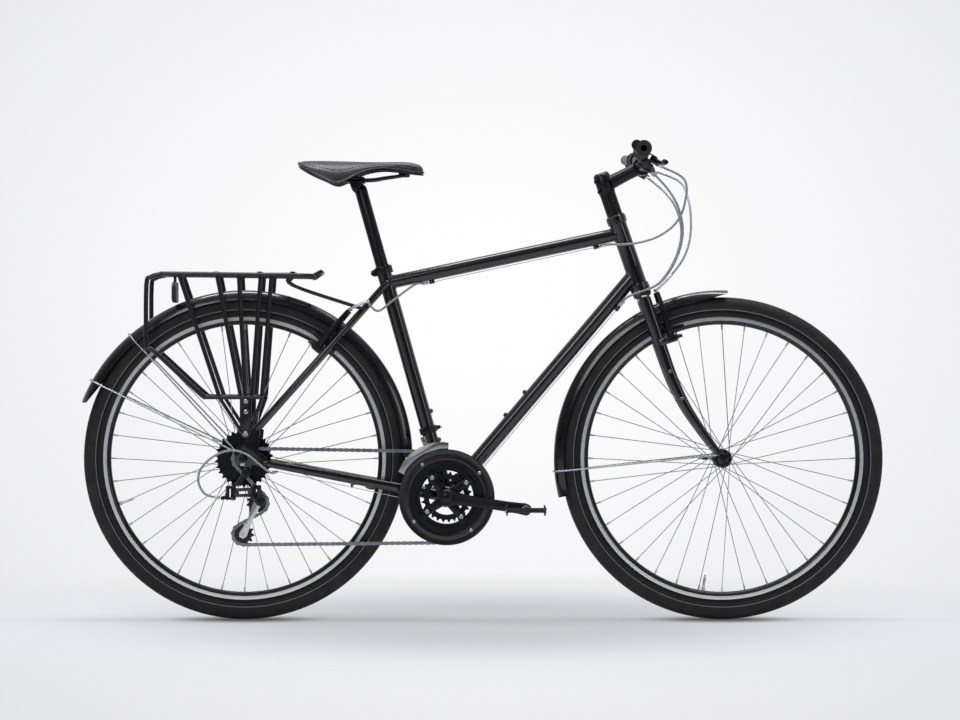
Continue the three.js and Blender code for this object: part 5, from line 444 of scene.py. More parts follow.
@contextmanager
def editing(piece: bpy.types.Object, faces: Callable[[Vector, Vector], bool] | None = None) -> Iterator[None]:
    """Opens a piece in edit mode, with all of it selected or only some faces.

    Args:
        piece: The piece to shape.
        faces: Says from a face's middle and normal, in metres, whether it is selected.
    """
    choose(piece)
    bpy.ops.object.mode_set(mode="EDIT")
    bpy.ops.mesh.select_mode(type="FACE" if faces else "VERT")
    bpy.ops.mesh.select_all(action="DESELECT" if faces else "SELECT")
    if faces:
        bpy.ops.object.mode_set(mode="OBJECT")
        for face in piece.data.polygons:
            face.select = faces(face.center, face.normal)
        bpy.ops.object.mode_set(mode="EDIT")
    yield
    bpy.ops.object.mode_set(mode="OBJECT")


def settle(piece: bpy.types.Object) -> bpy.types.Object:
    """Moves a piece's place, turn and scale into its mesh.

    Args:
        piece: The piece.

    Returns:
        The same piece.
    """
    choose(piece)
    bpy.ops.object.transform_apply(location=True, rotation=True, scale=True)
    return piece


def finish_with(piece: bpy.types.Object, kind: str, **settings: object) -> bpy.types.Object:
    """Adds a modifier to a piece and applies it.

    Args:
        piece: The piece.
        kind: Blender's name of the modifier.
        settings: The modifier's properties.

    Returns:
        The same piece.
    """
    choose(piece)
    modifier = piece.modifiers.new(kind.lower(), kind)
    for name, value in settings.items():
        setattr(modifier, name, value)
    bpy.ops.object.modifier_apply(modifier=modifier.name)
    return piece


def round_edges(
    piece: bpy.types.Object,
    width: float,
    segments: int = 2,
    angle: float = 30.0,
) -> bpy.types.Object:
    """Bevels every edge sharper than an angle, and smooths the rest.

    Args:
        piece: The piece.
        width: The bevel's width in millimetres.
        segments: Steps across the bevel.
        angle: Edges that turn by more than this many degrees are bevelled.

    Returns:
        The same piece.
    """
    if not width:
        return smooth(piece)
    finish_with(
        piece,
        "BEVEL",
        width=width * MM,
        segments=segments,
        limit_method="ANGLE",
        angle_limit=math.radians(angle),
    )
    return smooth(piece)


def smooth(piece: bpy.types.Object, angle: float = 38.0) -> bpy.types.Object:
    """Shades a piece smooth, apart from its sharp edges.

    Args:
        piece: The piece.
        angle: Edges sharper than this many degrees stay sharp.

    Returns:
        The same piece.
    """
    choose(piece)
    bpy.ops.object.shade_smooth_by_angle(angle=math.radians(angle))
    return piece


def close_up(piece: bpy.types.Object) -> bpy.types.Object:
    """Merges doubled points and turns all faces outwards.

    Args:
        piece: The piece.

    Returns:
        The same piece.
    """
    with editing(piece):
        bpy.ops.mesh.remove_doubles(threshold=MERGE)
        bpy.ops.mesh.select_all(action="SELECT")
        bpy.ops.mesh.normals_make_consistent(inside=False)
    return piece


def joined(pieces: Sequence[bpy.types.Object]) -> bpy.types.Object:
    """Joins pieces to one mesh.

    Args:
        pieces: The pieces.

    Returns:
        The joined piece.
    """
    choose(*pieces)
    if len(pieces) > 1:
        bpy.ops.object.join()
    return bpy.context.view_layer.objects.active


def copied(piece: bpy.types.Object, matrix: Matrix) -> bpy.types.Object:
    """Copies a piece with its own mesh, moved by a matrix in metres.

    Args:
        piece: The piece to copy.
        matrix: Where the copy goes, from where the piece stands.

    Returns:
        The copy.
    """
    twin = piece.copy()
    twin.data = piece.data.copy()
    bpy.context.scene.collection.objects.link(twin)
    twin.data.transform(matrix)
    if matrix.determinant() < 0:
        twin.data.flip_normals()
    return twin


def mirrored(piece: bpy.types.Object) -> bpy.types.Object:
    """Returns a copy of a piece on the bicycle's other side."""
    return copied(piece, Matrix.Scale(-1, 4, (0, 1, 0)))


def rod(
    start: Place,
    end: Place,
    radius: float,
    end_radius: float | None = None,
    sides: int = 32,
    edge: float = 0.4,
) -> bpy.types.Object:
    """Makes a straight round rod or cone with rounded ends.

    Args:
        start: The middle of its first end.
        end: The middle of its other end.
        radius: Its radius at the start.
        end_radius: Its radius at the end, where that differs.
        sides: Steps round it.
        edge: The width of the bevel at its ends, zero for none.

    Returns:
        The rod.
    """
    first, last = metres(start), metres(end)
    along = last - first
    choose()
    bpy.ops.mesh.primitive_cone_add(
        vertices=sides,
        radius1=radius * MM,
        radius2=(radius if end_radius is None else end_radius) * MM,
        depth=along.length,
        location=(first + last) / 2,
        rotation=along.to_track_quat("Z", "Y").to_euler(),
    )
    return round_edges(settle(bpy.context.object), edge, 2, 50)


def block(centre: Place, size: Place, edge: float = 0.5) -> bpy.types.Object:
    """Makes a block with rounded edges.

    Args:
        centre: Its middle.
        size: Its lengths along X, Y and Z.
        edge: The width of the bevel on its edges.

    Returns:
        The block.
    """
    choose()
    bpy.ops.mesh.primitive_cube_add(size=1, location=metres(centre), scale=metres(size))
    return round_edges(settle(bpy.context.object), edge)


def traced(points: Sequence[Vector]) -> bpy.types.Object:
    """Draws a chain of points by extruding one point from the next, and leaves it open in edit mode.

    Args:
        points: The chain, in metres.

    Returns:
        The piece, in edit mode.
    """
    choose()
    bpy.ops.mesh.primitive_plane_add(size=MM, location=points[0])
    piece = settle(bpy.context.object)
    bpy.ops.object.mode_set(mode="EDIT")
    bpy.ops.mesh.select_mode(type="VERT")
    bpy.ops.mesh.select_all(action="SELECT")
    bpy.ops.mesh.merge(type="CENTER")
    for before, point in zip(points, points[1:]):
        bpy.ops.mesh.extrude_vertices_move(TRANSFORM_OT_translate={"value": point - before})
    return piece


def lathe(
    profile: Sequence[tuple[float, float]],
    origin: Place,
    axis: Place = (0, 1, 0),
    steps: int = 48,
    start: float = 0.0,
    sweep: float = FULL_TURN,
    angle: float = 38.0,
) -> bpy.types.Object:
    """Spins a profile round an axis.

    Args:
        profile: Pairs of radius and place along the axis. A closed profile ends on its first pair.
        origin: A place on the axis, where the second number of a pair is zero.
        axis: The axis's direction.
        steps: Steps of the spin.
        start: Angle of the profile in radians, for the Y axis from +X towards +Z.
        sweep: How far it spins.
        angle: Edges sharper than this many degrees stay sharp.

    Returns:
        The spun piece.
    """
    along = Vector(axis).normalized()
    crosswise = abs(along.y) > 0.99
    across = aimed(start) if crosswise else along.cross(aside(1)).normalized()
    centre = metres(origin)
    piece = traced([centre + across * r * MM + along * a * MM for r, a in profile])
    bpy.ops.mesh.select_all(action="SELECT")
    bpy.ops.mesh.spin(steps=steps, angle=sweep, center=centre, axis=aside(1) if crosswise else along)
    if sweep < FULL_TURN - 1e-3:
        bpy.ops.mesh.select_all(action="SELECT")
        bpy.ops.mesh.remove_doubles(threshold=MERGE)
        bpy.ops.mesh.select_all(action="DESELECT")
        bpy.ops.mesh.select_non_manifold(
            extend=False, use_wire=False, use_multi_face=False, use_non_contiguous=False, use_verts=False
        )
        bpy.ops.mesh.fill_holes(sides=0)
    close_up(piece)
    return smooth(piece, angle)


def plate(outline: Sequence[Place], depth: Place, edge: float = 0.3) -> bpy.types.Object:
    """Extrudes a flat outline.

    Args:
        outline: The corners of one face.
        depth: The way and distance to the other face.
        edge: The width of the bevel on its edges, zero for none.

    Returns:
        The plate.
    """
    piece = traced([metres(p) for p in outline])
    bpy.ops.mesh.select_all(action="SELECT")
    bpy.ops.mesh.edge_face_add()
    bpy.ops.mesh.extrude_region_move(TRANSFORM_OT_translate={"value": metres(depth)})
    close_up(piece)
    return round_edges(piece, edge)


def flowing(points: Sequence[Place], steps: int = 6) -> list[Vector]:
    """Lays a smooth line through points.

    Args:
        points: The places that it passes, in order.
        steps: Pieces between each two of them.

    Returns:
        The places along the line.
    """
    line = [Vector(p) for p in points]
    padded = [2 * line[0] - line[1], *line, 2 * line[-1] - line[-2]]
    out = []
    for a, b, c, d in zip(padded, padded[1:], padded[2:], padded[3:]):
        for i in range(steps):
            t = i / steps
            out.append(
                0.5
                * (2 * b + (c - a) * t + (2 * a - 5 * b + 4 * c - d) * t**2 + (3 * b - a - 3 * c + d) * t**3)
            )
    return [*out, line[-1]]


def pipe(
    points: Sequence[Place],
    radius: float | Sequence[float],
    sides: int = 16,
    closed: bool = False,
    flat: float = 1.0,
) -> bpy.types.Object:
    """Runs a round tube along a line.

    Args:
        points: The line's places.
        radius: One radius, or one for each place.
        sides: Steps round the tube.
        closed: Whether the line ends where it starts.
        flat: The tube's width across the bicycle, as a share of its height.

    Returns:
        The tube.
    """
    radii = [radius] * len(points) if isinstance(radius, (int, float)) else list(radius)
    curve = bpy.data.curves.new("line", "CURVE")
    curve.dimensions = "3D"
    curve.bevel_depth = MM
    curve.bevel_resolution = max(0, sides // 4 - 1) if sides >= 8 else 0
    curve.use_fill_caps = not closed
    spline = curve.splines.new("POLY")
    spline.points.add(len(points) - 1)
    for point, place, size in zip(spline.points, points, radii):
        at = metres(place)
        point.co = (at.x, at.y / flat, at.z, 1)
        point.radius = size
    spline.use_cyclic_u = closed
    piece = bpy.data.objects.new("tube", curve)
    bpy.context.scene.collection.objects.link(piece)
    choose(piece)
    bpy.ops.object.convert(target="MESH")
    piece = bpy.context.object
    if flat != 1.0:
        piece.scale = (1, flat, 1)
        settle(piece)
    close_up(piece)
    return smooth(piece, 50)


def bolt(place: Place, axis: Place, radius: float, height: float, washer: float = 0.0) -> bpy.types.Object:
    """Makes a socket-head bolt whose head stands on a face.

    Args:
        place: The middle of the head's foot.
        axis: The way it stands out.
        radius: The head's radius.
        height: The head's height.
        washer: How far a washer reaches past the head, zero for none.

    Returns:
        The bolt, with its washer.
    """
    out = Vector(axis).normalized()
    foot = Vector(place)
    rise = 0.15 * radius
    profile = [
        (0, -height / 2), (radius, -height / 2), (radius, height - rise), (radius - rise, height),
        (0.55 * radius, height), (0.5 * radius, height - rise / 2), (0.48 * radius, 0.4 * height),
        (0, 0.4 * height),
    ]
    head = lathe(profile, foot, out, 18)
    if not washer:
        return head
    thick, rim = 0.25 * height, radius + washer
    ring = [(0, -thick), (rim, -thick), (rim, thick * 0.7), (rim - 0.3, thick), (0, thick)]
    return joined([head, lathe(ring, foot, out, 24)])


def cope(piece: bpy.types.Object, start: Place, end: Place, radius: float) -> bpy.types.Object:
    """Cuts a tube's end to the round face of the tube that it meets.

    Args:
        piece: The tube to cut.
        start: One end of the other tube's axis.
        end: The other end of it.
        radius: The other tube's radius.

    Returns:
        The same piece.
    """
    cutter = rod(start, end, radius, sides=48, edge=0)
    finish_with(piece, "BOOLEAN", operation="DIFFERENCE", object=cutter, solver="EXACT")
    bpy.data.objects.remove(cutter)
    return smooth(piece)


def from_part(node: bpy.types.Object) -> bpy.types.Object:
    """Copies a node of the part to work on: its points merged and its flat faces made whole.

    Args:
        node: The node.

    Returns:
        The copy.
    """
    piece = node.copy()
    piece.data = node.data.copy()
    for key in list(piece.keys()):
        del piece[key]
    piece.parent = None
    piece.matrix_world = Matrix.Identity(4)
    bpy.context.scene.collection.objects.link(piece)
    piece.hide_render = piece.hide_viewport = False
    piece.data.materials.clear()
    with editing(piece):
        bpy.ops.mesh.remove_doubles(threshold=2e-6)
        bpy.ops.mesh.dissolve_limited(angle_limit=math.radians(1.0))
    return piece


# The bicycle's working points


@dataclass(frozen=True)
class Layout:
    """Where the bicycle's axes and tubes lie."""

    outline_shift: float = -75.885
    wheel_radius: float = 346.0
    wheelbase: float = 1025.0
    chain_stay: float = 442.0
    bracket_drop: float = 82.0
    head_angle: float = math.radians(71)
    seat_angle: float = math.radians(74.3)
    fork_offset: float = 47.0
    fork_length: float = 390.0
    seat_tube_length: float = 515.0
    post_out: float = 171.0
    lower_cup_top: float = 22.0
    head_tube_top: float = 159.0
    spacers_bottom: float = 179.0
    stem_bottom: float = 228.0
    stem_top: float = 268.0
    top_stops: tuple[float, float] = (95.0, 456.0)
    down_stop: float = 545.0
    brake_reach: float = 282.0
    stay_foot_side: float = 70.3
    stay_neck_side: float = 22.0

    @property
    def bottom_bracket(self) -> Vector:
        """The middle of the bottom bracket."""
        return Vector((self.outline_shift, 0, self.wheel_radius - self.bracket_drop))

    @property
    def rear_axle(self) -> Vector:
        """The middle of the rear axle."""
        back = math.sqrt(self.chain_stay**2 - self.bracket_drop**2)
        return Vector((self.outline_shift - back, 0, self.wheel_radius))

    @property
    def front_axle(self) -> Vector:
        """The middle of the front axle."""
        return self.rear_axle + Vector((self.wheelbase, 0, 0))

    @property
    def steering_up(self) -> Vector:
        """The way up the steering axis."""
        return Vector((-math.cos(self.head_angle), 0, math.sin(self.head_angle)))

    @property
    def steering_forward(self) -> Vector:
        """The way forward, square to the steering axis."""
        return Vector((math.sin(self.head_angle), 0, math.cos(self.head_angle)))

    @property
    def seat_up(self) -> Vector:
        """The way up the seat tube."""
        return Vector((-math.cos(self.seat_angle), 0, math.sin(self.seat_angle)))

    @property
    def seat_forward(self) -> Vector:
        """The way forward, square to the seat tube."""
        return Vector((math.sin(self.seat_angle), 0, math.cos(self.seat_angle)))

    @property
    def crown_race(self) -> Vector:
        """Where the fork's crown race sits on the steering axis."""
        behind, above = self.steering_forward * self.fork_offset, self.steering_up * self.fork_length
        return self.front_axle - behind + above

    def steer(self, forward: float, side: float, up: float) -> Vector:
        """Returns a place told from the crown race along the steering group's own axes."""
        return self.crown_race + self.steering_forward * forward + self.steering_up * up + aside(side)

    def seat(self, forward: float, side: float, up: float) -> Vector:
        """Returns a place told from the bottom bracket along the seat tube's own axes."""
        return self.bottom_bracket + self.seat_forward * forward + self.seat_up * up + aside(side)

    @property
    def top_tube(self) -> tuple[Vector, Vector]:
        """The two ends of the top tube's axis."""
        return self.seat(0, 0, self.seat_tube_length - 39), self.steer(0, 0, self.head_tube_top - 22)

    @property
    def down_tube(self) -> tuple[Vector, Vector]:
        """The two ends of the down tube's axis."""
        return self.bottom_bracket, self.steer(0, 0, self.lower_cup_top + 23)

    @property
    def seat_stay(self) -> tuple[Vector, Vector]:
        """The two ends of the seat stays' axis, in the middle plane."""
        foot = self.rear_axle + Vector((66 * 0.43, 0, 66 * 0.985))
        return foot, self.seat(0, 0, self.seat_tube_length - 39)

    @property
    def rear_posts(self) -> Vector:
        """Where the rear brake's posts stand on the seat stays, in the middle plane."""
        low, high = self.seat_stay
        return low.lerp(high, share_beyond(low, high, self.rear_axle, self.brake_reach))

    @property
    def front_posts(self) -> float:
        """Where the front brake's posts stand along the steering axis, up from the crown race."""
        foot = Vector((0, 0, -self.fork_length))
        share = share_beyond(foot, Vector(), foot + Vector((self.fork_offset, 0, 0)), self.brake_reach)
        return -self.fork_length * (1 - share)

    def stay_side(self, share: float) -> float:
        """Returns the side distance of a seat stay, from 0 at its foot to 1 at its neck."""
        return self.stay_foot_side + (self.stay_neck_side - self.stay_foot_side) * share

    def beside(self, line: tuple[Vector, Vector], along: float, side: float, above: float) -> Vector:
        """Returns a place beside a tube, told along it, to the side of it and above it."""
        way = way_of(line)
        return line[0] + way * along + square(way) * above + aside(side)


LAYOUT = Layout()


@dataclass
class Fitter:
    """Puts finished pieces on the bicycle: name, body, finish and the nodes that they stand for."""

    nodes: dict[str, bpy.types.Object]
    count: int = 0

    def fit(
        self,
        piece: bpy.types.Object,
        name: str,
        body: str,
        finish: Finish,
        replaces: Sequence[str] = (),
    ) -> bpy.types.Object:
        """Fits one piece.

        Args:
            piece: The finished piece.
            name: Its name.
            body: The CAD body that it moves with.
            finish: What it is made of.
            replaces: The nodes that it stands for.

        Returns:
            The same piece.
        """
        piece.name = name
        piece.data.name = name
        finish.dress(piece)
        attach(piece, body)
        if replaces:
            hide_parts(*replaces)
        self.count += 1
        log.info("%s: %d faces on %s", name, len(piece.data.polygons), body)
        return piece

    def refine(
        self,
        node: str,
        body: str,
        finish: Finish,
        edge: float = 0.8,
        segments: int = 2,
        extras: Sequence[bpy.types.Object] = (),
    ) -> bpy.types.Object:
        """Fits a node of the part with its edges rounded.

        Args:
            node: The node's name.
            body: The CAD body that it moves with.
            finish: What it is made of.
            edge: The width of the bevel on its edges.
            segments: Steps across the bevel.
            extras: Small pieces of the same finish that belong to it.

        Returns:
            The fitted piece.
        """
        piece = round_edges(from_part(self.nodes[node]), edge, segments, 28)
        whole = joined([piece, *extras]) if extras else piece
        return self.fit(whole, f"{node}_dressed", body, finish, [node])


# Wheels


@dataclass
class Wheel:
    """One wheel: tyre, rim, brake track, spokes and hub shell."""

    name: str
    axle: Vector
    left_flange: float
    right_flange: float
    flange_radius: float
    barrel_radius: float
    hub_ends: tuple[float, float]
    valve_angle: float
    bed_radius: float = 287.0
    edge_radius: float = 317.0
    half_width: float = 12.0
    tyre_half: float = 18.5
    grooves: tuple[float, ...] = (0.0, 5.2)
    groove_half: float = 0.75
    groove_depth: float = 1.2
    line_turns: tuple[float, ...] = (114.0, 116.0, 118.0, 120.0)
    knob_count: int = 120
    knob_lean: float = math.radians(36)
    track: tuple[float, float] = (296.0, 303.5)
    spokes_per_side: int = 18
    steps: int = 144

    @property
    def body(self) -> str:
        """The CAD body that the wheel turns with."""
        return f"{self.name}_wheel"

    def build(self, fitter: Fitter) -> None:
        """Builds and fits the whole wheel.

        Args:
            fitter: Puts the pieces on the bicycle.
        """
        self._tyre(fitter)
        self._rim(fitter)
        self._spokes(fitter)
        self._hub(fitter)

    def _tyre(self, fitter: Fitter) -> None:
        """Fits the tyre with its tread, and the pale line on each sidewall.

        Args:
            fitter: Puts the pieces on the bicycle.
        """
        middle = LAYOUT.wheel_radius - self.tyre_half
        half = []
        for i in range(61):
            turn = math.radians(2.05 * i)
            side = self.tyre_half * math.sin(turn)
            grooved = i < 20 and any(abs(side - groove) < self.groove_half for groove in self.grooves)
            radius = self.tyre_half - (self.groove_depth if grooved else 0.0)
            half.append((middle + radius * math.cos(turn), side))
        half.append((self.edge_radius - 0.4, self.half_width - 1.2))
        profile = [*[(r, -y) for r, y in reversed(half)], *half[1:]]
        skin = lathe([*profile, profile[0]], self.axle, steps=self.steps, angle=30)
        whole = joined([skin, self._knobs(middle)])
        fitter.fit(whole, f"{self.name}_tyre", self.body, TYRE_RUBBER, [f"{self.name}_tire"])
        lines = []
        radius = self.tyre_half + 0.12
        for side in (-1, 1):
            turns = [math.radians(turn) for turn in self.line_turns]
            band = [(middle + radius * math.cos(turn), side * radius * math.sin(turn)) for turn in turns]
            inner = [(r, y - side * 0.4) for r, y in reversed(band)]
            lines.append(lathe([*band, *inner, band[0]], self.axle, steps=self.steps))
        fitter.fit(joined(lines), f"{self.name}_sidewall_lines", self.body, SIDEWALL_LINE)

    def _knobs(self, middle: float) -> bpy.types.Object:
        """Makes the low shoulder blocks of the tread.

        Args:
            middle: Radius of the tyre section's middle.

        Returns:
            The blocks of both shoulders.
        """
        blocks = []
        seed = block((0, 0, 0), (1.6, 5.0, 8.5), 0)
        hub = Matrix.Translation(metres(self.axle))
        for side in (-1, 1):
            out = Matrix.Translation(metres((middle, 0, 0))) @ Matrix.Rotation(side * self.knob_lean, 4, "Z")
            foot = Matrix.Translation(metres((self.tyre_half - 0.35, 0, 0)))
            reach = foot @ Matrix.Rotation(side * 0.35, 4, "X")
            for i in range(self.knob_count):
                turn = FULL_TURN * (i + 0.25 * side) / self.knob_count
                blocks.append(copied(seed, hub @ Matrix.Rotation(-turn, 4, "Y") @ out @ reach))
        bpy.data.objects.remove(seed)
        return joined(blocks)

    def _rim(self, fitter: Fitter) -> None:
        """Fits the black rim with its valve, and the bright brake track on each wall.

        Args:
            fitter: Puts the pieces on the bicycle.
        """
        inner, outer = self.bed_radius, self.edge_radius
        wall = self.half_width - 0.05
        half = [
            (inner, 0), (inner + 0.2, 3.2), (inner + 2.0, 6.4), (inner + 6.5, 10.0),
            (inner + 10.0, wall - 0.5),
            (inner + 11.5, wall), (outer - 1.2, wall), (outer - 0.4, wall - 0.5), (outer - 0.2, wall - 1.2),
            (outer - 6.0, wall - 1.8), (outer - 9.0, 4.0), (outer - 9.5, 0),
        ]
        profile = [*half, *[(r, -y) for r, y in reversed(half[:-1])]]
        rim = lathe(profile, self.axle, steps=self.steps, angle=32)
        out = aimed(self.valve_angle)
        base = self.axle + out * (inner + 2)
        valve = joined([
            rod(base, base - out * 30, 3.0, sides=16),
            rod(base - out * 30, base - out * 36, 2.2, sides=12),
            lathe([(0, 0), (5.4, 0), (5.4, -3.0), (0, -3.0)], base - out * 4, out, 6),
        ])
        fitter.fit(
            rim,
            f"{self.name}_rim_dressed",
            self.body,
            RIM_BLACK,
            [f"{self.name}_rim"],
        )
        fitter.fit(valve, f"{self.name}_valve", self.body, ZINC_STEEL)
        tracks = []
        low, high = self.track
        for side in (-1, 1):
            face, back = side * (self.half_width + 0.02), side * (self.half_width - 0.8)
            raised = face + side * 0.05
            shown = [(low, face), (low + 1, raised), (high - 1, raised), (high, face)]
            ring = [*shown, (high, back), (low, back), (low, face)]
            tracks.append(lathe(ring, self.axle, steps=self.steps))
        fitter.fit(joined(tracks), f"{self.name}_brake_track", self.body, BRAKE_TRACK)

    def _spokes(self, fitter: Fitter) -> None:
        """Fits thirty-six crossed spokes with their nipples.

        Args:
            fitter: Puts the pieces on the bicycle.
        """
        wires, nipples = [], []
        pitch = FULL_TURN / self.spokes_per_side
        reach, end = self.flange_radius - 2.5, self.bed_radius + 1.5
        for flange, rim_side, offset in ((self.left_flange, 2.5, 0.0), (-self.right_flange, -2.5, pitch / 2)):
            for i in range(self.spokes_per_side):
                weave = 1 if i % 2 else -1
                angle = i * pitch + offset
                hub = around(self.axle, reach, angle, flange + 1.3 * weave)
                tip = around(self.axle, end, angle + 3 * pitch * weave, rim_side)
                way = (tip - hub).normalized()
                wires.append(rod(hub, tip - way * 8, 0.95, sides=6, edge=0))
                wires.append(rod(hub - aside(2.6 * weave), hub + aside(1.6 * weave), 1.5, sides=6, edge=0))
                nipples.append(rod(tip - way * 12, tip + way * 1.0, 1.9, 2.2, sides=6, edge=0))
        name = self.name
        fitter.fit(joined(wires), f"{name}_spokes", self.body, SPOKE_STEEL, [f"{name}_hub"])
        fitter.fit(joined(nipples), f"{name}_nipples", self.body, ZINC_STEEL)

    def _hub(self, fitter: Fitter) -> None:
        """Fits the hub shell, waisted between its drilled flanges.

        Args:
            fitter: Puts the pieces on the bicycle.
        """
        right, left = self.hub_ends
        r, b = self.flange_radius, self.barrel_radius
        low, high = -self.right_flange, self.left_flange
        half, end_r = 2.4, 0.72 * b
        profile = [
            (5.3, right), (end_r, right), (end_r + 0.8, right + 1), (b * 0.95, low - 2 * half),
            (r * 0.72, low - half), (r - 0.8, low - half * 0.9), (r, low - half * 0.3), (r, low + half * 0.3),
            (r - 0.8, low + half * 0.9), (b * 1.15, low + half * 1.4), (b, low + half * 4),
            (b * 0.93, (low + high) / 2), (b, high - half * 4), (b * 1.15, high - half * 1.4),
            (r - 0.8, high - half * 0.9), (r, high - half * 0.3), (r, high + half * 0.3),
            (r - 0.8, high + half * 0.9), (r * 0.72, high + half), (b * 0.95, high + 2 * half),
            (end_r + 0.8, left - 1), (end_r, left), (5.3, left), (5.3, right),
        ]
        shell = lathe(profile, self.axle, steps=48)
        fitter.fit(shell, f"{self.name}_hub_shell", self.body, ANODISED_ALLOY)


# Frame


@dataclass
class FrameTubes:
    """The welded frame: main tubes, stays, dropouts and their fittings."""

    head_radius: float = 18.4
    cup_radius: float = 21.5
    seat_radius: float = 15.7
    top_radius: float = 14.3
    down_radius: float = 15.9
    shell_radius: float = 20.5
    shell_half: float = 34.0
    stay_radius: float = 7.2
    bead: float = 1.7
    bead_steps: int = 72
    down_bosses: tuple[float, float] = (215.0, 279.0)
    seat_bosses: tuple[float, float] = (122.0, 186.0)

    def build(self, fitter: Fitter) -> None:
        """Builds and fits the frame.

        Args:
            fitter: Puts the pieces on the bicycle.
        """
        self._main_tubes(fitter)
        self._chain_stays(fitter)
        self._seat_stays(fitter)
        self._welds(fitter)
        self._small(fitter)

    @staticmethod
    def _enamelled(fitter: Fitter, piece: bpy.types.Object, node: str) -> None:
        """Fits an enamelled piece of the frame for one node of the part."""
        fitter.fit(piece, f"{node}_dressed", "frame", FRAME_ENAMEL, [node])

    def _main_tubes(self, fitter: Fitter) -> None:
        """Fits the head, top, down and seat tubes, each cut to the tube that it meets.

        Args:
            fitter: Puts the pieces on the bicycle.
        """
        low, high = LAYOUT.lower_cup_top, LAYOUT.head_tube_top
        cup, head, bore = self.cup_radius, self.head_radius, 15.2
        profile = [
            (bore, 6), (cup - 1, 6), (cup, 7), (cup, low - 6), (cup - 0.6, low - 5), (cup - 0.6, low - 4),
            (cup, low - 3), (cup, low - 1), (head + 0.6, low), (head, low + 2), (head, high - 2),
            (head + 0.6, high), (cup, high + 1), (cup, high + 3), (cup - 0.6, high + 4),
            (cup - 0.6, high + 5),
            (cup, high + 6), (cup, high + 15), (cup - 3, high + 19.5), (bore, high + 20), (bore, 6),
        ]
        tube = lathe(profile, LAYOUT.crown_race, LAYOUT.steering_up, 64, angle=28)
        self._enamelled(fitter, tube, "head_tube")
        head_axis = (LAYOUT.steer(0, 0, -5), LAYOUT.steer(0, 0, 200))
        seat_axis = (LAYOUT.bottom_bracket, LAYOUT.seat(0, 0, LAYOUT.seat_tube_length))
        top = cope(rod(*LAYOUT.top_tube, self.top_radius, sides=64, edge=0), *head_axis, head)
        top = cope(top, *seat_axis, self.seat_radius)
        stops = [self._stop(LAYOUT.top_tube, along, 0, -self.top_radius - 3.6) for along in LAYOUT.top_stops]
        self._enamelled(fitter, joined([top, *stops]), "top_tube")
        line = LAYOUT.down_tube
        shell_axis = (line[0] - aside(60), line[0] + aside(60))
        down = cope(rod(*line, self.down_radius, sides=64, edge=0), *head_axis, head)
        down = cope(cope(down, *seat_axis, self.seat_radius), *shell_axis, self.shell_radius)
        stops = [self._stop(line, LAYOUT.down_stop, side, -self.down_radius - 3.6) for side in (-7, 7)]
        up, out = square(way_of(line)), LAYOUT.seat_forward
        bosses = [self._boss(LAYOUT.beside(line, at, 0, self.down_radius), up) for at in self.down_bosses]
        self._enamelled(fitter, joined([down, *stops, *bosses]), "down_tube")
        seat = cope(rod(*seat_axis, self.seat_radius, sides=64, edge=0), *shell_axis, self.shell_radius)
        seat = cope(seat, LAYOUT.seat(0, 0, 430), LAYOUT.seat(0, 0, 520), 13.9)
        bosses = [self._boss(LAYOUT.seat(self.seat_radius, 0, at), out) for at in self.seat_bosses]
        self._enamelled(fitter, joined([seat, *bosses]), "seat_tube")
        heads = [(LAYOUT.beside(line, at, 0, self.down_radius + 2.8), up) for at in self.down_bosses]
        heads += [(LAYOUT.seat(self.seat_radius + 2.8, 0, at), out) for at in self.seat_bosses]
        screws = [bolt(foot, way, 3.6, 2.6, 1.0) for foot, way in heads]
        fitter.fit(joined(screws), "bottle_boss_screws", "frame", BLACK_FASTENER)

    @staticmethod
    def _boss(foot: Vector, out: Vector) -> bpy.types.Object:
        """Returns a bottle boss that stands on a tube."""
        section = [(0, -2), (6.0, -2), (6.0, 0.2), (5.2, 1.2), (5.0, 2.6), (4.6, 3.0), (0, 3.0)]
        return lathe(section, foot, out, 24)

    @staticmethod
    def _stop(line: tuple[Vector, Vector], along: float, side: float, above: float) -> bpy.types.Object:
        """Makes a cable stop brazed under a tube.

        Args:
            line: The tube's axis.
            along: How far along it the stop stands.
            side: Its side distance.
            above: Its height above the axis.

        Returns:
            The stop.
        """
        way = way_of(line)
        middle = LAYOUT.beside(line, along, side, above)
        profile = [
            (1.4, -6), (3.2, -6), (3.7, -5.2), (3.7, 5.2), (3.2, 6), (2.9, 6), (2.8, 3), (1.4, 2.5),
            (1.4, -6),
        ]
        foot = rod(middle, middle + square(way) * 5.4, 2.4, 3.4, sides=16, edge=0)
        return joined([lathe(profile, middle, way, 20), foot])

    def _chain_stays(self, fitter: Fitter) -> None:
        """Fits the bracket shell, the two chain stays, their bridge and the dropouts.

        Args:
            fitter: Puts the pieces on the bicycle.
        """
        start, end = LAYOUT.bottom_bracket, LAYOUT.rear_axle
        stations = [
            (0.03, 19, 12), (0.1, 27.5, 12), (0.17, 33.5, 12), (0.26, 40, 11), (0.4, 47, 10.2),
            (0.55, 54, 9.5),
            (0.7, 61.5, 8.6), (0.8, 67, 8), (0.87, 70, 7), (0.9, 71, 5.2),
        ]
        line = flowing([start.lerp(end, share) + aside(side) for share, side, _ in stations], 4)
        sizes = [v.x for v in flowing([(high, 0, 0) for _, _, high in stations], 4)]
        stay = pipe(line, sizes, 32, flat=0.68)
        section = ring_section(18, self.shell_radius, -self.shell_half, self.shell_half, (0.6, 0.6))
        shell = lathe(section, start, steps=64)
        bridge_at = start.lerp(end, 0.145)
        bridge = rod(bridge_at - aside(31), bridge_at + aside(31), 6, sides=24, edge=0)
        whole = joined([shell, stay, mirrored(stay), bridge, self._dropouts(fitter)])
        self._enamelled(fitter, whole, "chain_stays")

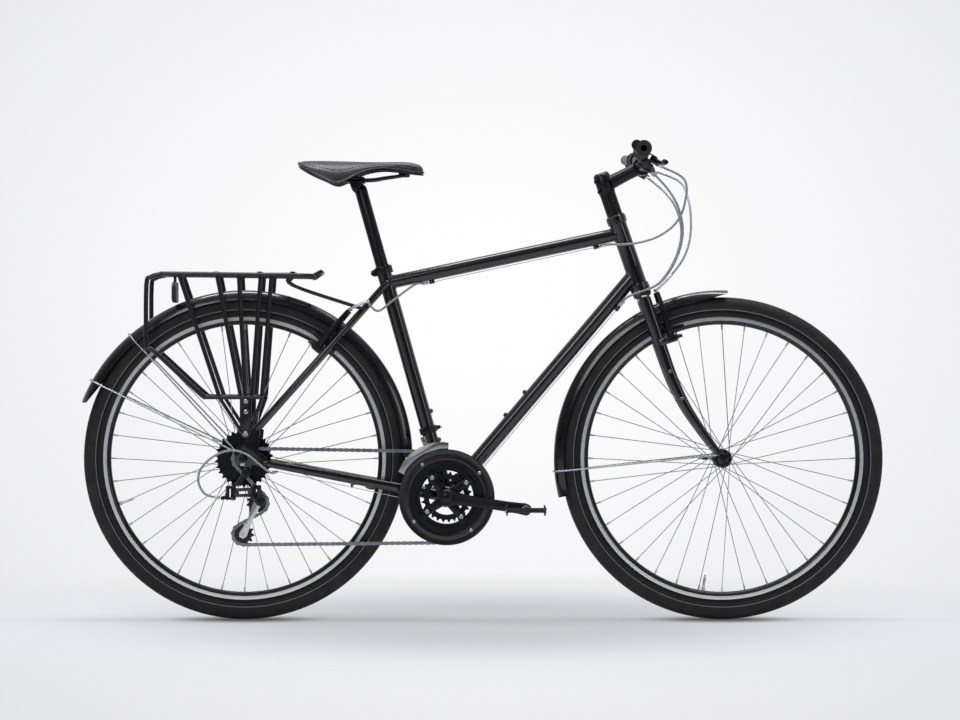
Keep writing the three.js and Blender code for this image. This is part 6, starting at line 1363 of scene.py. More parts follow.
    @staticmethod
    def _dropouts(fitter: Fitter) -> bpy.types.Object:
        """Takes the two dropout plates from the part's chain stays.

        Args:
            fitter: Holds the part's nodes.

        Returns:
            The plates, with their edges rounded.
        """
        piece = from_part(fitter.nodes["chain_stays"])
        inner, outer = 67.3 * MM, 73.4 * MM
        with editing(piece):
            rear = metres((LAYOUT.rear_axle.x + 60, 0, 0))
            bpy.ops.mesh.bisect(plane_co=rear, plane_no=(1, 0, 0), use_fill=True, clear_outer=True)
        with editing(piece, lambda centre, _: not inner <= abs(centre.y) <= outer):
            bpy.ops.mesh.delete(type="FACE")
        with editing(piece):
            bpy.ops.mesh.select_all(action="DESELECT")
            bpy.ops.mesh.select_non_manifold(extend=False)
            bpy.ops.mesh.fill_holes(sides=0)
        return round_edges(close_up(piece), 0.6)

    def _seat_stays(self, fitter: Fitter) -> None:
        """Fits the two seat stays with their bridge and the brake posts.

        Args:
            fitter: Puts the pieces on the bicycle.
        """
        low, high = LAYOUT.seat_stay
        way = way_of(LAYOUT.seat_stay)
        foot, neck = low + aside(LAYOUT.stay_foot_side), high + aside(LAYOUT.stay_neck_side)
        r = self.stay_radius
        stay = rod(foot - way * 3, neck, 6.1, r, sides=32, edge=1.5)
        cap = lathe([(0, 6.5), (3.6, 5.6), (6.0, 3.0), (r, 0), (r, -3), (0, -3)], neck, (neck - foot), 24)
        post_foot = LAYOUT.rear_posts + aside(42)
        post = rod(post_foot, post_foot + square(way) * 42, 4.0, sides=20)
        boss = rod(post_foot, post_foot + square(way) * 7.6, 8.0, sides=24)
        share = share_beyond(low, high, LAYOUT.rear_axle, 361 + 14.4)
        bridge_at, side = low.lerp(high, share), LAYOUT.stay_side(share)
        bridge = rod(bridge_at - aside(side), bridge_at + aside(side), 5.8, sides=24, edge=0)
        half = joined([stay, cap, post, boss])
        self._enamelled(fitter, joined([half, mirrored(half), bridge]), "seat_stays")

    def _welds(self, fitter: Fitter) -> None:
        """Lays the weld beads where the tubes meet.

        Args:
            fitter: Puts the pieces on the bicycle.
        """
        head = (LAYOUT.crown_race, LAYOUT.steer(0, 0, 200))
        seat = (LAYOUT.bottom_bracket, LAYOUT.seat(0, 0, LAYOUT.seat_tube_length))
        across = (LAYOUT.bottom_bracket, LAYOUT.bottom_bracket + aside(1))
        top_low, top_high = LAYOUT.top_tube
        down_low, down_high = LAYOUT.down_tube
        middle_of_top = top_low.lerp(top_high, 0.5)
        middle_of_down = down_low.lerp(down_high, 0.5)
        joints = [
            (middle_of_top, top_high, self.top_radius, head, self.head_radius),
            (middle_of_top, top_low, self.top_radius, seat, self.seat_radius),
            (middle_of_down, down_high, self.down_radius, head, self.head_radius),
            (middle_of_down, down_low, self.down_radius, across, self.shell_radius),
            (LAYOUT.seat(0, 0, 200), LAYOUT.bottom_bracket, self.seat_radius, across, self.shell_radius),
        ]
        beads = [self._bead(*joint) for joint in joints]
        fitter.fit(joined(beads), "frame_weld_beads", "frame", FRAME_ENAMEL)

    def _bead(
        self, start: Vector, end: Vector, radius: float, other: tuple[Vector, Vector], other_radius: float
    ) -> bpy.types.Object:
        """Lays one rippled bead along the line where a tube meets another tube's face.

        Args:
            start: A place on the tube's axis, away from the joint.
            end: Where its axis meets the other tube's.
            radius: The tube's radius.
            other: Two places on the other tube's axis.
            other_radius: The other tube's radius.

        Returns:
            The bead.
        """
        way = (end - start).normalized()
        one = way.orthogonal().normalized()
        two = way.cross(one)
        spin = way_of(other)
        places, sizes = [], []
        for i in range(self.bead_steps):
            turn = FULL_TURN * i / self.bead_steps
            base = start + one * radius * math.cos(turn) + two * radius * math.sin(turn)
            apart = base - other[0]
            a = way - spin * way.dot(spin)
            b = apart - spin * apart.dot(spin)
            qa, qb, qc = a.dot(a), 2 * a.dot(b), b.dot(b) - other_radius**2
            root = qb * qb - 4 * qa * qc
            reach = (-qb - math.sqrt(root)) / (2 * qa) if root > 0 else -qb / (2 * qa)
            places.append(base + way * reach)
            sizes.append(self.bead * (1.12 if i % 2 else 0.92))
        return pipe(places, sizes, 8, closed=True)

    def _small(self, fitter: Fitter) -> None:
        """Fits the seat clamp, the bearing cups and the rear axle with its lever.

        Args:
            fitter: Puts the pieces on the bicycle.
        """
        fitter.refine("seat_clamp", "frame", ANODISED_ALLOY, 1.0)
        fitter.refine("bottom_bracket_cartridge", "frame", BLACK_FASTENER, 0.5)
        fitter.refine("rear_axle", "frame", ANODISED_ALLOY, 0.9)


# Fork and cockpit


@dataclass
class Fork:
    """The fork: steerer, crown, curved blades, tips and brake posts."""

    blade_side: float = 36.0
    tip_side: float = 52.8
    blade_depth: float = 14.0
    flat: float = 0.715

    def build(self, fitter: Fitter) -> None:
        """Builds and fits the fork.

        Args:
            fitter: Puts the pieces on the bicycle.
        """
        reach, drop = LAYOUT.fork_offset, LAYOUT.fork_length
        shares = [
            (0.03, 0, 1), (0.16, 0, 1), (0.3, 0, 0.95), (0.5, 0.02, 0.87), (0.66, 0.18, 0.75),
            (0.8, 0.47, 0.63),
            (0.9, 0.72, 0.54), (0.975, 0.93, 0.47),
        ]
        line = flowing(
            [LAYOUT.steer(reach * offset, self._side(down), -drop * down) for down, offset, _ in shares]
        )
        sizes = [self.blade_depth * v.x for v in flowing([(size, 0, 0) for _, _, size in shares])]
        blade = pipe(line, sizes, 32, flat=self.flat)
        half_crown = [(0.6, 1.0), (0.86, 0.95), (1.0, 0.62)]
        crown_places = [*[(-s, size) for s, size in reversed(half_crown)], (0, 1.06), *half_crown]
        crown_line = flowing([LAYOUT.steer(0, s * 41.5, -12 - 3 * abs(s)) for s, _ in crown_places], 4)
        crown_sizes = [v.x for v in flowing([(12.4 * size, 0, 0) for _, size in crown_places], 4)]
        crown = pipe(crown_line, crown_sizes, 32)
        race_section = [(0, -8), (17, -8), (20, -4), (20, 4.5), (18.5, 5.7), (0, 5.7)]
        race = lathe(race_section, LAYOUT.crown_race, LAYOUT.steering_up, 48)
        steerer = rod(LAYOUT.steer(0, 0, -12), LAYOUT.steer(0, 0, LAYOUT.stem_top - 2), 14.3, sides=48)
        post_foot, out = LAYOUT.steer(0, 42, LAYOUT.front_posts), LAYOUT.steering_forward
        post = rod(post_foot, post_foot + out * 51, 4.0, sides=20)
        boss = rod(post_foot, post_foot + out * 16.7, 8.0, sides=24)
        half = joined([blade, post, boss])
        whole = joined([steerer, race, crown, half, mirrored(half), self._tips(fitter)])
        fitter.fit(whole, "fork_dressed", "steering", FRAME_ENAMEL, ["fork"])
        screws = []
        for down, ahead, standing in ((0.453, 0.02, 7.4), (0.615, 0.13, 6.4)):
            at = LAYOUT.steer(reach * ahead, self._side(down) + standing, -drop * down)
            screws.append(bolt(at, aside(1), 3.2, 2.0, 0.7))
        screws += [mirrored(screw) for screw in screws]
        fitter.fit(joined(screws), "fork_eyelet_screws", "steering", ZINC_STEEL)
        fitter.refine("front_axle", "steering", ANODISED_ALLOY, 0.9)

    def _side(self, down: float) -> float:
        """Returns a blade's side distance at a share of the way down; it spreads after three tenths."""
        return self.blade_side + (self.tip_side - self.blade_side) * max(0.0, down - 0.3) / 0.7

    @staticmethod
    def _tips(fitter: Fitter) -> bpy.types.Object:
        """Takes the slotted fork tips from the part's fork.

        Args:
            fitter: Holds the part's nodes.

        Returns:
            Both tips, with their edges rounded.
        """
        piece = from_part(fitter.nodes["fork"])
        top = metres(LAYOUT.front_axle + Vector((0, 0, 22)))
        with editing(piece):
            bpy.ops.mesh.bisect(plane_co=top, plane_no=LAYOUT.steering_up, use_fill=True, clear_outer=True)
        return round_edges(close_up(piece), 0.7)


@dataclass
class Cockpit:
    """Stem, headset spacers, handlebar and grips."""

    bar_half: float = 300.0
    bar_radius: float = 11.1
    clamp_radius: float = 12.9
    sweep: float = 24.0
    rise: float = 29.0
    reach: float = 90.0
    rise_angle: float = math.radians(7)
    grip_length: float = 125.0
    grip_radius: float = 15.5
    grip_ribs: int = 15

    @property
    def bar_centre(self) -> Vector:
        """The middle of the handlebar."""
        up = (LAYOUT.stem_bottom + LAYOUT.stem_top) / 2 + self.reach * math.sin(self.rise_angle)
        return LAYOUT.steer(self.reach * math.cos(self.rise_angle), 0, up)

    def bar_place(self, side: float) -> Vector:
        """Finds a place on the handlebar's centre line.

        Args:
            side: Its side distance.

        Returns:
            The place.
        """
        shares = [
            (0, 0, 0), (0.14, 0, 0), (0.24, 0.03, 0.12), (0.38, 0.12, 0.5), (0.5, 0.25, 0.72), (1, 1, 1),
        ]
        share = abs(side) / self.bar_half
        for (a, sweep_a, rise_a), (b, sweep_b, rise_b) in zip(shares, shares[1:]):
            if share <= b or b == 1:
                part = (share - a) / (b - a)
                back = self.sweep * (sweep_a + (sweep_b - sweep_a) * part)
                up = self.rise * (rise_a + (rise_b - rise_a) * part)
                return self.bar_centre + Vector((-back, side, up))
        return self.bar_centre

    def build(self, fitter: Fitter) -> None:
        """Builds and fits the cockpit.

        Args:
            fitter: Puts the pieces on the bicycle.
        """
        self._bar(fitter)
        self._grips(fitter)
        self._stem(fitter)

    def _bar(self, fitter: Fitter) -> None:
        """Fits the handlebar, thicker where the stem holds it.

        Args:
            fitter: Puts the pieces on the bicycle.
        """
        half = (0.06, 0.14, 0.24, 0.38, 0.5, 0.75, 0.995)
        line = flowing([self.bar_place(s * self.bar_half) for s in (*[-s for s in reversed(half)], *half)])
        sizes = []
        for place in line:
            part = min(1.0, max(0.0, (abs(place.y) - 36) / 16))
            sizes.append(self.clamp_radius + (self.bar_radius - self.clamp_radius) * part)
        bar = pipe(line, sizes, 32)
        fitter.fit(bar, "handlebar_dressed", "steering", ANODISED_ALLOY, ["handlebar"])

    def _grips(self, fitter: Fitter) -> None:
        """Fits the two ribbed grips, each with a paler band round its middle.

        Args:
            fitter: Puts the pieces on the bicycle.
        """
        start, end = self.bar_place(self.bar_half - self.grip_length), self.bar_place(self.bar_half)
        way = end - start
        length = way.length
        bore, r = self.bar_radius + 0.4, self.grip_radius
        outer = [(bore, 0), (r * 1.08, 0), (r * 1.13, 1.2), (r * 1.13, 4.2), (r * 1.03, 6.2)]
        first, last = 10.0, length - 12.0
        for i in range(self.grip_ribs):
            at = first + (last - first) * i / (self.grip_ribs - 1)
            swell = 0.55 * math.sin(math.pi * (at - first) / (last - first))
            for step, rise in ((-2.4, 0), (-1.6, 0.7), (1.2, 0.7), (2.0, 0)):
                outer.append((r - 0.9 + swell + rise, at + step))
        face = length + 2.5
        outer += [(r, length - 6), (r, length + 1.2), (r * 0.94, length + 2.4), (bore * 0.5, face), (0, face)]
        left = lathe([(0, length - 0.2), (bore, length - 0.2), *outer], start, way, 48, angle=30)
        at = length * 0.52
        band = [(r - 1, at - 9), (r + 0.42, at - 8.6), (r + 0.62, at), (r + 0.42, at + 8.6), (r - 1, at + 9)]
        ring = lathe([*band, band[0]], start, way, 48)
        for side, grip, strip in (("left", left, ring), ("right", mirrored(left), mirrored(ring))):
            fitter.fit(grip, f"grip_{side}_dressed", "steering", GRIP_RUBBER, [f"grip_{side}"])
            fitter.fit(strip, f"grip_{side}_band", "steering", GRIP_BAND)

    def _stem(self, fitter: Fitter) -> None:
        """Fits the stem with its spacer stack, top cap, face plate and bolts.

        Args:
            fitter: Puts the pieces on the bicycle.
        """
        race, up = LAYOUT.crown_race, LAYOUT.steering_up
        base, low, high = LAYOUT.spacers_bottom, LAYOUT.stem_bottom, LAYOUT.stem_top
        edges = [base + 0.3, base + 10, base + 20, base + 30, base + 40, low - 0.2]
        sections = [ring_section(14.7, 17.0, a, b - 0.1, (0.4, 0.5)) for a, b in zip(edges, edges[1:])]
        rings = [lathe(section, race, up, 40) for section in sections]
        clamp = lathe(ring_section(14.7, 18, low, high, (0.6, 0.8)), race, up, 40)
        cap_section = [
            (0, high + 0.1), (17, high + 0.1), (17.2, high + 1.5), (14.6, high + 5.2), (13.2, high + 6),
            (5, high + 6), (4.6, high + 4.5), (0, high + 4.5),
        ]
        cap = lathe(cap_section, race, up, 40)
        middle = (low + high) / 2
        start = LAYOUT.steer(15, 0, middle)
        out = (self.bar_centre - start).normalized()
        end = self.bar_centre - out * 13
        sizes = [15.4, 15.2, 15, 14.8, 14.6, 14.4, 14.2, 14.1, 14.1, 14.2, 14.4, 14.7, 15]
        body = pipe(flowing([start, start.lerp(end, 0.3), start.lerp(end, 0.7), end], 4), sizes, 32)
        face = lathe(ring_section(13, 20, -22, 22, (1, 1)), self.bar_centre, steps=40)
        whole = joined([clamp, body, face])
        fitter.fit(whole, "stem_dressed", "steering", ANODISED_ALLOY, ["stem"])
        fitter.fit(joined([*rings, cap]), "headset_spacers", "steering", ANODISED_ALLOY)
        screws = []
        for v in (-1, 1):
            for s in (-1, 1):
                at = self.bar_centre + out * 17 + square(out) * (15 * v) + aside(15 * s)
                screws.append(bolt(at, out, 4.0, 4.0))
                screws.append(bolt(LAYOUT.steer(-15, 11 * s, middle + 11.5 * v), aside(s), 4.2, 6.0))
        screws.append(bolt(LAYOUT.steer(0, 0, high + 4.2), up, 4.2, 2.4))
        fitter.fit(joined(screws), "stem_bolts", "steering", BLACK_FASTENER)


COCKPIT = Cockpit()


# Cables


@dataclass
class Cables:
    """Brake and gear cables: grey housing, ferrules and bare wire."""

    housing_radius: float = 2.5
    wire_radius: float = 0.9
    ferrule_radius: float = 3.0
    lever_angle: float = math.radians(49)
    stop_end: float = 7.2
    below_top: float = -17.9
    below_down: float = -19.5
    guide_radius: float = 23.2

    def from_bar(self, side: float, out: float, normal: float) -> Vector:
        """Tells a place from the handlebar along the brake lever's own axes.

        Args:
            side: The side distance of the place on the bar.
            out: How far it lies along the lever, outwards.
            normal: How far it lies above the lever.

        Returns:
            The place.
        """
        ahead, up = LAYOUT.steering_forward, LAYOUT.steering_up
        cosine, sine = math.cos(self.lever_angle), math.sin(self.lever_angle)
        lever_out = ahead * cosine - up * sine
        lever_normal = ahead * sine + up * cosine
        return COCKPIT.bar_place(side) + lever_out * out + lever_normal * normal

    @property
    def adjuster_end(self) -> Vector:
        """Where the left brake housing leaves its adjuster."""
        return at_side(self.from_bar(119, 35, 0), 116.6)

    @property
    def pod_end(self) -> Vector:
        """Where the left gear housing leaves its shifter."""
        return at_side(self.from_bar(125, 31.2, -18.4), 124.4)

    def ferrule(self, end: Vector, before: Vector) -> bpy.types.Object:
        """Makes the metal cap on a housing's end.

        Args:
            end: The housing's end.
            before: A place on the housing just before it.

        Returns:
            The ferrule.
        """
        way = (end - before).normalized()
        r = self.ferrule_radius
        section = [(0, -13), (r * 0.9, -13), (r, -12.4), (r, -1), (r * 0.85, 0), (0, 0)]
        return lathe(section, end - way * 0.4, way, 20)

    def housing(self, points: Sequence[Place], steps: int = 8) -> bpy.types.Object:
        """Makes one length of housing through points."""
        return pipe(flowing(points, steps), self.housing_radius, 16)

    def build(self, fitter: Fitter) -> None:
        """Builds and fits all four cables.

        Args:
            fitter: Puts the pieces on the bicycle.
        """
        self._front_brake(fitter)
        self._rear_brake(fitter)
        self._gear(fitter, 1)
        self._gear(fitter, -1)

    def _bending(self, points: Sequence[Vector], name: str, node: str) -> None:
        """Makes a housing that runs from the steering to the frame; it moves with neither.

        Args:
            points: Its route.
            name: Its name.
            node: The node that it stands for.
        """
        piece = self.housing(points, 10)
        piece.name = piece.data.name = name
        CABLE_JACKET.dress(piece)
        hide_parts(node)
        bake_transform(piece)
        log.info("%s: blended from steering to frame", name)

    def _front_brake(self, fitter: Fitter) -> None:
        """Fits the front brake's housing, its bent noodle and the wire between the arms.

        Args:
            fitter: Puts the pieces on the bicycle.
        """
        arm = LAYOUT.steer(17 + 20 * 0.55 + 2, 0, LAYOUT.front_posts + 104 + 5)
        hops = ((160, 88, 205), (164, 50, 165), (153, 16, 118), (133, -12, 74), (104, -38, 40), (62, -58, 12))
        route = [self.adjuster_end, *[LAYOUT.steer(*hop) for hop in hops]]
        housing = self.housing(route)
        fitter.fit(
            housing, "front_brake_housing", "steering", CABLE_JACKET, ["front_brake_cable"]
        )
        metal = [
            self._noodle([route[-2].lerp(route[-1], 0.85), route[-1], arm + aside(-50), arm + aside(-29)]),
            self.ferrule(route[0], route[1]),
            self._crossing(arm),
        ]
        fitter.fit(joined(metal), "front_brake_noodle", "steering", ZINC_STEEL)
        fitter.fit(self._boot(arm), "front_brake_boot", "steering", PAD_RUBBER)

    @staticmethod
    def _noodle(points: Sequence[Place]) -> bpy.types.Object:
        """Returns the bent guide tube that leads the wire across the arms."""
        return pipe(flowing(points, 8), 2.9, 16)

    def _crossing(self, arm: Vector) -> bpy.types.Object:
        """Returns the bare wire between two brake arms, told from its middle."""
        return pipe([arm + aside(-30), arm + aside(42)], self.wire_radius, 8)

    @staticmethod
    def _boot(arm: Vector) -> bpy.types.Object:
        """Makes the ribbed rubber sleeve over the crossing wire.

        Args:
            arm: The middle of the wire between the arms.

        Returns:
            The sleeve.
        """
        profile = [(0, -27)]
        for i in range(10):
            at = -27 + i * 4.6
            profile += [(2.2, at), (3.6, at + 1.4), (3.6, at + 2.6), (2.2, at + 4.0)]
        profile.append((0, 19.5))
        return lathe(profile, arm, steps=20, angle=50)

    def _rear_brake(self, fitter: Fitter) -> None:
        """Fits the rear brake's two housings, the wire under the top tube, its noodle and boot.

        Args:
            fitter: Puts the pieces on the bicycle.
        """
        line, below = LAYOUT.top_tube, self.below_top
        rear_stop, front_stop = LAYOUT.top_stops
        hops = ((160, -88, 200), (146, -62, 152), (114, -46, 118), (66, -38, 104), (14, -31, 108))
        front = [
            self.adjuster_end * Vector((1, -1, 1)),
            *[LAYOUT.steer(*hop) for hop in hops],
            LAYOUT.beside(line, front_stop + self.stop_end + 20, -9, below),
            LAYOUT.beside(line, front_stop + self.stop_end, 0, below),
        ]
        stay_way = way_of(LAYOUT.seat_stay)
        arm = LAYOUT.rear_posts + square(stay_way) * (8 + 20 * 0.55 + 2) + stay_way * 109
        back = [
            LAYOUT.beside(line, rear_stop - self.stop_end, 0, below),
            LAYOUT.beside(line, rear_stop - self.stop_end - 8, 0, below),
            LAYOUT.beside(line, rear_stop - self.stop_end - 30, -12, below) + Vector((0, 0, 2)),
            LAYOUT.seat(4, -24, 437),
            LAYOUT.seat(-34, -34, 423),
            arm + Vector((36, -60, 16)),
        ]
        self._bending(front, "rear_brake_front_housing", "rear_brake_cable")
        fitter.fit(self.housing(back), "rear_brake_rear_housing", "frame", CABLE_JACKET)
        bare = [LAYOUT.beside(line, stop, 0, below) for stop in LAYOUT.top_stops]
        metal = [
            self._noodle([back[-2].lerp(back[-1], 0.85), back[-1], arm + aside(-52), arm + aside(-29)]),
            self._crossing(arm),
            pipe(bare, self.wire_radius, 8),
            self.ferrule(front[-1], front[-2]),
            self.ferrule(back[0], back[1]),
        ]
        fitter.fit(joined(metal), "rear_brake_wire", "frame", ZINC_STEEL)
        fitter.fit(self.ferrule(front[0], front[1]), "rear_brake_ferrule", "steering", ZINC_STEEL)
        fitter.fit(self._boot(arm), "rear_brake_boot", "frame", PAD_RUBBER)

    def _gear(self, fitter: Fitter, side: int) -> None:
        """Fits one gear cable.

        Args:
            fitter: Puts the pieces on.
            side: 1 for the front derailleur's cable, on the left, and -1 for the rear one's.
        """
        name = "front_shift" if side > 0 else "rear_shift"
        line, below = LAYOUT.down_tube, self.below_down
        end = LAYOUT.beside(line, LAYOUT.down_stop + self.stop_end, 7, below)
        hops = ((124, 62, 186), (132, 36, 140), (122, 27, 90), (88, 28, 42), (38, 33, 8))
        points = [
            self.pod_end,
            *[LAYOUT.steer(*hop) for hop in hops],
            end + way_of(line) * 30 + Vector((0, 13, -2)),
            end,
        ]
        placed = [point * Vector((1, side, 1)) for point in points]
        self._bending(placed, f"{name}_housing", f"{name}_cable")
        route = [LAYOUT.beside(line, along, 7 * side, below) for along in (LAYOUT.down_stop, 121)]
        route += [self._guided(-62, 7 * side), self._guided(-100, 7 * side)]
        metal = [self.ferrule(placed[-1], placed[-2])]
        if side > 0:
            route += [self._guided(-140, 4.2), self._guided(-178, -2.8), LAYOUT.seat(-10, -24, 136)]
        else:
            stop_at = LAYOUT.bottom_bracket.lerp(LAYOUT.rear_axle, 0.83) + Vector((0, -61, -13))
            route.append(stop_at)
            loop = self._derailleur_loop(stop_at)
            fitter.fit(
                self.housing(loop, 6),
                "rear_derailleur_housing",
                "frame",
                CABLE_JACKET,
            )
            metal += [self.ferrule(loop[0], loop[1]), self.ferrule(loop[-1], loop[-2])]
        metal.append(pipe(route, self.wire_radius, 8))
        fitter.fit(joined(metal), f"{name}_wire", "frame", ZINC_STEEL)
        fitter.fit(self.ferrule(placed[0], placed[1]), f"{name}_ferrule", "steering", ZINC_STEEL)

    def _guided(self, angle: float, side: float) -> Vector:
        """Returns a place in the guide under the bottom bracket, at an angle in degrees."""
        return around(LAYOUT.bottom_bracket, self.guide_radius, math.radians(angle), side)

    @staticmethod
    def _derailleur_loop(stop_at: Vector) -> list[Vector]:
        """Lays the housing's route round the back of the rear derailleur.

        Args:
            stop_at: Where its stop stands on the chain stay.

        Returns:
            The places along it.
        """
        axle, side, tilt = LAYOUT.rear_axle, -84.8, math.radians(20)
        hops = [
            (34, side, -9), (10, side, 10), (-22, side, 19), (-56, side, 9), (-86, side, -17),
            (-94, side + 2, -46), (-80, side + 4, -74),
        ]
        tip = axle + Vector((-32, -78, -72)) + Vector((0, math.sin(tilt), math.cos(tilt))) * -9
        tip += Vector((-14, 0, -3))
        middle = [axle + Vector(hop) for hop in hops]
        return [stop_at, stop_at + Vector((-14, -12, -2)), *middle, tip + Vector((-1.8, 0, 0))]


# Drive

CHAIN_PITCH = 12.7


def pitch_radius(teeth: int) -> float:
    """Returns the pitch radius of a wheel with a number of teeth."""
    return CHAIN_PITCH / (2 * math.sin(math.pi / teeth))


@dataclass(frozen=True)
class ChainWheel:
    """A toothed wheel on the chain's path."""

    centre: Vector
    teeth: int
    turn: int
    plane: float

    @property
    def radius(self) -> float:
        """Its pitch radius."""
        return pitch_radius(self.teeth)

    def place(self, angle: float) -> Vector:
        """Returns a place on its pitch circle."""
        return around(self.centre, self.radius, angle, -self.plane)


@dataclass
class Drive:
    """Chain, sprockets, chainrings, cranks and pedals."""

    links: int = 116
    ring_teeth: tuple[int, ...] = (48, 36, 26)
    ring_planes: tuple[float, ...] = (55.0, 47.5, 40.0)
    cog_teeth: tuple[int, ...] = (11, 13, 15, 17, 20, 23, 26, 30)
    cog_step: float = 4.8
    small_plane: float = 61.0
    crank_length: float = 170.0
    crank_tilt: float = math.radians(8.4)
    eye_face: float = 86.35
    guide: Vector = LAYOUT.rear_axle + Vector((31, 0, -94))
    tension: Vector = Vector((-510.052, 0, 185.283))

    def build(self, fitter: Fitter) -> None:
        """Builds and fits the drive.

        Args:
            fitter: Puts the pieces on the bicycle.
        """
        self._chain(fitter)
        self._cassette(fitter)
        self._rings(fitter)
        self._cranks(fitter)
        self._pedals(fitter)

    def _path(self) -> list[tuple[Vector, Vector]]:
        """Lays the joints of the chain round its four wheels.

        Returns:
            The place of each joint, and the way from it to the next one.
        """
        bb, axle = LAYOUT.bottom_bracket, LAYOUT.rear_axle
        wheels = [
            ChainWheel(bb, self.ring_teeth[0], 1, self.ring_planes[0]),
            ChainWheel(self.tension, 11, 1, self.small_plane),
            ChainWheel(self.guide, 11, -1, self.small_plane),
            ChainWheel(axle, self.cog_teeth[0], 1, self.small_plane),
        ]
        runs = []
        for a, b in zip(wheels, wheels[1:] + wheels[:1]):
            ra, rb = a.radius * a.turn, b.radius * b.turn
            apart = b.centre - a.centre
            heading = math.atan2(apart.z, apart.x) + math.asin((rb - ra) / math.hypot(apart.x, apart.z))
            leave = heading + math.copysign(math.pi / 2, a.turn)
            arrive = heading + math.copysign(math.pi / 2, b.turn)
            runs.append((leave, arrive))
        pieces = []
        total = 0.0
        for i, wheel in enumerate(wheels):
            arrive, leave = runs[i - 1][1], runs[i][0]
            wrap = (wheel.turn * (arrive - leave)) % FULL_TURN
            count = wrap * wheel.teeth / FULL_TURN
            pieces.append((total, count, wheel, arrive, None))
            total += count
            start, end = wheel.place(leave), wheels[(i + 1) % 4].place(runs[i][1])
            length = math.hypot(end.x - start.x, end.z - start.z) / CHAIN_PITCH
            pieces.append((total, length, None, 0.0, (start, end)))
            total += length
        stretch = total / self.links
        places = []
        for i in range(self.links):
            along = i * stretch
            for begin, count, wheel, arrive, run in pieces:
                if begin <= along < begin + count:
                    if wheel is not None:
                        places.append(
                            wheel.place(arrive - wheel.turn * (along - begin) * FULL_TURN / wheel.teeth)
                        )
                    else:
                        places.append(run[0].lerp(run[1], (along - begin) / count))
                    break
        return [(place, places[(i + 1) % len(places)] - place) for i, place in enumerate(places)]

    def _link(self, inner: float, outer: float, waist: float) -> bpy.types.Object:
        """Makes a pair of link plates along X, from one joint to the next.

        Args:
            inner: The plates' inner faces, from the middle plane.
            outer: Their outer faces.
            waist: Half their height between the joints.

        Returns:
            The pair.
        """
        high = 4.1
        outline = []
        ends = ((0.0, (90, 135, 180, 225, 270), -waist), (CHAIN_PITCH, (-90, -45, 0, 45, 90), waist))
        for along, turns, low in ends:
            for turn in (math.radians(t) for t in turns):
                outline.append((along + high * math.cos(turn), high * math.sin(turn)))
            outline.append((CHAIN_PITCH / 2, low))
        sides = []
        for side in (-1, 1):
            face = [(x, side * inner, z) for x, z in outline]
            sides.append(plate(face, (0, side * (outer - inner), 0), 0))
        return joined(sides)

    def _chain(self, fitter: Fitter) -> None:
        """Fits every link of the chain, with its rollers and pins.

        Args:
            fitter: Puts the pieces on the bicycle.
        """
        narrow = self._link(1.75, 2.5, 3.2)
        wide = self._link(2.6, 3.4, 3.0)
        roller = rod((0, -1.7, 0), (0, 1.7, 0), 3.8, sides=10, edge=0)
        pin = rod((0, -3.75, 0), (0, 3.75, 0), 1.7, sides=8, edge=0)
        joint = joined([roller, pin])
        links, joints = [], []
        for i, (place, way) in enumerate(self._path()):
            turn = Matrix.Rotation(-math.atan2(way.z, way.x), 4, "Y")
            reach = Matrix.Scale(way.length / CHAIN_PITCH, 4, (1, 0, 0))
            stand = Matrix.Translation(metres(place)) @ turn
            links.append(copied(wide if i % 2 else narrow, stand @ reach))
            joints.append(copied(joint, stand))
        for seed in (narrow, wide, joint):
            bpy.data.objects.remove(seed)
        fitter.fit(joined(links + joints), "chain_links", "frame", CHAIN_STEEL, ["chain"])

    @staticmethod
    def sprocket(
        centre: Vector, teeth: int, plane: float, hole: float, phase: float, half: float = 0.9
    ) -> bpy.types.Object:
        """Makes a toothed disc with a round hole.

        Args:
            centre: A place on its axis, in the middle plane.
            teeth: The number of teeth.
            plane: How far right of the middle plane it lies.
            hole: The hole's radius.
            phase: The angle of one valley between teeth.
            half: Half its thickness.

        Returns:
            The disc.
        """
        radius = pitch_radius(teeth)
        shape = ((0.0, -3.9), (0.2, -3.0), (0.36, 0.5), (0.45, 2.2), (0.55, 2.2), (0.64, 0.5), (0.8, -3.0))
        outline = []
        for i in range(teeth):
            for share, rise in shape:
                turn = phase + FULL_TURN * (i + share) / teeth
                outline.append(around(centre, radius + rise, turn, -plane - half))
        piece = traced([metres(p) for p in [*outline, outline[0]]])
        bpy.ops.mesh.select_all(action="SELECT")
        bpy.ops.mesh.remove_doubles(threshold=MERGE)
        bpy.ops.mesh.primitive_circle_add(
            vertices=32,
            radius=hole * MM,
            location=metres(centre + aside(-plane - half)),
            rotation=(math.pi / 2, 0, 0),
        )
        bpy.ops.mesh.select_all(action="SELECT")
        bpy.ops.mesh.fill(use_beauty=True)
        bpy.ops.mesh.select_all(action="SELECT")
        bpy.ops.mesh.extrude_region_move(TRANSFORM_OT_translate={"value": (0, 2 * half * MM, 0)})
        close_up(piece)
        return smooth(piece, 30)

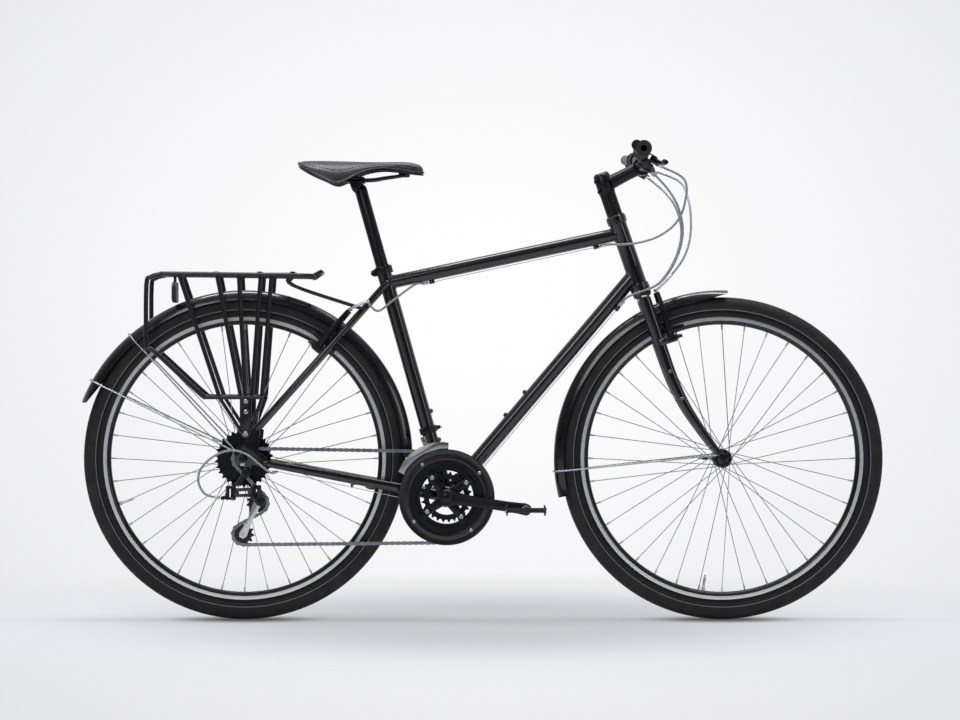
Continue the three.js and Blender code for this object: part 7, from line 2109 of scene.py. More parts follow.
    def _cassette(self, fitter: Fitter) -> None:
        """Fits the eight sprockets, their spacers and the lockring.

        Args:
            fitter: Puts the pieces on the bicycle.
        """
        axle = LAYOUT.rear_axle
        parts = []
        for i, teeth in enumerate(self.cog_teeth):
            plane = self.small_plane - i * self.cog_step
            hole = 15.5 if teeth < 16 else max(15.5, teeth * CHAIN_PITCH / FULL_TURN - 13)
            parts.append(self.sprocket(axle, teeth, plane, hole, 0.0))
            if hole > 16:
                parts.append(self._carrier(axle, plane, hole))
        back = 1 - (self.small_plane - self.cog_step * (len(self.cog_teeth) - 1))
        core = [
            (5.4, -23), (15, -23), (15, back), (19.2, back), (19.2, -57.0), (16.8, -57.3), (16.8, -61.0),
            (8.4, -61.0), (8.4, -60), (5.4, -60), (5.4, -23),
        ]
        parts.append(lathe(core, axle, steps=32))
        whole = joined(parts)
        fitter.fit(whole, "cassette_sprockets", "cassette", SPROCKET_STEEL, ["cassette"])
        lock = [(8.4, -60.6), (8.6, -61.5), (14.5, -61.5), (16.2, -61.0), (16.4, -60.6), (8.4, -60.6)]
        fitter.fit(lathe(lock, axle, steps=36), "cassette_lockring", "cassette", ZINC_STEEL)

    @staticmethod
    def _carrier(axle: Vector, plane: float, hole: float) -> bpy.types.Object:
        """Makes the five arms that carry a large sprocket on its core.

        Args:
            axle: The wheel's axle.
            plane: The sprocket's plane.
            hole: The radius of the sprocket's hole.

        Returns:
            The arms.
        """
        arms = []
        for i in range(5):
            out = aimed(FULL_TURN * (i + 0.3) / 5)
            across = square(out)
            root, tip = out * 17, out * (hole + 2)
            corners = [root - across * 5, tip - across * 4, tip + across * 4, root + across * 5]
            arms.append(plate([axle + corner + aside(-plane - 0.8) for corner in corners], (0, 1.6, 0), 0))
        return joined(arms)

    @property
    def _arm_ways(self) -> list[Vector]:
        """The ways along the right crank's four spider arms."""
        return [aimed(-self.crank_tilt + FULL_TURN * (i + 0.5) / 4) for i in range(4)]

    def _tabs(
        self, half: Sequence[tuple[float, float]], plane: float, thick: float, edge: float = 0.3
    ) -> list[bpy.types.Object]:
        """Makes the same plate along each of the four spider arms.

        Args:
            half: Corners of its one side: how far out each lies and how far from the arm's middle line.
            plane: How far right of the middle plane its outer face lies.
            thick: Its thickness.
            edge: The width of the bevel on its edges.

        Returns:
            The four plates.
        """
        outline = [*[(a, -w) for a, w in half], *[(a, w) for a, w in reversed(half) if w]]
        centre = LAYOUT.bottom_bracket + aside(-plane)
        tabs = []
        for out in self._arm_ways:
            tabs.append(plate([centre + out * a + square(out) * w for a, w in outline], (0, thick, 0), edge))
        return tabs

    def _rings(self, fitter: Fitter) -> None:
        """Fits the three chainrings and the guard ring.

        Args:
            fitter: Puts the pieces on the bicycle.
        """
        bb, tilt = LAYOUT.bottom_bracket, -self.crank_tilt
        (outer, middle, inner), (outer_plane, middle_plane, inner_plane) = self.ring_teeth, self.ring_planes
        big = [self.sprocket(bb, outer, outer_plane, 66.0, self._phase(), 1.0)]
        big += self._tabs([(44, 6), (58, 8), (68, 15)], outer_plane + 1, 2)
        name = "outer_chainring"
        fitter.fit(joined(big), f"{name}_dressed", "crankset", SPROCKET_STEEL, [name])
        guard = [
            (80, -59.8), (80, -61.2), (81.5, -61.7), (86, -61.7), (87, -61.3), (97, -61.3), (98, -61.7),
            (101.3, -61.7), (102.5, -61.0), (102.5, -59.8), (80, -59.8),
        ]
        web = lathe(guard, bb, steps=128, angle=25)
        fitter.fit(web, "chain_guard", "crankset", GUARD_SHEET)
        posts = []
        for out in self._arm_ways:
            at = bb + out * 87 + aside(-61.4)
            posts += [bolt(at, aside(-1), 3.6, 1.6), rod(at, at + aside(6.4), 2.8, sides=12, edge=0)]
        fitter.fit(joined(posts), "guard_screws", "crankset", ZINC_STEEL)
        small = [
            self.sprocket(bb, middle, middle_plane, 57.0, tilt, 1.0),
            self.sprocket(bb, inner, inner_plane, 38.0, tilt, 1.0),
            *self._tabs([(36, 6), (62, 11)], middle_plane + 1, 2),
            *self._tabs([(36, 6), (40, 11)], inner_plane + 1, 2),
        ]
        for out in self._arm_ways:
            at = bb + out * 44
            small.append(rod(at + aside(-47), at + aside(-40), 5, sides=16))
        name = "inner_chainrings"
        fitter.fit(joined(small), f"{name}_dressed", "crankset", SPROCKET_STEEL, [name])

    def _phase(self) -> float:
        """Returns the angle of a roller on the big ring."""
        from_centre = self._path()[3][0] - LAYOUT.bottom_bracket
        return math.atan2(from_centre.z, from_centre.x)

    def _arm(self, direction: float, side: int) -> bpy.types.Object:
        """Makes a crank arm, waisted and rounded, that leans outwards to its pedal eye.

        Args:
            direction: The angle at which it points.
            side: 1 for the left crank and -1 for the right one.

        Returns:
            The arm, with its boss, pedal axle and cap.
        """
        bb, out, lean = LAYOUT.bottom_bracket, aimed(direction), aside(side)
        up = square(out)
        half = [
            (-15, 9), (-8, 15.5), (4, 17), (20, 14.5), (45, 12), (90, 11.2), (130, 11), (155, 12), (168, 13),
            (178, 10.5), (183, 4),
        ]
        outline = [*half, *[(a, -w) for a, w in reversed(half)]]
        face = [bb + out * a + up * w + lean * (63 + 0.062 * a) for a, w in outline]
        arm = plate(face, lean * 12.5, 3.2)
        boss = lathe([(0, 36.5), (16, 36.5), (17, 38), (17, 78), (15, 80), (0, 80)], bb, lean, 40)
        cap = lathe([(0, 79.5), (11, 79.5), (11.5, 80.5), (9, 82.5), (0, 83)], bb, lean, 36)
        eye = bb + out * self.crank_length
        at = self.eye_face
        collar = lathe([(0, at - 7), (9, at - 7), (9, at + 3), (7, at + 3.6), (0, at + 3.6)], eye, lean, 6)
        axle = rod(eye + lean * at, eye + lean * (at + 84), 4.5, sides=16)
        return joined([arm, boss, cap, collar, axle])

    def _cranks(self, fitter: Fitter) -> None:
        """Fits both cranks, the right one with its spindle and four-armed spider.

        Args:
            fitter: Puts the pieces on the bicycle.
        """
        bb, tilt = LAYOUT.bottom_bracket, -self.crank_tilt
        spider = self._tabs([(8, 12), (34, 9.2), (52, 8.2), (59, 5), (60, 0)], 54, 5.2, 1.2)
        spindle = rod(bb + aside(-64), bb + aside(63), 11.8, sides=32)
        right, left = joined([self._arm(tilt, -1), spindle, *spider]), self._arm(tilt + math.pi, 1)
        for name, piece in (("crank_arm_right", right), ("crank_arm_left", left)):
            fitter.fit(piece, f"{name}_dressed", "crankset", ANODISED_ALLOY, [name])
        bolts = [bolt(bb + out * 52 + aside(-56), aside(-1), 5.0, 1.8) for out in self._arm_ways]
        fitter.fit(joined(bolts), "chainring_bolts", "crankset", ZINC_STEEL)

    def _pedals(self, fitter: Fitter) -> None:
        """Fits the two cage pedals, with their plates rounded and their end caps and screws.

        Args:
            fitter: Puts the pieces on the bicycle.
        """
        start = self.eye_face + 4
        for name, side, direction in (
            ("right", -1, -self.crank_tilt), ("left", 1, math.pi - self.crank_tilt),
        ):
            eye = LAYOUT.bottom_bracket + aimed(direction) * self.crank_length
            end = start + 91
            section = [(0, end), (9.2, end), (9.2, end + 2), (6, end + 3.6), (0, end + 4)]
            cap = lathe(section, eye, aside(side), 24)
            fitter.refine(f"pedal_{name}", f"{name}_pedal", NYLON, 0.8, extras=[cap])
            screws, pads = [], []
            for way in (-1, 1):
                for along in (start + 6, start + 86):
                    at = eye + Vector((41.5 * way, side * along, 0))
                    screws.append(bolt(at, (way, 0, 0), 2.8, 1.4))
                pads.append(block(eye + Vector((42.2 * way, side * (start + 46), 0)), (2.4, 34, 11), 0.6))
            fitter.fit(joined(screws), f"pedal_{name}_screws", f"{name}_pedal", ZINC_STEEL)
            fitter.fit(joined(pads), f"pedal_{name}_pads", f"{name}_pedal", NYLON)


# Derailleurs and brakes


@dataclass
class Derailleurs:
    """Both derailleurs: brackets, link, knuckle, cages and pulleys."""

    pulley_plane: float = 61.0

    def build(self, fitter: Fitter) -> None:
        """Builds and fits the derailleurs.

        Args:
            fitter: Puts the pieces on the bicycle.
        """
        fitter.refine("front_derailleur_clamp", "frame", ANODISED_ALLOY, 0.9)
        fitter.refine("front_derailleur_cage", "front_derailleur", SHIFT_PLATE, 0.35)
        fitter.refine("rear_derailleur_bracket", "frame", ANODISED_ALLOY, 1.0)
        fitter.refine("rear_derailleur_link", "rear_derailleur_link", ANODISED_ALLOY, 0.8)
        fitter.refine(
            "rear_derailleur_knuckle",
            "rear_derailleur_knuckle",
            ANODISED_ALLOY,
            0.9,
        )
        fitter.refine("rear_derailleur_cage", "rear_derailleur_cage", CAGE_STEEL, 0.4)
        for name, centre in (("guide", DRIVE.guide), ("tension", DRIVE.tension)):
            self._pulley(fitter, name, centre)
        self._fasteners(fitter)

    def _pulley(self, fitter: Fitter, name: str, centre: Vector) -> None:
        """Fits one jockey pulley with its round-tipped teeth and dished hub.

        Args:
            fitter: Puts the piece on.
            name: Which pulley it is.
            centre: Its middle, in the bicycle's middle plane.
        """
        disc = Drive.sprocket(centre, 11, self.pulley_plane, 3.6, 0.2, 1.1)
        half = [(3.4, 5.8), (6, 5.8), (6.6, 3), (11, 1.6)]
        section = [*[(r, -a) for r, a in half], *reversed(half), (3.4, -5.8)]
        hub = lathe(section, centre + aside(-self.pulley_plane), steps=32)
        whole = joined([disc, hub])
        body = f"{name}_pulley"
        fitter.fit(whole, f"{body}_dressed", body, NYLON, [body])

    def _fasteners(self, fitter: Fitter) -> None:
        """Fits the bolts of both derailleurs.

        Args:
            fitter: Puts the pieces on the bicycle.
        """
        right = aside(-1)
        hanger = LAYOUT.rear_axle + Vector((8, -72.8 - 13.1, -28))
        fitter.fit(bolt(hanger, right, 5.4, 3.0), "hanger_bolt", "frame", BLACK_FASTENER)
        cage = [bolt(centre + aside(-68.6), right, 4.4, 1.6) for centre in (DRIVE.guide, DRIVE.tension)]
        fitter.fit(joined(cage), "pulley_bolts", "rear_derailleur_cage", ZINC_STEEL)
        pivot = DRIVE.guide + Vector((7, -89.2, 5))
        fitter.fit(bolt(pivot, right, 5.2, 1.6), "cage_pivot_bolt", "rear_derailleur_knuckle", BLACK_FASTENER)
        middle = LAYOUT.seat(0, 0, 148)
        foot = LAYOUT.seat(33, 13, 148).lerp(middle, 0.18)
        head = bolt(foot, LAYOUT.seat(33, 17, 148) - middle, 3.6, 3.0)
        fitter.fit(head, "front_band_bolt", "frame", ZINC_STEEL)


@dataclass
class Brakes:
    """The four brake arms with their pads and pivot bolts, and the levers at the bar."""

    front_pivots: Place = (395.892, 0, 599.153)
    rear_pivots: Place = (-345.633, 0, 575.992)

    def build(self, fitter: Fitter) -> None:
        """Builds and fits the brakes and levers.

        Args:
            fitter: Puts the pieces on the bicycle.
        """
        ends = (
            ("front", LAYOUT.steering_forward, Vector(self.front_pivots)),
            ("rear", square(way_of(LAYOUT.seat_stay)), Vector(self.rear_pivots)),
        )
        for end, out, pivot in ends:
            for side, sign in (("left", 1), ("right", -1)):
                body = f"{end}_brake_{side}"
                at = pivot + aside(sign * 42) + out * 20
                fitter.refine(f"{end}_brake_arm_{side}", body, ANODISED_ALLOY, 0.9)
                fitter.fit(bolt(at, out, 5.4, 4.0, 1.8), f"{body}_pivot_bolt", body, BLACK_FASTENER)
        for side in ("left", "right"):
            fitter.refine(f"lever_mount_{side}", "steering", NYLON, 1.0)
            fitter.refine(f"brake_lever_{side}", f"{side}_brake_lever", ANODISED_ALLOY, 1.4, 3)
            fitter.refine(f"shift_lever_{side}", f"{side}_shift_lever", NYLON, 0.9)


# Fenders, rack and saddle


@dataclass
class Fenders:
    """Front and rear fender with their wire stays."""

    radius: float = 361.0
    half_width: float = 22.5
    depth: float = 20.0
    thickness: float = 1.6
    wire: float = 1.8
    rear_start: float = -3.0
    rear_end: float = 160.9
    front_start: float = 88.0
    front_end: float = 193.6

    def _shell(self, centre: Vector, start: float, end: float, steps: int) -> bpy.types.Object:
        """Spins the gutter section over part of a turn.

        Args:
            centre: The wheel's axle.
            start: The angle at one end, in degrees from +X towards +Z.
            end: The angle at the other end.
            steps: Steps of the spin.

        Returns:
            The shell.
        """
        shares = [i / 12 for i in range(-12, 13)]
        outer = [(self.radius - self.depth * abs(s) ** 3, s * self.half_width) for s in shares]
        rolled = 0.9
        inner = [(r - self.thickness, y * (1 - self.thickness / self.half_width)) for r, y in reversed(outer)]
        edge = self.radius - self.depth
        outer[0] = (edge - rolled, -self.half_width)
        outer[-1] = (edge - rolled, self.half_width)
        inner[0] = (edge - rolled - 0.8, self.half_width - 1.0)
        inner[-1] = (edge - rolled - 0.8, -self.half_width + 1.0)
        profile = [*outer, *inner, outer[0]]
        sweep = math.radians(end - start)
        return lathe(profile, centre, steps=steps, start=math.radians(start), sweep=sweep, angle=40)

    def build(self, fitter: Fitter) -> None:
        """Builds and fits both fenders.

        Args:
            fitter: Puts the pieces on the bicycle.
        """
        rear = self._shell(LAYOUT.rear_axle, self.rear_start, self.rear_end, 120)
        self._lip(rear, LAYOUT.rear_axle, self.rear_end, 149)
        self._flare(rear)
        fitter.fit(rear, "rear_fender_dressed", "frame", FENDER_SHEET, ["rear_fender"])
        front = self._shell(LAYOUT.front_axle, self.front_start, self.front_end, 80)
        self._lip(front, LAYOUT.front_axle, self.front_start, 101)
        tab = rod(LAYOUT.steer(0, 0, -26), LAYOUT.steer(0, 0, -32.2), 9, sides=24)
        whole = joined([front, tab])
        fitter.fit(
            whole,
            "front_fender_dressed",
            "steering",
            FENDER_SHEET,
            ["front_fender"],
        )
        self._stays(fitter)

    def _lip(self, shell: bpy.types.Object, axle: Vector, tip: float, full: float) -> None:
        """Draws a shell's sides up towards one end, to a thin lip.

        Args:
            shell: The shell.
            axle: The wheel's axle.
            tip: The angle of the end, in degrees from +X towards +Z.
            full: The angle from which the sides are full.
        """
        centre = metres(axle)
        for vertex in shell.data.vertices:
            away = at_side(vertex.co - centre, 0)
            share = (math.degrees(math.atan2(away.z, away.x)) % 360 - tip) / (full - tip)
            below = self.radius - self.thickness - away.length / MM
            if share < 1 and below > 0:
                left = 0.3 + 0.7 * math.sin(max(0.0, share) * math.pi / 2)
                vertex.co += away.normalized() * below * (1 - left) * MM

    def _lift(self, angle: float) -> float:
        """Returns how far the last fifth of the rear fender stands out at an angle in degrees."""
        return 50 * max(0.0, (angle - self.rear_start) / (self.rear_end - self.rear_start) - 0.8)

    def _flare(self, shell: bpy.types.Object) -> None:
        """Lifts the last fifth of the rear fender outwards, to 10 mm at its tail.

        Args:
            shell: The rear fender's shell.
        """
        axle = metres(LAYOUT.rear_axle)
        for vertex in shell.data.vertices:
            away = at_side(vertex.co - axle, 0)
            vertex.co += away.normalized() * self._lift(math.degrees(math.atan2(away.z, away.x))) * MM

    def _stays(self, fitter: Fitter) -> None:
        """Fits the wire stays and the bolts that hold them.

        Args:
            fitter: Puts the pieces on the bicycle.
        """
        axle = LAYOUT.rear_axle
        eyelet = axle + Vector((-12, 75.6, 14))
        rear = [self._wire(axle, eyelet, angle, self.radius + self._lift(angle)) for angle in (133, 153)]
        rear += [rod(at_side(eyelet, s * 73.2), at_side(eyelet, s * 77.4), 4.2, sides=16) for s in (-1, 1)]
        bolts = [bolt(at_side(eyelet, s * 77.2), aside(s), 4.4, 3.2, 1.2) for s in (-1, 1)]
        name = "rear_fender_stays"
        fitter.fit(joined(rear), f"{name}_dressed", "frame", SPOKE_STEEL, [name])
        fitter.fit(joined(bolts), "rear_stay_bolts", "frame", BLACK_FASTENER)
        hold = LAYOUT.steer(LAYOUT.fork_offset - 6, 59.6, -LAYOUT.fork_length + 11)
        front = [self._wire(LAYOUT.front_axle, hold, 184.5, self.radius)]
        front += [rod(at_side(hold, s * 57.4), at_side(hold, s * 60.6), 3.9, sides=16) for s in (-1, 1)]
        nuts = [bolt(at_side(hold, s * 60.4), aside(s), 4.0, 1.4, 0.6) for s in (-1, 1)]
        name = "front_fender_stays"
        fitter.fit(joined(front), f"{name}_dressed", "steering", SPOKE_STEEL, [name])
        fitter.fit(joined(nuts), "front_stay_bolts", "steering", BLACK_FASTENER)

    def _wire(self, centre: Vector, eyelet: Vector, angle: float, radius: float) -> bpy.types.Object:
        """Runs one stay from an eyelet over the fender to the other side.

        Args:
            centre: The wheel's axle.
            eyelet: Where the left end is held.
            angle: Where the wire crosses the fender, in degrees.
            radius: The fender's radius there.

        Returns:
            The wire.
        """
        over = radius + self.wire + 0.3
        edge = self.half_width + self.wire + 0.6
        out = aimed(math.radians(angle))
        half = [
            eyelet,
            centre + out * (over - self.depth - 8) + aside(edge + 0.6),
            centre + out * (over - self.depth) + aside(edge),
            centre + out * (over - self.depth * 0.35) + aside(edge - 0.6),
            centre + out * over + aside(self.half_width * 0.72),
        ]
        points = [*half, *[p * Vector((1, -1, 1)) for p in reversed(half)]]
        return pipe(points, self.wire, 12)


@dataclass
class Rack:
    """The rear rack, welded from tube, with its reflector."""

    tube: float = 5.0
    top: float = 741.0
    side: float = 62.0
    low_side: float = 77.0
    rear: float = 206.0
    front: float = 127.0
    tip: float = 165.0
    low_level: float = 132.0

    def place(self, ahead: float, side: float, height: float) -> Vector:
        """Returns a place told from the rear axle forward, with its height above the ground."""
        return Vector((LAYOUT.rear_axle.x + ahead, side, height))

    def build(self, fitter: Fitter) -> None:
        """Builds and fits the rack and its reflector.

        Args:
            fitter: Puts the pieces on the bicycle.
        """
        r = self.tube
        low = LAYOUT.rear_axle.z + self.low_level
        top = self.top
        loop = [
            (self.tip, self.side * 0.8, top + 4), (self.front + 18, self.side * 0.95, top - 6),
            (self.front, self.side, top - 4), (60 - self.rear, self.side, top),
            (30 - self.rear, self.side, top - 1), (9 - self.rear, self.side, top - 7),
            (-self.rear, self.side + 1, top - 24), (-self.rear, self.side + 6, top - 146),
            (5 - self.rear, self.side + 6.6, top - 160), (20 - self.rear, self.side + 7, top - 168),
            (-92, self.low_side - 3, low + 8), (-78, self.low_side - 2, low + 1),
            (-60, self.low_side - 1, low), (44, self.low_side, low),
        ]
        rail = pipe(flowing([self.place(*stop) for stop in loop], 5), r, 20)
        parts = [rail]
        for ahead, foot in ((-137, -50), (-56, -4), (-9, 6), (38, 20), (61, 41)):
            head = self.place(ahead, self.side, top)
            parts.append(rod(head, self.place(foot, self.low_side, low + 2), r * 0.95, sides=16, edge=0))
        foot = LAYOUT.rear_axle + Vector((6, self.low_side, 54))
        for ahead, step in ((-50, -6), (42, 8)):
            head = self.place(ahead, self.low_side, low)
            parts.append(rod(head, foot + Vector((step, 0, 0)), r * 0.8, sides=16, edge=0))
        half = joined([*parts, self._foot_plate(foot, low), self._front_stay()])
        cross = []
        for ahead in (-150, -58, 35, self.front - 22):
            cross.append(block(self.place(ahead, 0, top + r / 4), (r * 2, self.side * 2, r * 1.5), 1.2))
        back = 32 - self.rear
        tip = [self.place(self.tip, s * self.side * 0.82, top + 4) for s in (-1, 1)]
        tail = [self.place(back, s * self.side, top) for s in (-1, 1)]
        cross += [
            rod(self.place(back, 0, top), self.place(self.front - 18, 0, top), r * 0.8, sides=16),
            rod(*tip, r, sides=20, edge=1.5),
            rod(*tail, r * 0.8, sides=16, edge=0),
        ]
        whole = joined([half, mirrored(half), *cross])
        fitter.fit(whole, "rear_rack_dressed", "frame", RACK_POWDER, ["rear_rack"])
        self._bolts(fitter, foot)
        self._reflector(fitter)

    def _foot_plate(self, foot: Vector, low: float) -> bpy.types.Object:
        """Makes the plate between the lower rail and the dropout.

        Args:
            foot: Where its bolt goes through the dropout.
            low: The lower rail's height.

        Returns:
            The plate.
        """
        axle = LAYOUT.rear_axle.x
        corners = [
            (axle - 6, low + 8), (axle + 20, low + 8), (foot.x + 12, foot.z), (foot.x + 6, foot.z - 9),
            (foot.x - 6, foot.z - 9), (foot.x - 12, foot.z),
        ]
        return plate([(x, self.low_side - 2, z) for x, z in corners], (0, 4, 0), 0.8)

    def _front_stay(self) -> bpy.types.Object:
        """Makes the left stay from the platform to the seat stay, which it meets at a share of 0.82.

        Returns:
            The stay.
        """
        low, high = LAYOUT.seat_stay
        end = low.lerp(high, 0.82) + aside(LAYOUT.stay_side(0.82) + 7.2 * 0.924 + 3.8)
        start = self.place(self.front - 22, self.side * 0.75, self.top)
        return pipe(flowing([start, start - Vector((0, 0, 24)), end]), 4.0)

    def _bolts(self, fitter: Fitter, foot: Vector) -> None:
        """Fits the rack's bolts at the dropouts and on its foot plates.

        Args:
            fitter: Puts the piece on.
            foot: Where the left bolt goes through its dropout.
        """
        bolts = []
        for s in (-1, 1):
            bolts.append(rod(at_side(foot, s * 73.1), at_side(foot, s * 80), 3.4, sides=14))
            bolts.append(bolt(at_side(foot, s * 79.2), aside(s), 4.4, 3.2, 1.2))
            for step in (46.6, 69):
                bolts.append(bolt(Vector((foot.x + 1, s * 79.1, foot.z + step)), aside(s), 3.8, 2.4, 0.8))
        fitter.fit(joined(bolts), "rack_bolts", "frame", ZINC_STEEL)

    def _reflector(self, fitter: Fitter) -> None:
        """Fits the red reflector: a bracket, a frame and a lens cut in small pyramids.

        Args:
            fitter: Puts the pieces on the bicycle.
        """
        x, high, pitch = LAYOUT.rear_axle.x - 150, self.top - self.tube - 12, 4.4
        corners = [(-41, -36), (-33, -44), (33, -44), (41, -36), (41, -8), (33, 0), (-33, 0), (-41, -8)]
        body = plate([(x + 4.5, y, high + z) for y, z in corners], (-7.6, 0, 0), 1.2)
        bracket = block((x, 0, high + 6.5), (5, 20, 13.6), 0.8)
        whole = joined([body, bracket])
        fitter.fit(whole, "reflector_housing", "frame", NYLON, ["rear_reflector"])
        cells = []
        for row in range(9):
            for column in range(17):
                y, z = (column - 8) * pitch, -4 - row * pitch
                if abs(y) > 30 and (z > -8 or z < -36):
                    continue
                choose()
                bpy.ops.mesh.primitive_cone_add(
                    vertices=4,
                    radius1=3.1 * MM,
                    radius2=0,
                    depth=1.1 * MM,
                    location=metres((x - 4.3, y, high + z)),
                    rotation=(math.pi / 4, -math.pi / 2, 0),
                )
                cells.append(settle(bpy.context.object))
        face = [(x - 3.2, y * 0.92, high - 22 + (z + 22) * 0.88) for y, z in corners]
        sheet = plate(face, (-0.7, 0, 0), 0)
        fitter.fit(joined([sheet, *cells]), "reflector_lens", "frame", REFLECTOR_RED)


@dataclass
class Seat:
    """Seat post, rails and saddle."""

    post_radius: float = 13.6
    rail_radius: float = 3.5
    rail_side: float = 22.0
    rail_height: float = 19.0
    length: float = 268.0
    half_width: float = 82.0
    tail: float = 122.0
    rise: float = 60.0
    seam: float = 0.72
    stitch: float = 4.4
    steps_along: int = 108
    steps_across: int = 44

    def place(self, ahead: float, side: float, up: float) -> Vector:
        """Returns a place told from the post's top."""
        top = LAYOUT.seat(0, 0, LAYOUT.seat_tube_length + LAYOUT.post_out)
        return top + Vector((ahead - 10, side, up))

    def build(self, fitter: Fitter) -> None:
        """Builds and fits the seat.

        Args:
            fitter: Puts the pieces on the bicycle.
        """
        neck_foot = LAYOUT.seat(0, 0, 684)
        shaft = rod(LAYOUT.seat(0, 0, 365), neck_foot, self.post_radius, sides=48)
        line = flowing([LAYOUT.seat(0, 0, 670), neck_foot, self.place(2, 0, 4), self.place(0, 0, 12)], 4)
        neck = pipe(line, [self.post_radius] * 5 + [13.2, 12.8, 12.4, 12.2, 12, 12, 12, 12], 32)
        section = [(0, -26), (10.5, -26), (12, -24.5), (12, 24.5), (10.5, 26), (0, 26)]
        drum = lathe(section, self.place(0, 0, 11), steps=40)
        h = self.rail_height
        plates = []
        for side in (-1, 1):
            plates.append(block(self.place(0, side * self.rail_side, h - 3.4), (40, 13, 6.2), 1.6))
            plates.append(block(self.place(0, side * self.rail_side, h + 3.8), (38, 12, 5.4), 1.6))
        bridge = block(self.place(0, 0, h + 4.2), (30, 34, 4.4), 1.4)
        whole = joined([shaft, neck, drum, *plates, bridge])
        fitter.fit(whole, "seat_post_dressed", "seat", ANODISED_ALLOY, ["seat_post"])
        screws = [bolt(self.place(0, s * 27, 11), aside(s), 5.4, 4.0, 2.0) for s in (-1, 1)]
        screws.append(rod(self.place(0, 0, 11), self.place(0, 0, h + 9), 3.4, sides=16))
        fitter.fit(joined(screws), "seat_clamp_bolts", "seat", BLACK_FASTENER)
        self._rails(fitter)
        self._saddle(fitter)

    def _rails(self, fitter: Fitter) -> None:
        """Fits the bent saddle rails.

        Args:
            fitter: Puts the pieces on the bicycle.
        """
        h, s = self.rail_height, self.rail_side
        half = [
            (-86, s * 1.64, h + 20), (-60, s * 1.27, h + 3), (-36, s, h), (32, s, h), (60, s * 0.82, h + 4),
            (96, s * 0.5, h + 9), (106, s * 0.2, h + 10),
        ]
        points = [self.place(*p) for p in half] + [self.place(a, -b, c) for a, b, c in reversed(half)]
        rails = pipe(flowing(points, 5), self.rail_radius)
        name = "saddle_rails"
        fitter.fit(rails, f"{name}_dressed", "seat", BLACK_FASTENER, [name])

    def _section(self, share: float) -> tuple[float, float, float]:
        """Finds the saddle's section at a place along it.

        Args:
            share: The place, from 0 at its tail to 1 at its nose.

        Returns:
            Half its width, and how far its top and its lower edge lie below its highest place.
        """
        stations = (
            (0, 30, 4, 9), (0.03, 52, 1, 15), (0.1, 70, 0, 27), (0.2, 80, 0, 41),
            (0.3, 82, 0.5, 51.5), (0.38, 75, 1, 46),
            (0.46, 61, 1.5, 33), (0.55, 44, 2, 23), (0.65, 31, 2, 18), (0.75, 24, 1.5, 19),
            (0.85, 20.5, 2, 23),
            (0.93, 17.5, 5, 26), (0.98, 12.5, 11, 26.5), (1, 3, 21.5, 25),
        )
        last = len(stations) - 1
        i = next(k for k in range(last) if share <= stations[k + 1][0] or k == last - 1)
        one, two = stations[i], stations[i + 1]
        before, after = stations[max(0, i - 1)], stations[min(last, i + 2)]
        gap = two[0] - one[0]
        t = min(1.0, (share - one[0]) / gap)
        sizes = []
        for k in (1, 2, 3):
            leave = (two[k] - before[k]) / (two[0] - before[0]) * gap
            arrive = (after[k] - one[k]) / (after[0] - one[0]) * gap
            rise = 3 * (two[k] - one[k]) - 2 * leave - arrive
            bend = leave + arrive - 2 * (two[k] - one[k])
            sizes.append(one[k] + leave * t + rise * t**2 + bend * t**3)
        return sizes[0], sizes[1], sizes[2]

    def _surface(self, share: float, across: float, sink: float, trim: float) -> Vector:
        """Finds a place on the saddle's upper surface.

        Args:
            share: The place along the saddle.
            across: The place across it, from -1 at the right edge to 1 at the left one.
            sink: How far below the cover the surface lies.
            trim: The share of the width that it keeps.

        Returns:
            The place.
        """
        half, top, low = self._section(share)
        reach = abs(across) * trim
        side = math.copysign(half * (1 - (1 - reach) ** 1.6), across)
        height = self.rise - top - (low - top) * reach**2.6 - sink
        along = share * self.length - self.tail
        near_seam = math.exp(-(((reach - self.seam) / 0.035) ** 2))
        pucker = 0.3 * math.sin(FULL_TURN * along / self.stitch) * near_seam
        middle = math.sin(math.pi * min(1.0, max(0.0, (share - 0.2) / 0.65)))
        dip = 1.8 * math.exp(-((side / 8) ** 2)) * middle
        return self.place(along, side, height - 0.9 * near_seam + pucker - dip)

    def _sheet(self, sink: float, trim: float, thickness: float) -> bpy.types.Object:
        """Lays a grid over the saddle's upper surface and thickens it downwards.

        Args:
            sink: How far below the cover it lies.
            trim: The share of the width that it keeps.
            thickness: Its thickness.

        Returns:
            The sheet.
        """
        choose()
        bpy.ops.mesh.primitive_grid_add(
            x_subdivisions=self.steps_along,
            y_subdivisions=self.steps_across,
            size=2,
        )
        piece = settle(bpy.context.object)
        for vertex in piece.data.vertices:
            share, across = (vertex.co.x + 1) / 2, vertex.co.y
            vertex.co = metres(self._surface(share, across, sink, trim))
        with editing(piece):
            bpy.ops.mesh.remove_doubles(threshold=MERGE)
            bpy.ops.mesh.select_all(action="SELECT")
            bpy.ops.mesh.normals_make_consistent(inside=False)
        up = sum((face.normal.z for face in piece.data.polygons), 0.0)
        finish_with(piece, "SOLIDIFY", thickness=thickness * MM, offset=-1.0 if up > 0 else 1.0)
        finish_with(piece, "SUBSURF", levels=1, render_levels=1)
        return smooth(close_up(piece), 60)

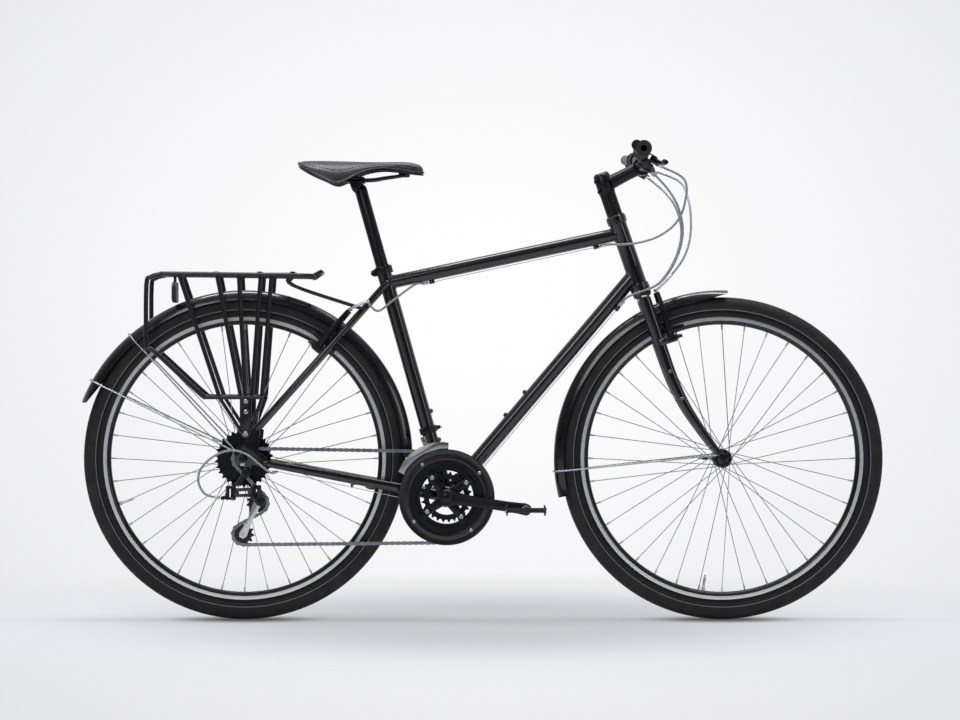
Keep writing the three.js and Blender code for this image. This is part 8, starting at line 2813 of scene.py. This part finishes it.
    def _saddle(self, fitter: Fitter) -> None:
        """Fits the padded cover with its seams, stitches and piping, and the moulded base under it.

        Args:
            fitter: Puts the pieces on the bicycle.
        """
        cover = self._sheet(0, 1.0, 6.5)
        fitter.fit(cover, "saddle_cover", "seat", SADDLE_VINYL, ["saddle"])
        stitches = []
        count = int(self.length * 0.84 / self.stitch)
        reach = 0.35 * self.stitch / self.length
        for side in (-1, 1):
            for i in range(count):
                share = 0.08 + 0.86 * i / count
                ends = [self._surface(at, side * self.seam, -0.95, 1.0) for at in (share, share + reach)]
                stitches.append(rod(ends[0], ends[1] + Vector((1.2, 0, 0)), 0.55, sides=6, edge=0))
        fitter.fit(joined(stitches), "saddle_stitches", "seat", SADDLE_VINYL)
        edge = [(i / 60, 1) for i in range(61)] + [(1 - i / 60, -1) for i in range(61)]
        edge += [(0, -1 + i / 6) for i in range(1, 12)]
        line = [self._surface(share, across, -0.6, 0.985) for share, across in edge]
        fitter.fit(pipe(line, 1.7, 10, closed=True), "saddle_piping", "seat", SADDLE_VINYL)
        h, s = self.rail_height, self.rail_side
        base = [self._sheet(6.8, 0.93, 2.4), block(self.place(104, 0, h + 19), (24, 17, 26), 3.0)]
        for side in (-1, 1):
            base.append(block(self.place(-84, side * s * 1.62, h + 24), (26, 14, 13), 2.5))
        fitter.fit(joined(base), "saddle_base", "seat", NYLON)


DRIVE = Drive()


# Studio


@dataclass
class Studio:
    """Pale floor and backdrop, soft lamps and the camera."""

    distance: float = 8000.0
    eye_x: float = -4.7
    eye_z: float = 557.0
    view_width: float = 2064.0
    sensor: float = 36.0
    floor_size: float = 24000.0
    paper_reach: float = 1900.0
    paper_glow: float = 0.6
    paper_colour: str = "#848588"
    glow_colour: str = "#e9eaee"
    bounce_colour: str = "#e4e5e9"
    # Painted shade in the paper: a soft pool under the bicycle, darkest at its middle
    painted_pool_reach: tuple[float, float] = (980.0, 1250.0)
    painted_pool_tone: float = 0.74
    # Painted shade in the paper round where each tyre stands, darkest at the tyre
    painted_tyre_shade_reach: tuple[float, float] = (200.0, 140.0)
    painted_tyre_shade_tone: float = 0.2
    wall_reach: tuple[float, float] = (0.278, 0.208)
    wall_middle: float = 0.0173
    room_dark: str = "#4a4b4e"
    room_light: str = "#e6e8ec"
    wall_light: str = "#fefefe"
    wall_dim: str = "#dcdde3"
    lamps: tuple[tuple[str, Place, Place, tuple[float, float], float], ...] = (
        ("softbox", (0, 60, 2700), (0, 0, 0), (2600, 560), 62.0),
        ("key", (-1400, -3200, 2400), (0, 0, 500), (1600, 1600), 38.0),
        ("side", (3000, -2400, 1300), (0, 0, 500), (1000, 1600), 14.0),
    )

    def build(self) -> None:
        """Builds the studio and sets the scene's camera."""
        scene = bpy.context.scene
        scene.view_settings.view_transform = "Standard"
        self._floor()
        self._world(scene)
        self._lamps()
        camera = bpy.data.objects.new("camera", bpy.data.cameras.new("camera"))
        scene.collection.objects.link(camera)
        camera.location = metres((self.eye_x, -self.distance, self.eye_z))
        camera.rotation_euler = (math.pi / 2, 0, 0)
        camera.data.sensor_width = self.sensor
        camera.data.lens = self.sensor * self.distance / self.view_width
        camera.data.clip_end = 60
        scene.camera = camera

    @staticmethod
    def _spread(
        tree: bpy.types.NodeTree,
        place: bpy.types.NodeSocket,
        middle: Place,
        reach: Place,
        start: float,
        tone: float,
    ) -> bpy.types.NodeSocket:
        """Makes a tone that is given at a middle and grows to one round it.

        Args:
            tree: The material's node tree.
            place: The place on the floor.
            middle: The middle, in millimetres.
            reach: How far the tone reaches along X, Y and Z, in millimetres; 0 leaves a direction out.
            start: The share of the reach at which the tone starts to change.
            tone: The tone in the middle.

        Returns:
            The tone's socket.
        """
        share = [1 / (length * MM) if length else 0.0 for length in reach]
        shift = [-at * MM * scale for at, scale in zip(middle, share)]
        scaled = add_node(
            tree, "ShaderNodeMapping", inputs={
                "Vector": place,
                "Location": tuple(shift),
                "Scale": tuple(share),
            }
        )
        apart = add_node(tree, "ShaderNodeVectorMath", {"operation": "LENGTH"}, {0: scaled.outputs[0]})
        mask = add_node(
            tree,
            "ShaderNodeMapRange",
            {"interpolation_type": "SMOOTHSTEP"},
            {
                "Value": apart.outputs["Value"],
                "From Min": start,
                "From Max": 1.0,
                "To Min": tone,
                "To Max": 1.0,
            },
        )
        return mask.outputs["Result"]

    def _shade(self, tree: bpy.types.NodeTree, place: bpy.types.NodeSocket) -> bpy.types.NodeSocket:
        """Paints shade into the paper: darker in a soft pool under the bicycle and where each tyre stands.

        Args:
            tree: The material's node tree.
            place: The place on the floor.

        Returns:
            The tone's socket, from 0 in full shade to 1 on clear paper.
        """
        painted_shade = self._spread(tree, place, (0, -60, 0), (*self.painted_pool_reach, 0), 0.3, self.painted_pool_tone)
        for axle in (LAYOUT.front_axle, LAYOUT.rear_axle):
            foot = self._spread(tree, place, (axle.x, 0, 0), (*self.painted_tyre_shade_reach, 0), 0.15, self.painted_tyre_shade_tone)
            painted_shade = add_node(tree, "ShaderNodeMath", {"operation": "MULTIPLY"}, {0: painted_shade, 1: foot}).outputs[0]
        return painted_shade

    def _ground_material(self) -> bpy.types.Material:
        """Makes the floor's pale paper: it has a painted pool of shade and painted shade under the tyres,
        takes the real shadows and fades out to the room.

        Returns:
            The material.
        """
        made = bpy.data.materials.new("studio_paper")
        made.use_nodes = True
        tree = made.node_tree
        tree.nodes.clear()
        out = add_node(tree, "ShaderNodeOutputMaterial")
        path = add_node(tree, "ShaderNodeLightPath")
        place = add_node(tree, "ShaderNodeTexCoord").outputs["Object"]
        paper = add_node(tree, "ShaderNodeBsdfDiffuse", inputs={"Color": linear(self.bounce_colour)})
        glow = add_node(
            tree, "ShaderNodeEmission", inputs={
                "Color": linear(self.glow_colour),
                "Strength": self.paper_glow,
            }
        )
        dim = add_node(tree, "ShaderNodeBsdfDiffuse", inputs={"Color": linear(self.paper_colour)})
        both = add_node(tree, "ShaderNodeAddShader", inputs={0: glow.outputs[0], 1: dim.outputs[0]})
        black = add_node(tree, "ShaderNodeEmission", inputs={"Color": (0, 0, 0, 1), "Strength": 0.0})
        # Painted shade: the paper is mixed towards black in the pool under the bicycle and where each tyre
        # stands.
        shade = self._shade(tree, place)
        shaded = add_node(
            tree,
            "ShaderNodeMixShader",
            inputs={0: shade, 1: black.outputs[0], 2: both.outputs[0]},
        )
        clear = add_node(tree, "ShaderNodeBsdfTransparent")
        faded = self._spread(tree, place, (0, 0, 0), (self.paper_reach, self.paper_reach, 0), 0.35, 0.0)
        seen = add_node(
            tree,
            "ShaderNodeMixShader",
            inputs={0: faded, 1: shaded.outputs[0], 2: clear.outputs[0]},
        )
        mix = add_node(
            tree,
            "ShaderNodeMixShader",
            inputs={0: path.outputs["Is Camera Ray"], 1: paper.outputs[0], 2: seen.outputs[0]},
        )
        tree.links.new(mix.outputs[0], out.inputs["Surface"])
        return made

    def _floor(self) -> None:
        """Lays the floor."""
        choose()
        bpy.ops.mesh.primitive_plane_add(size=self.floor_size * MM, location=(0, 0, -0.5 * MM))
        floor = settle(bpy.context.object)
        floor.name = "studio_floor"
        floor.data.materials.append(self._ground_material())

    def _world(self, scene: bpy.types.Scene) -> None:
        """Sets the room: a pale wall behind the bicycle with a painted spot of light that only the camera
        sees, and a dimmer room on the camera's side.

        Args:
            scene: The scene.
        """
        world = bpy.data.worlds.new("studio_room")
        scene.world = world
        world.use_nodes = True
        tree = world.node_tree
        tree.nodes.clear()
        way = add_node(tree, "ShaderNodeTexCoord").outputs["Generated"]
        wide, high = (1 / reach for reach in self.wall_reach)
        turned = add_node(
            tree,
            "ShaderNodeMapping",
            inputs={
                "Vector": way,
                "Location": (0.0, 0.0, -self.wall_middle * high),
                "Scale": (wide, 0.0, high),
            },
        )
        off = add_node(tree, "ShaderNodeVectorMath", {"operation": "LENGTH"}, {0: turned.outputs[0]})
        # The camera sees a painted spot of light on the wall: palest ahead of the camera, just above level,
        # and dimmer outwards.
        painted_light_spot = self._graded(tree, off.outputs["Value"], (0.0, 1.0), (self.wall_light, self.wall_dim))
        aloft = add_node(
            tree,
            "ShaderNodeVectorMath",
            {"operation": "DOT_PRODUCT"},
            {0: way, 1: (0, 0.75, 0.66)},
        )
        room = self._graded(tree, aloft.outputs["Value"], (-0.35, 0.7), (self.room_dark, self.room_light))
        path = add_node(tree, "ShaderNodeLightPath")
        lit = add_node(tree, "ShaderNodeBackground", inputs={"Color": room, "Strength": 1.0})
        seen = add_node(tree, "ShaderNodeBackground", inputs={"Color": painted_light_spot, "Strength": 1.0})
        mix = add_node(
            tree,
            "ShaderNodeMixShader",
            inputs={0: path.outputs["Is Camera Ray"], 1: lit.outputs[0], 2: seen.outputs[0]},
        )
        out = add_node(tree, "ShaderNodeOutputWorld")
        tree.links.new(mix.outputs[0], out.inputs["Surface"])

    @staticmethod
    def _graded(
        tree: bpy.types.NodeTree,
        value: bpy.types.NodeSocket,
        span: tuple[float, float],
        colours: tuple[str, str],
    ) -> bpy.types.NodeSocket:
        """Grades from one colour to another as a value rises.

        Args:
            tree: The world's node tree.
            value: The value.
            span: Where the grading starts and ends.
            colours: The colours below and above it.

        Returns:
            The colour's socket.
        """
        share = add_node(
            tree,
            "ShaderNodeMapRange",
            {"interpolation_type": "SMOOTHSTEP"},
            {"Value": value, "From Min": span[0], "From Max": span[1], "To Min": 0.0, "To Max": 1.0},
        )
        mix = add_node(tree, "ShaderNodeMix", {"data_type": "RGBA"}, {0: share.outputs["Result"]})
        mix.inputs[6].default_value, mix.inputs[7].default_value = (linear(c) for c in colours)
        return mix.outputs[2]

    def _lamps(self) -> None:
        """Hangs a long softbox above the bicycle and two weaker ones beside the camera."""
        for name, place, aim, size, power in self.lamps:
            data = bpy.data.lights.new(name, "AREA")
            data.shape = "RECTANGLE"
            data.size, data.size_y = (length * MM for length in size)
            data.energy = power
            lamp = bpy.data.objects.new(name, data)
            bpy.context.scene.collection.objects.link(lamp)
            lamp.location = metres(place)
            lamp.rotation_euler = (metres(aim) - metres(place)).to_track_quat("-Z", "Y").to_euler()


def main() -> None:
    """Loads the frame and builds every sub-assembly in order."""
    logging.basicConfig(level=logging.INFO, format="%(name)s %(message)s")
    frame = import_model()
    fitter = Fitter(frame["nodes"])
    Studio().build()
    Wheel(
        name="front",
        axle=LAYOUT.front_axle,
        left_flange=35.0,
        right_flange=35.0,
        flange_radius=20.0,
        barrel_radius=14.0,
        hub_ends=(-43.7, 43.7),
        valve_angle=math.radians(262),
    ).build(fitter)
    Wheel(
        name="rear",
        axle=LAYOUT.rear_axle,
        left_flange=34.0,
        right_flange=19.0,
        flange_radius=22.0,
        barrel_radius=15.0,
        hub_ends=(-22.6, 61.2),
        valve_angle=math.radians(200),
    ).build(fitter)
    FrameTubes().build(fitter)
    Fork().build(fitter)
    COCKPIT.build(fitter)
    Cables().build(fitter)
    DRIVE.build(fitter)
    Derailleurs().build(fitter)
    Brakes().build(fitter)
    Fenders().build(fitter)
    Rack().build(fitter)
    Seat().build(fitter)
    log.info("%d pieces fitted", fitter.count)


if __name__ == "__main__":
    main()
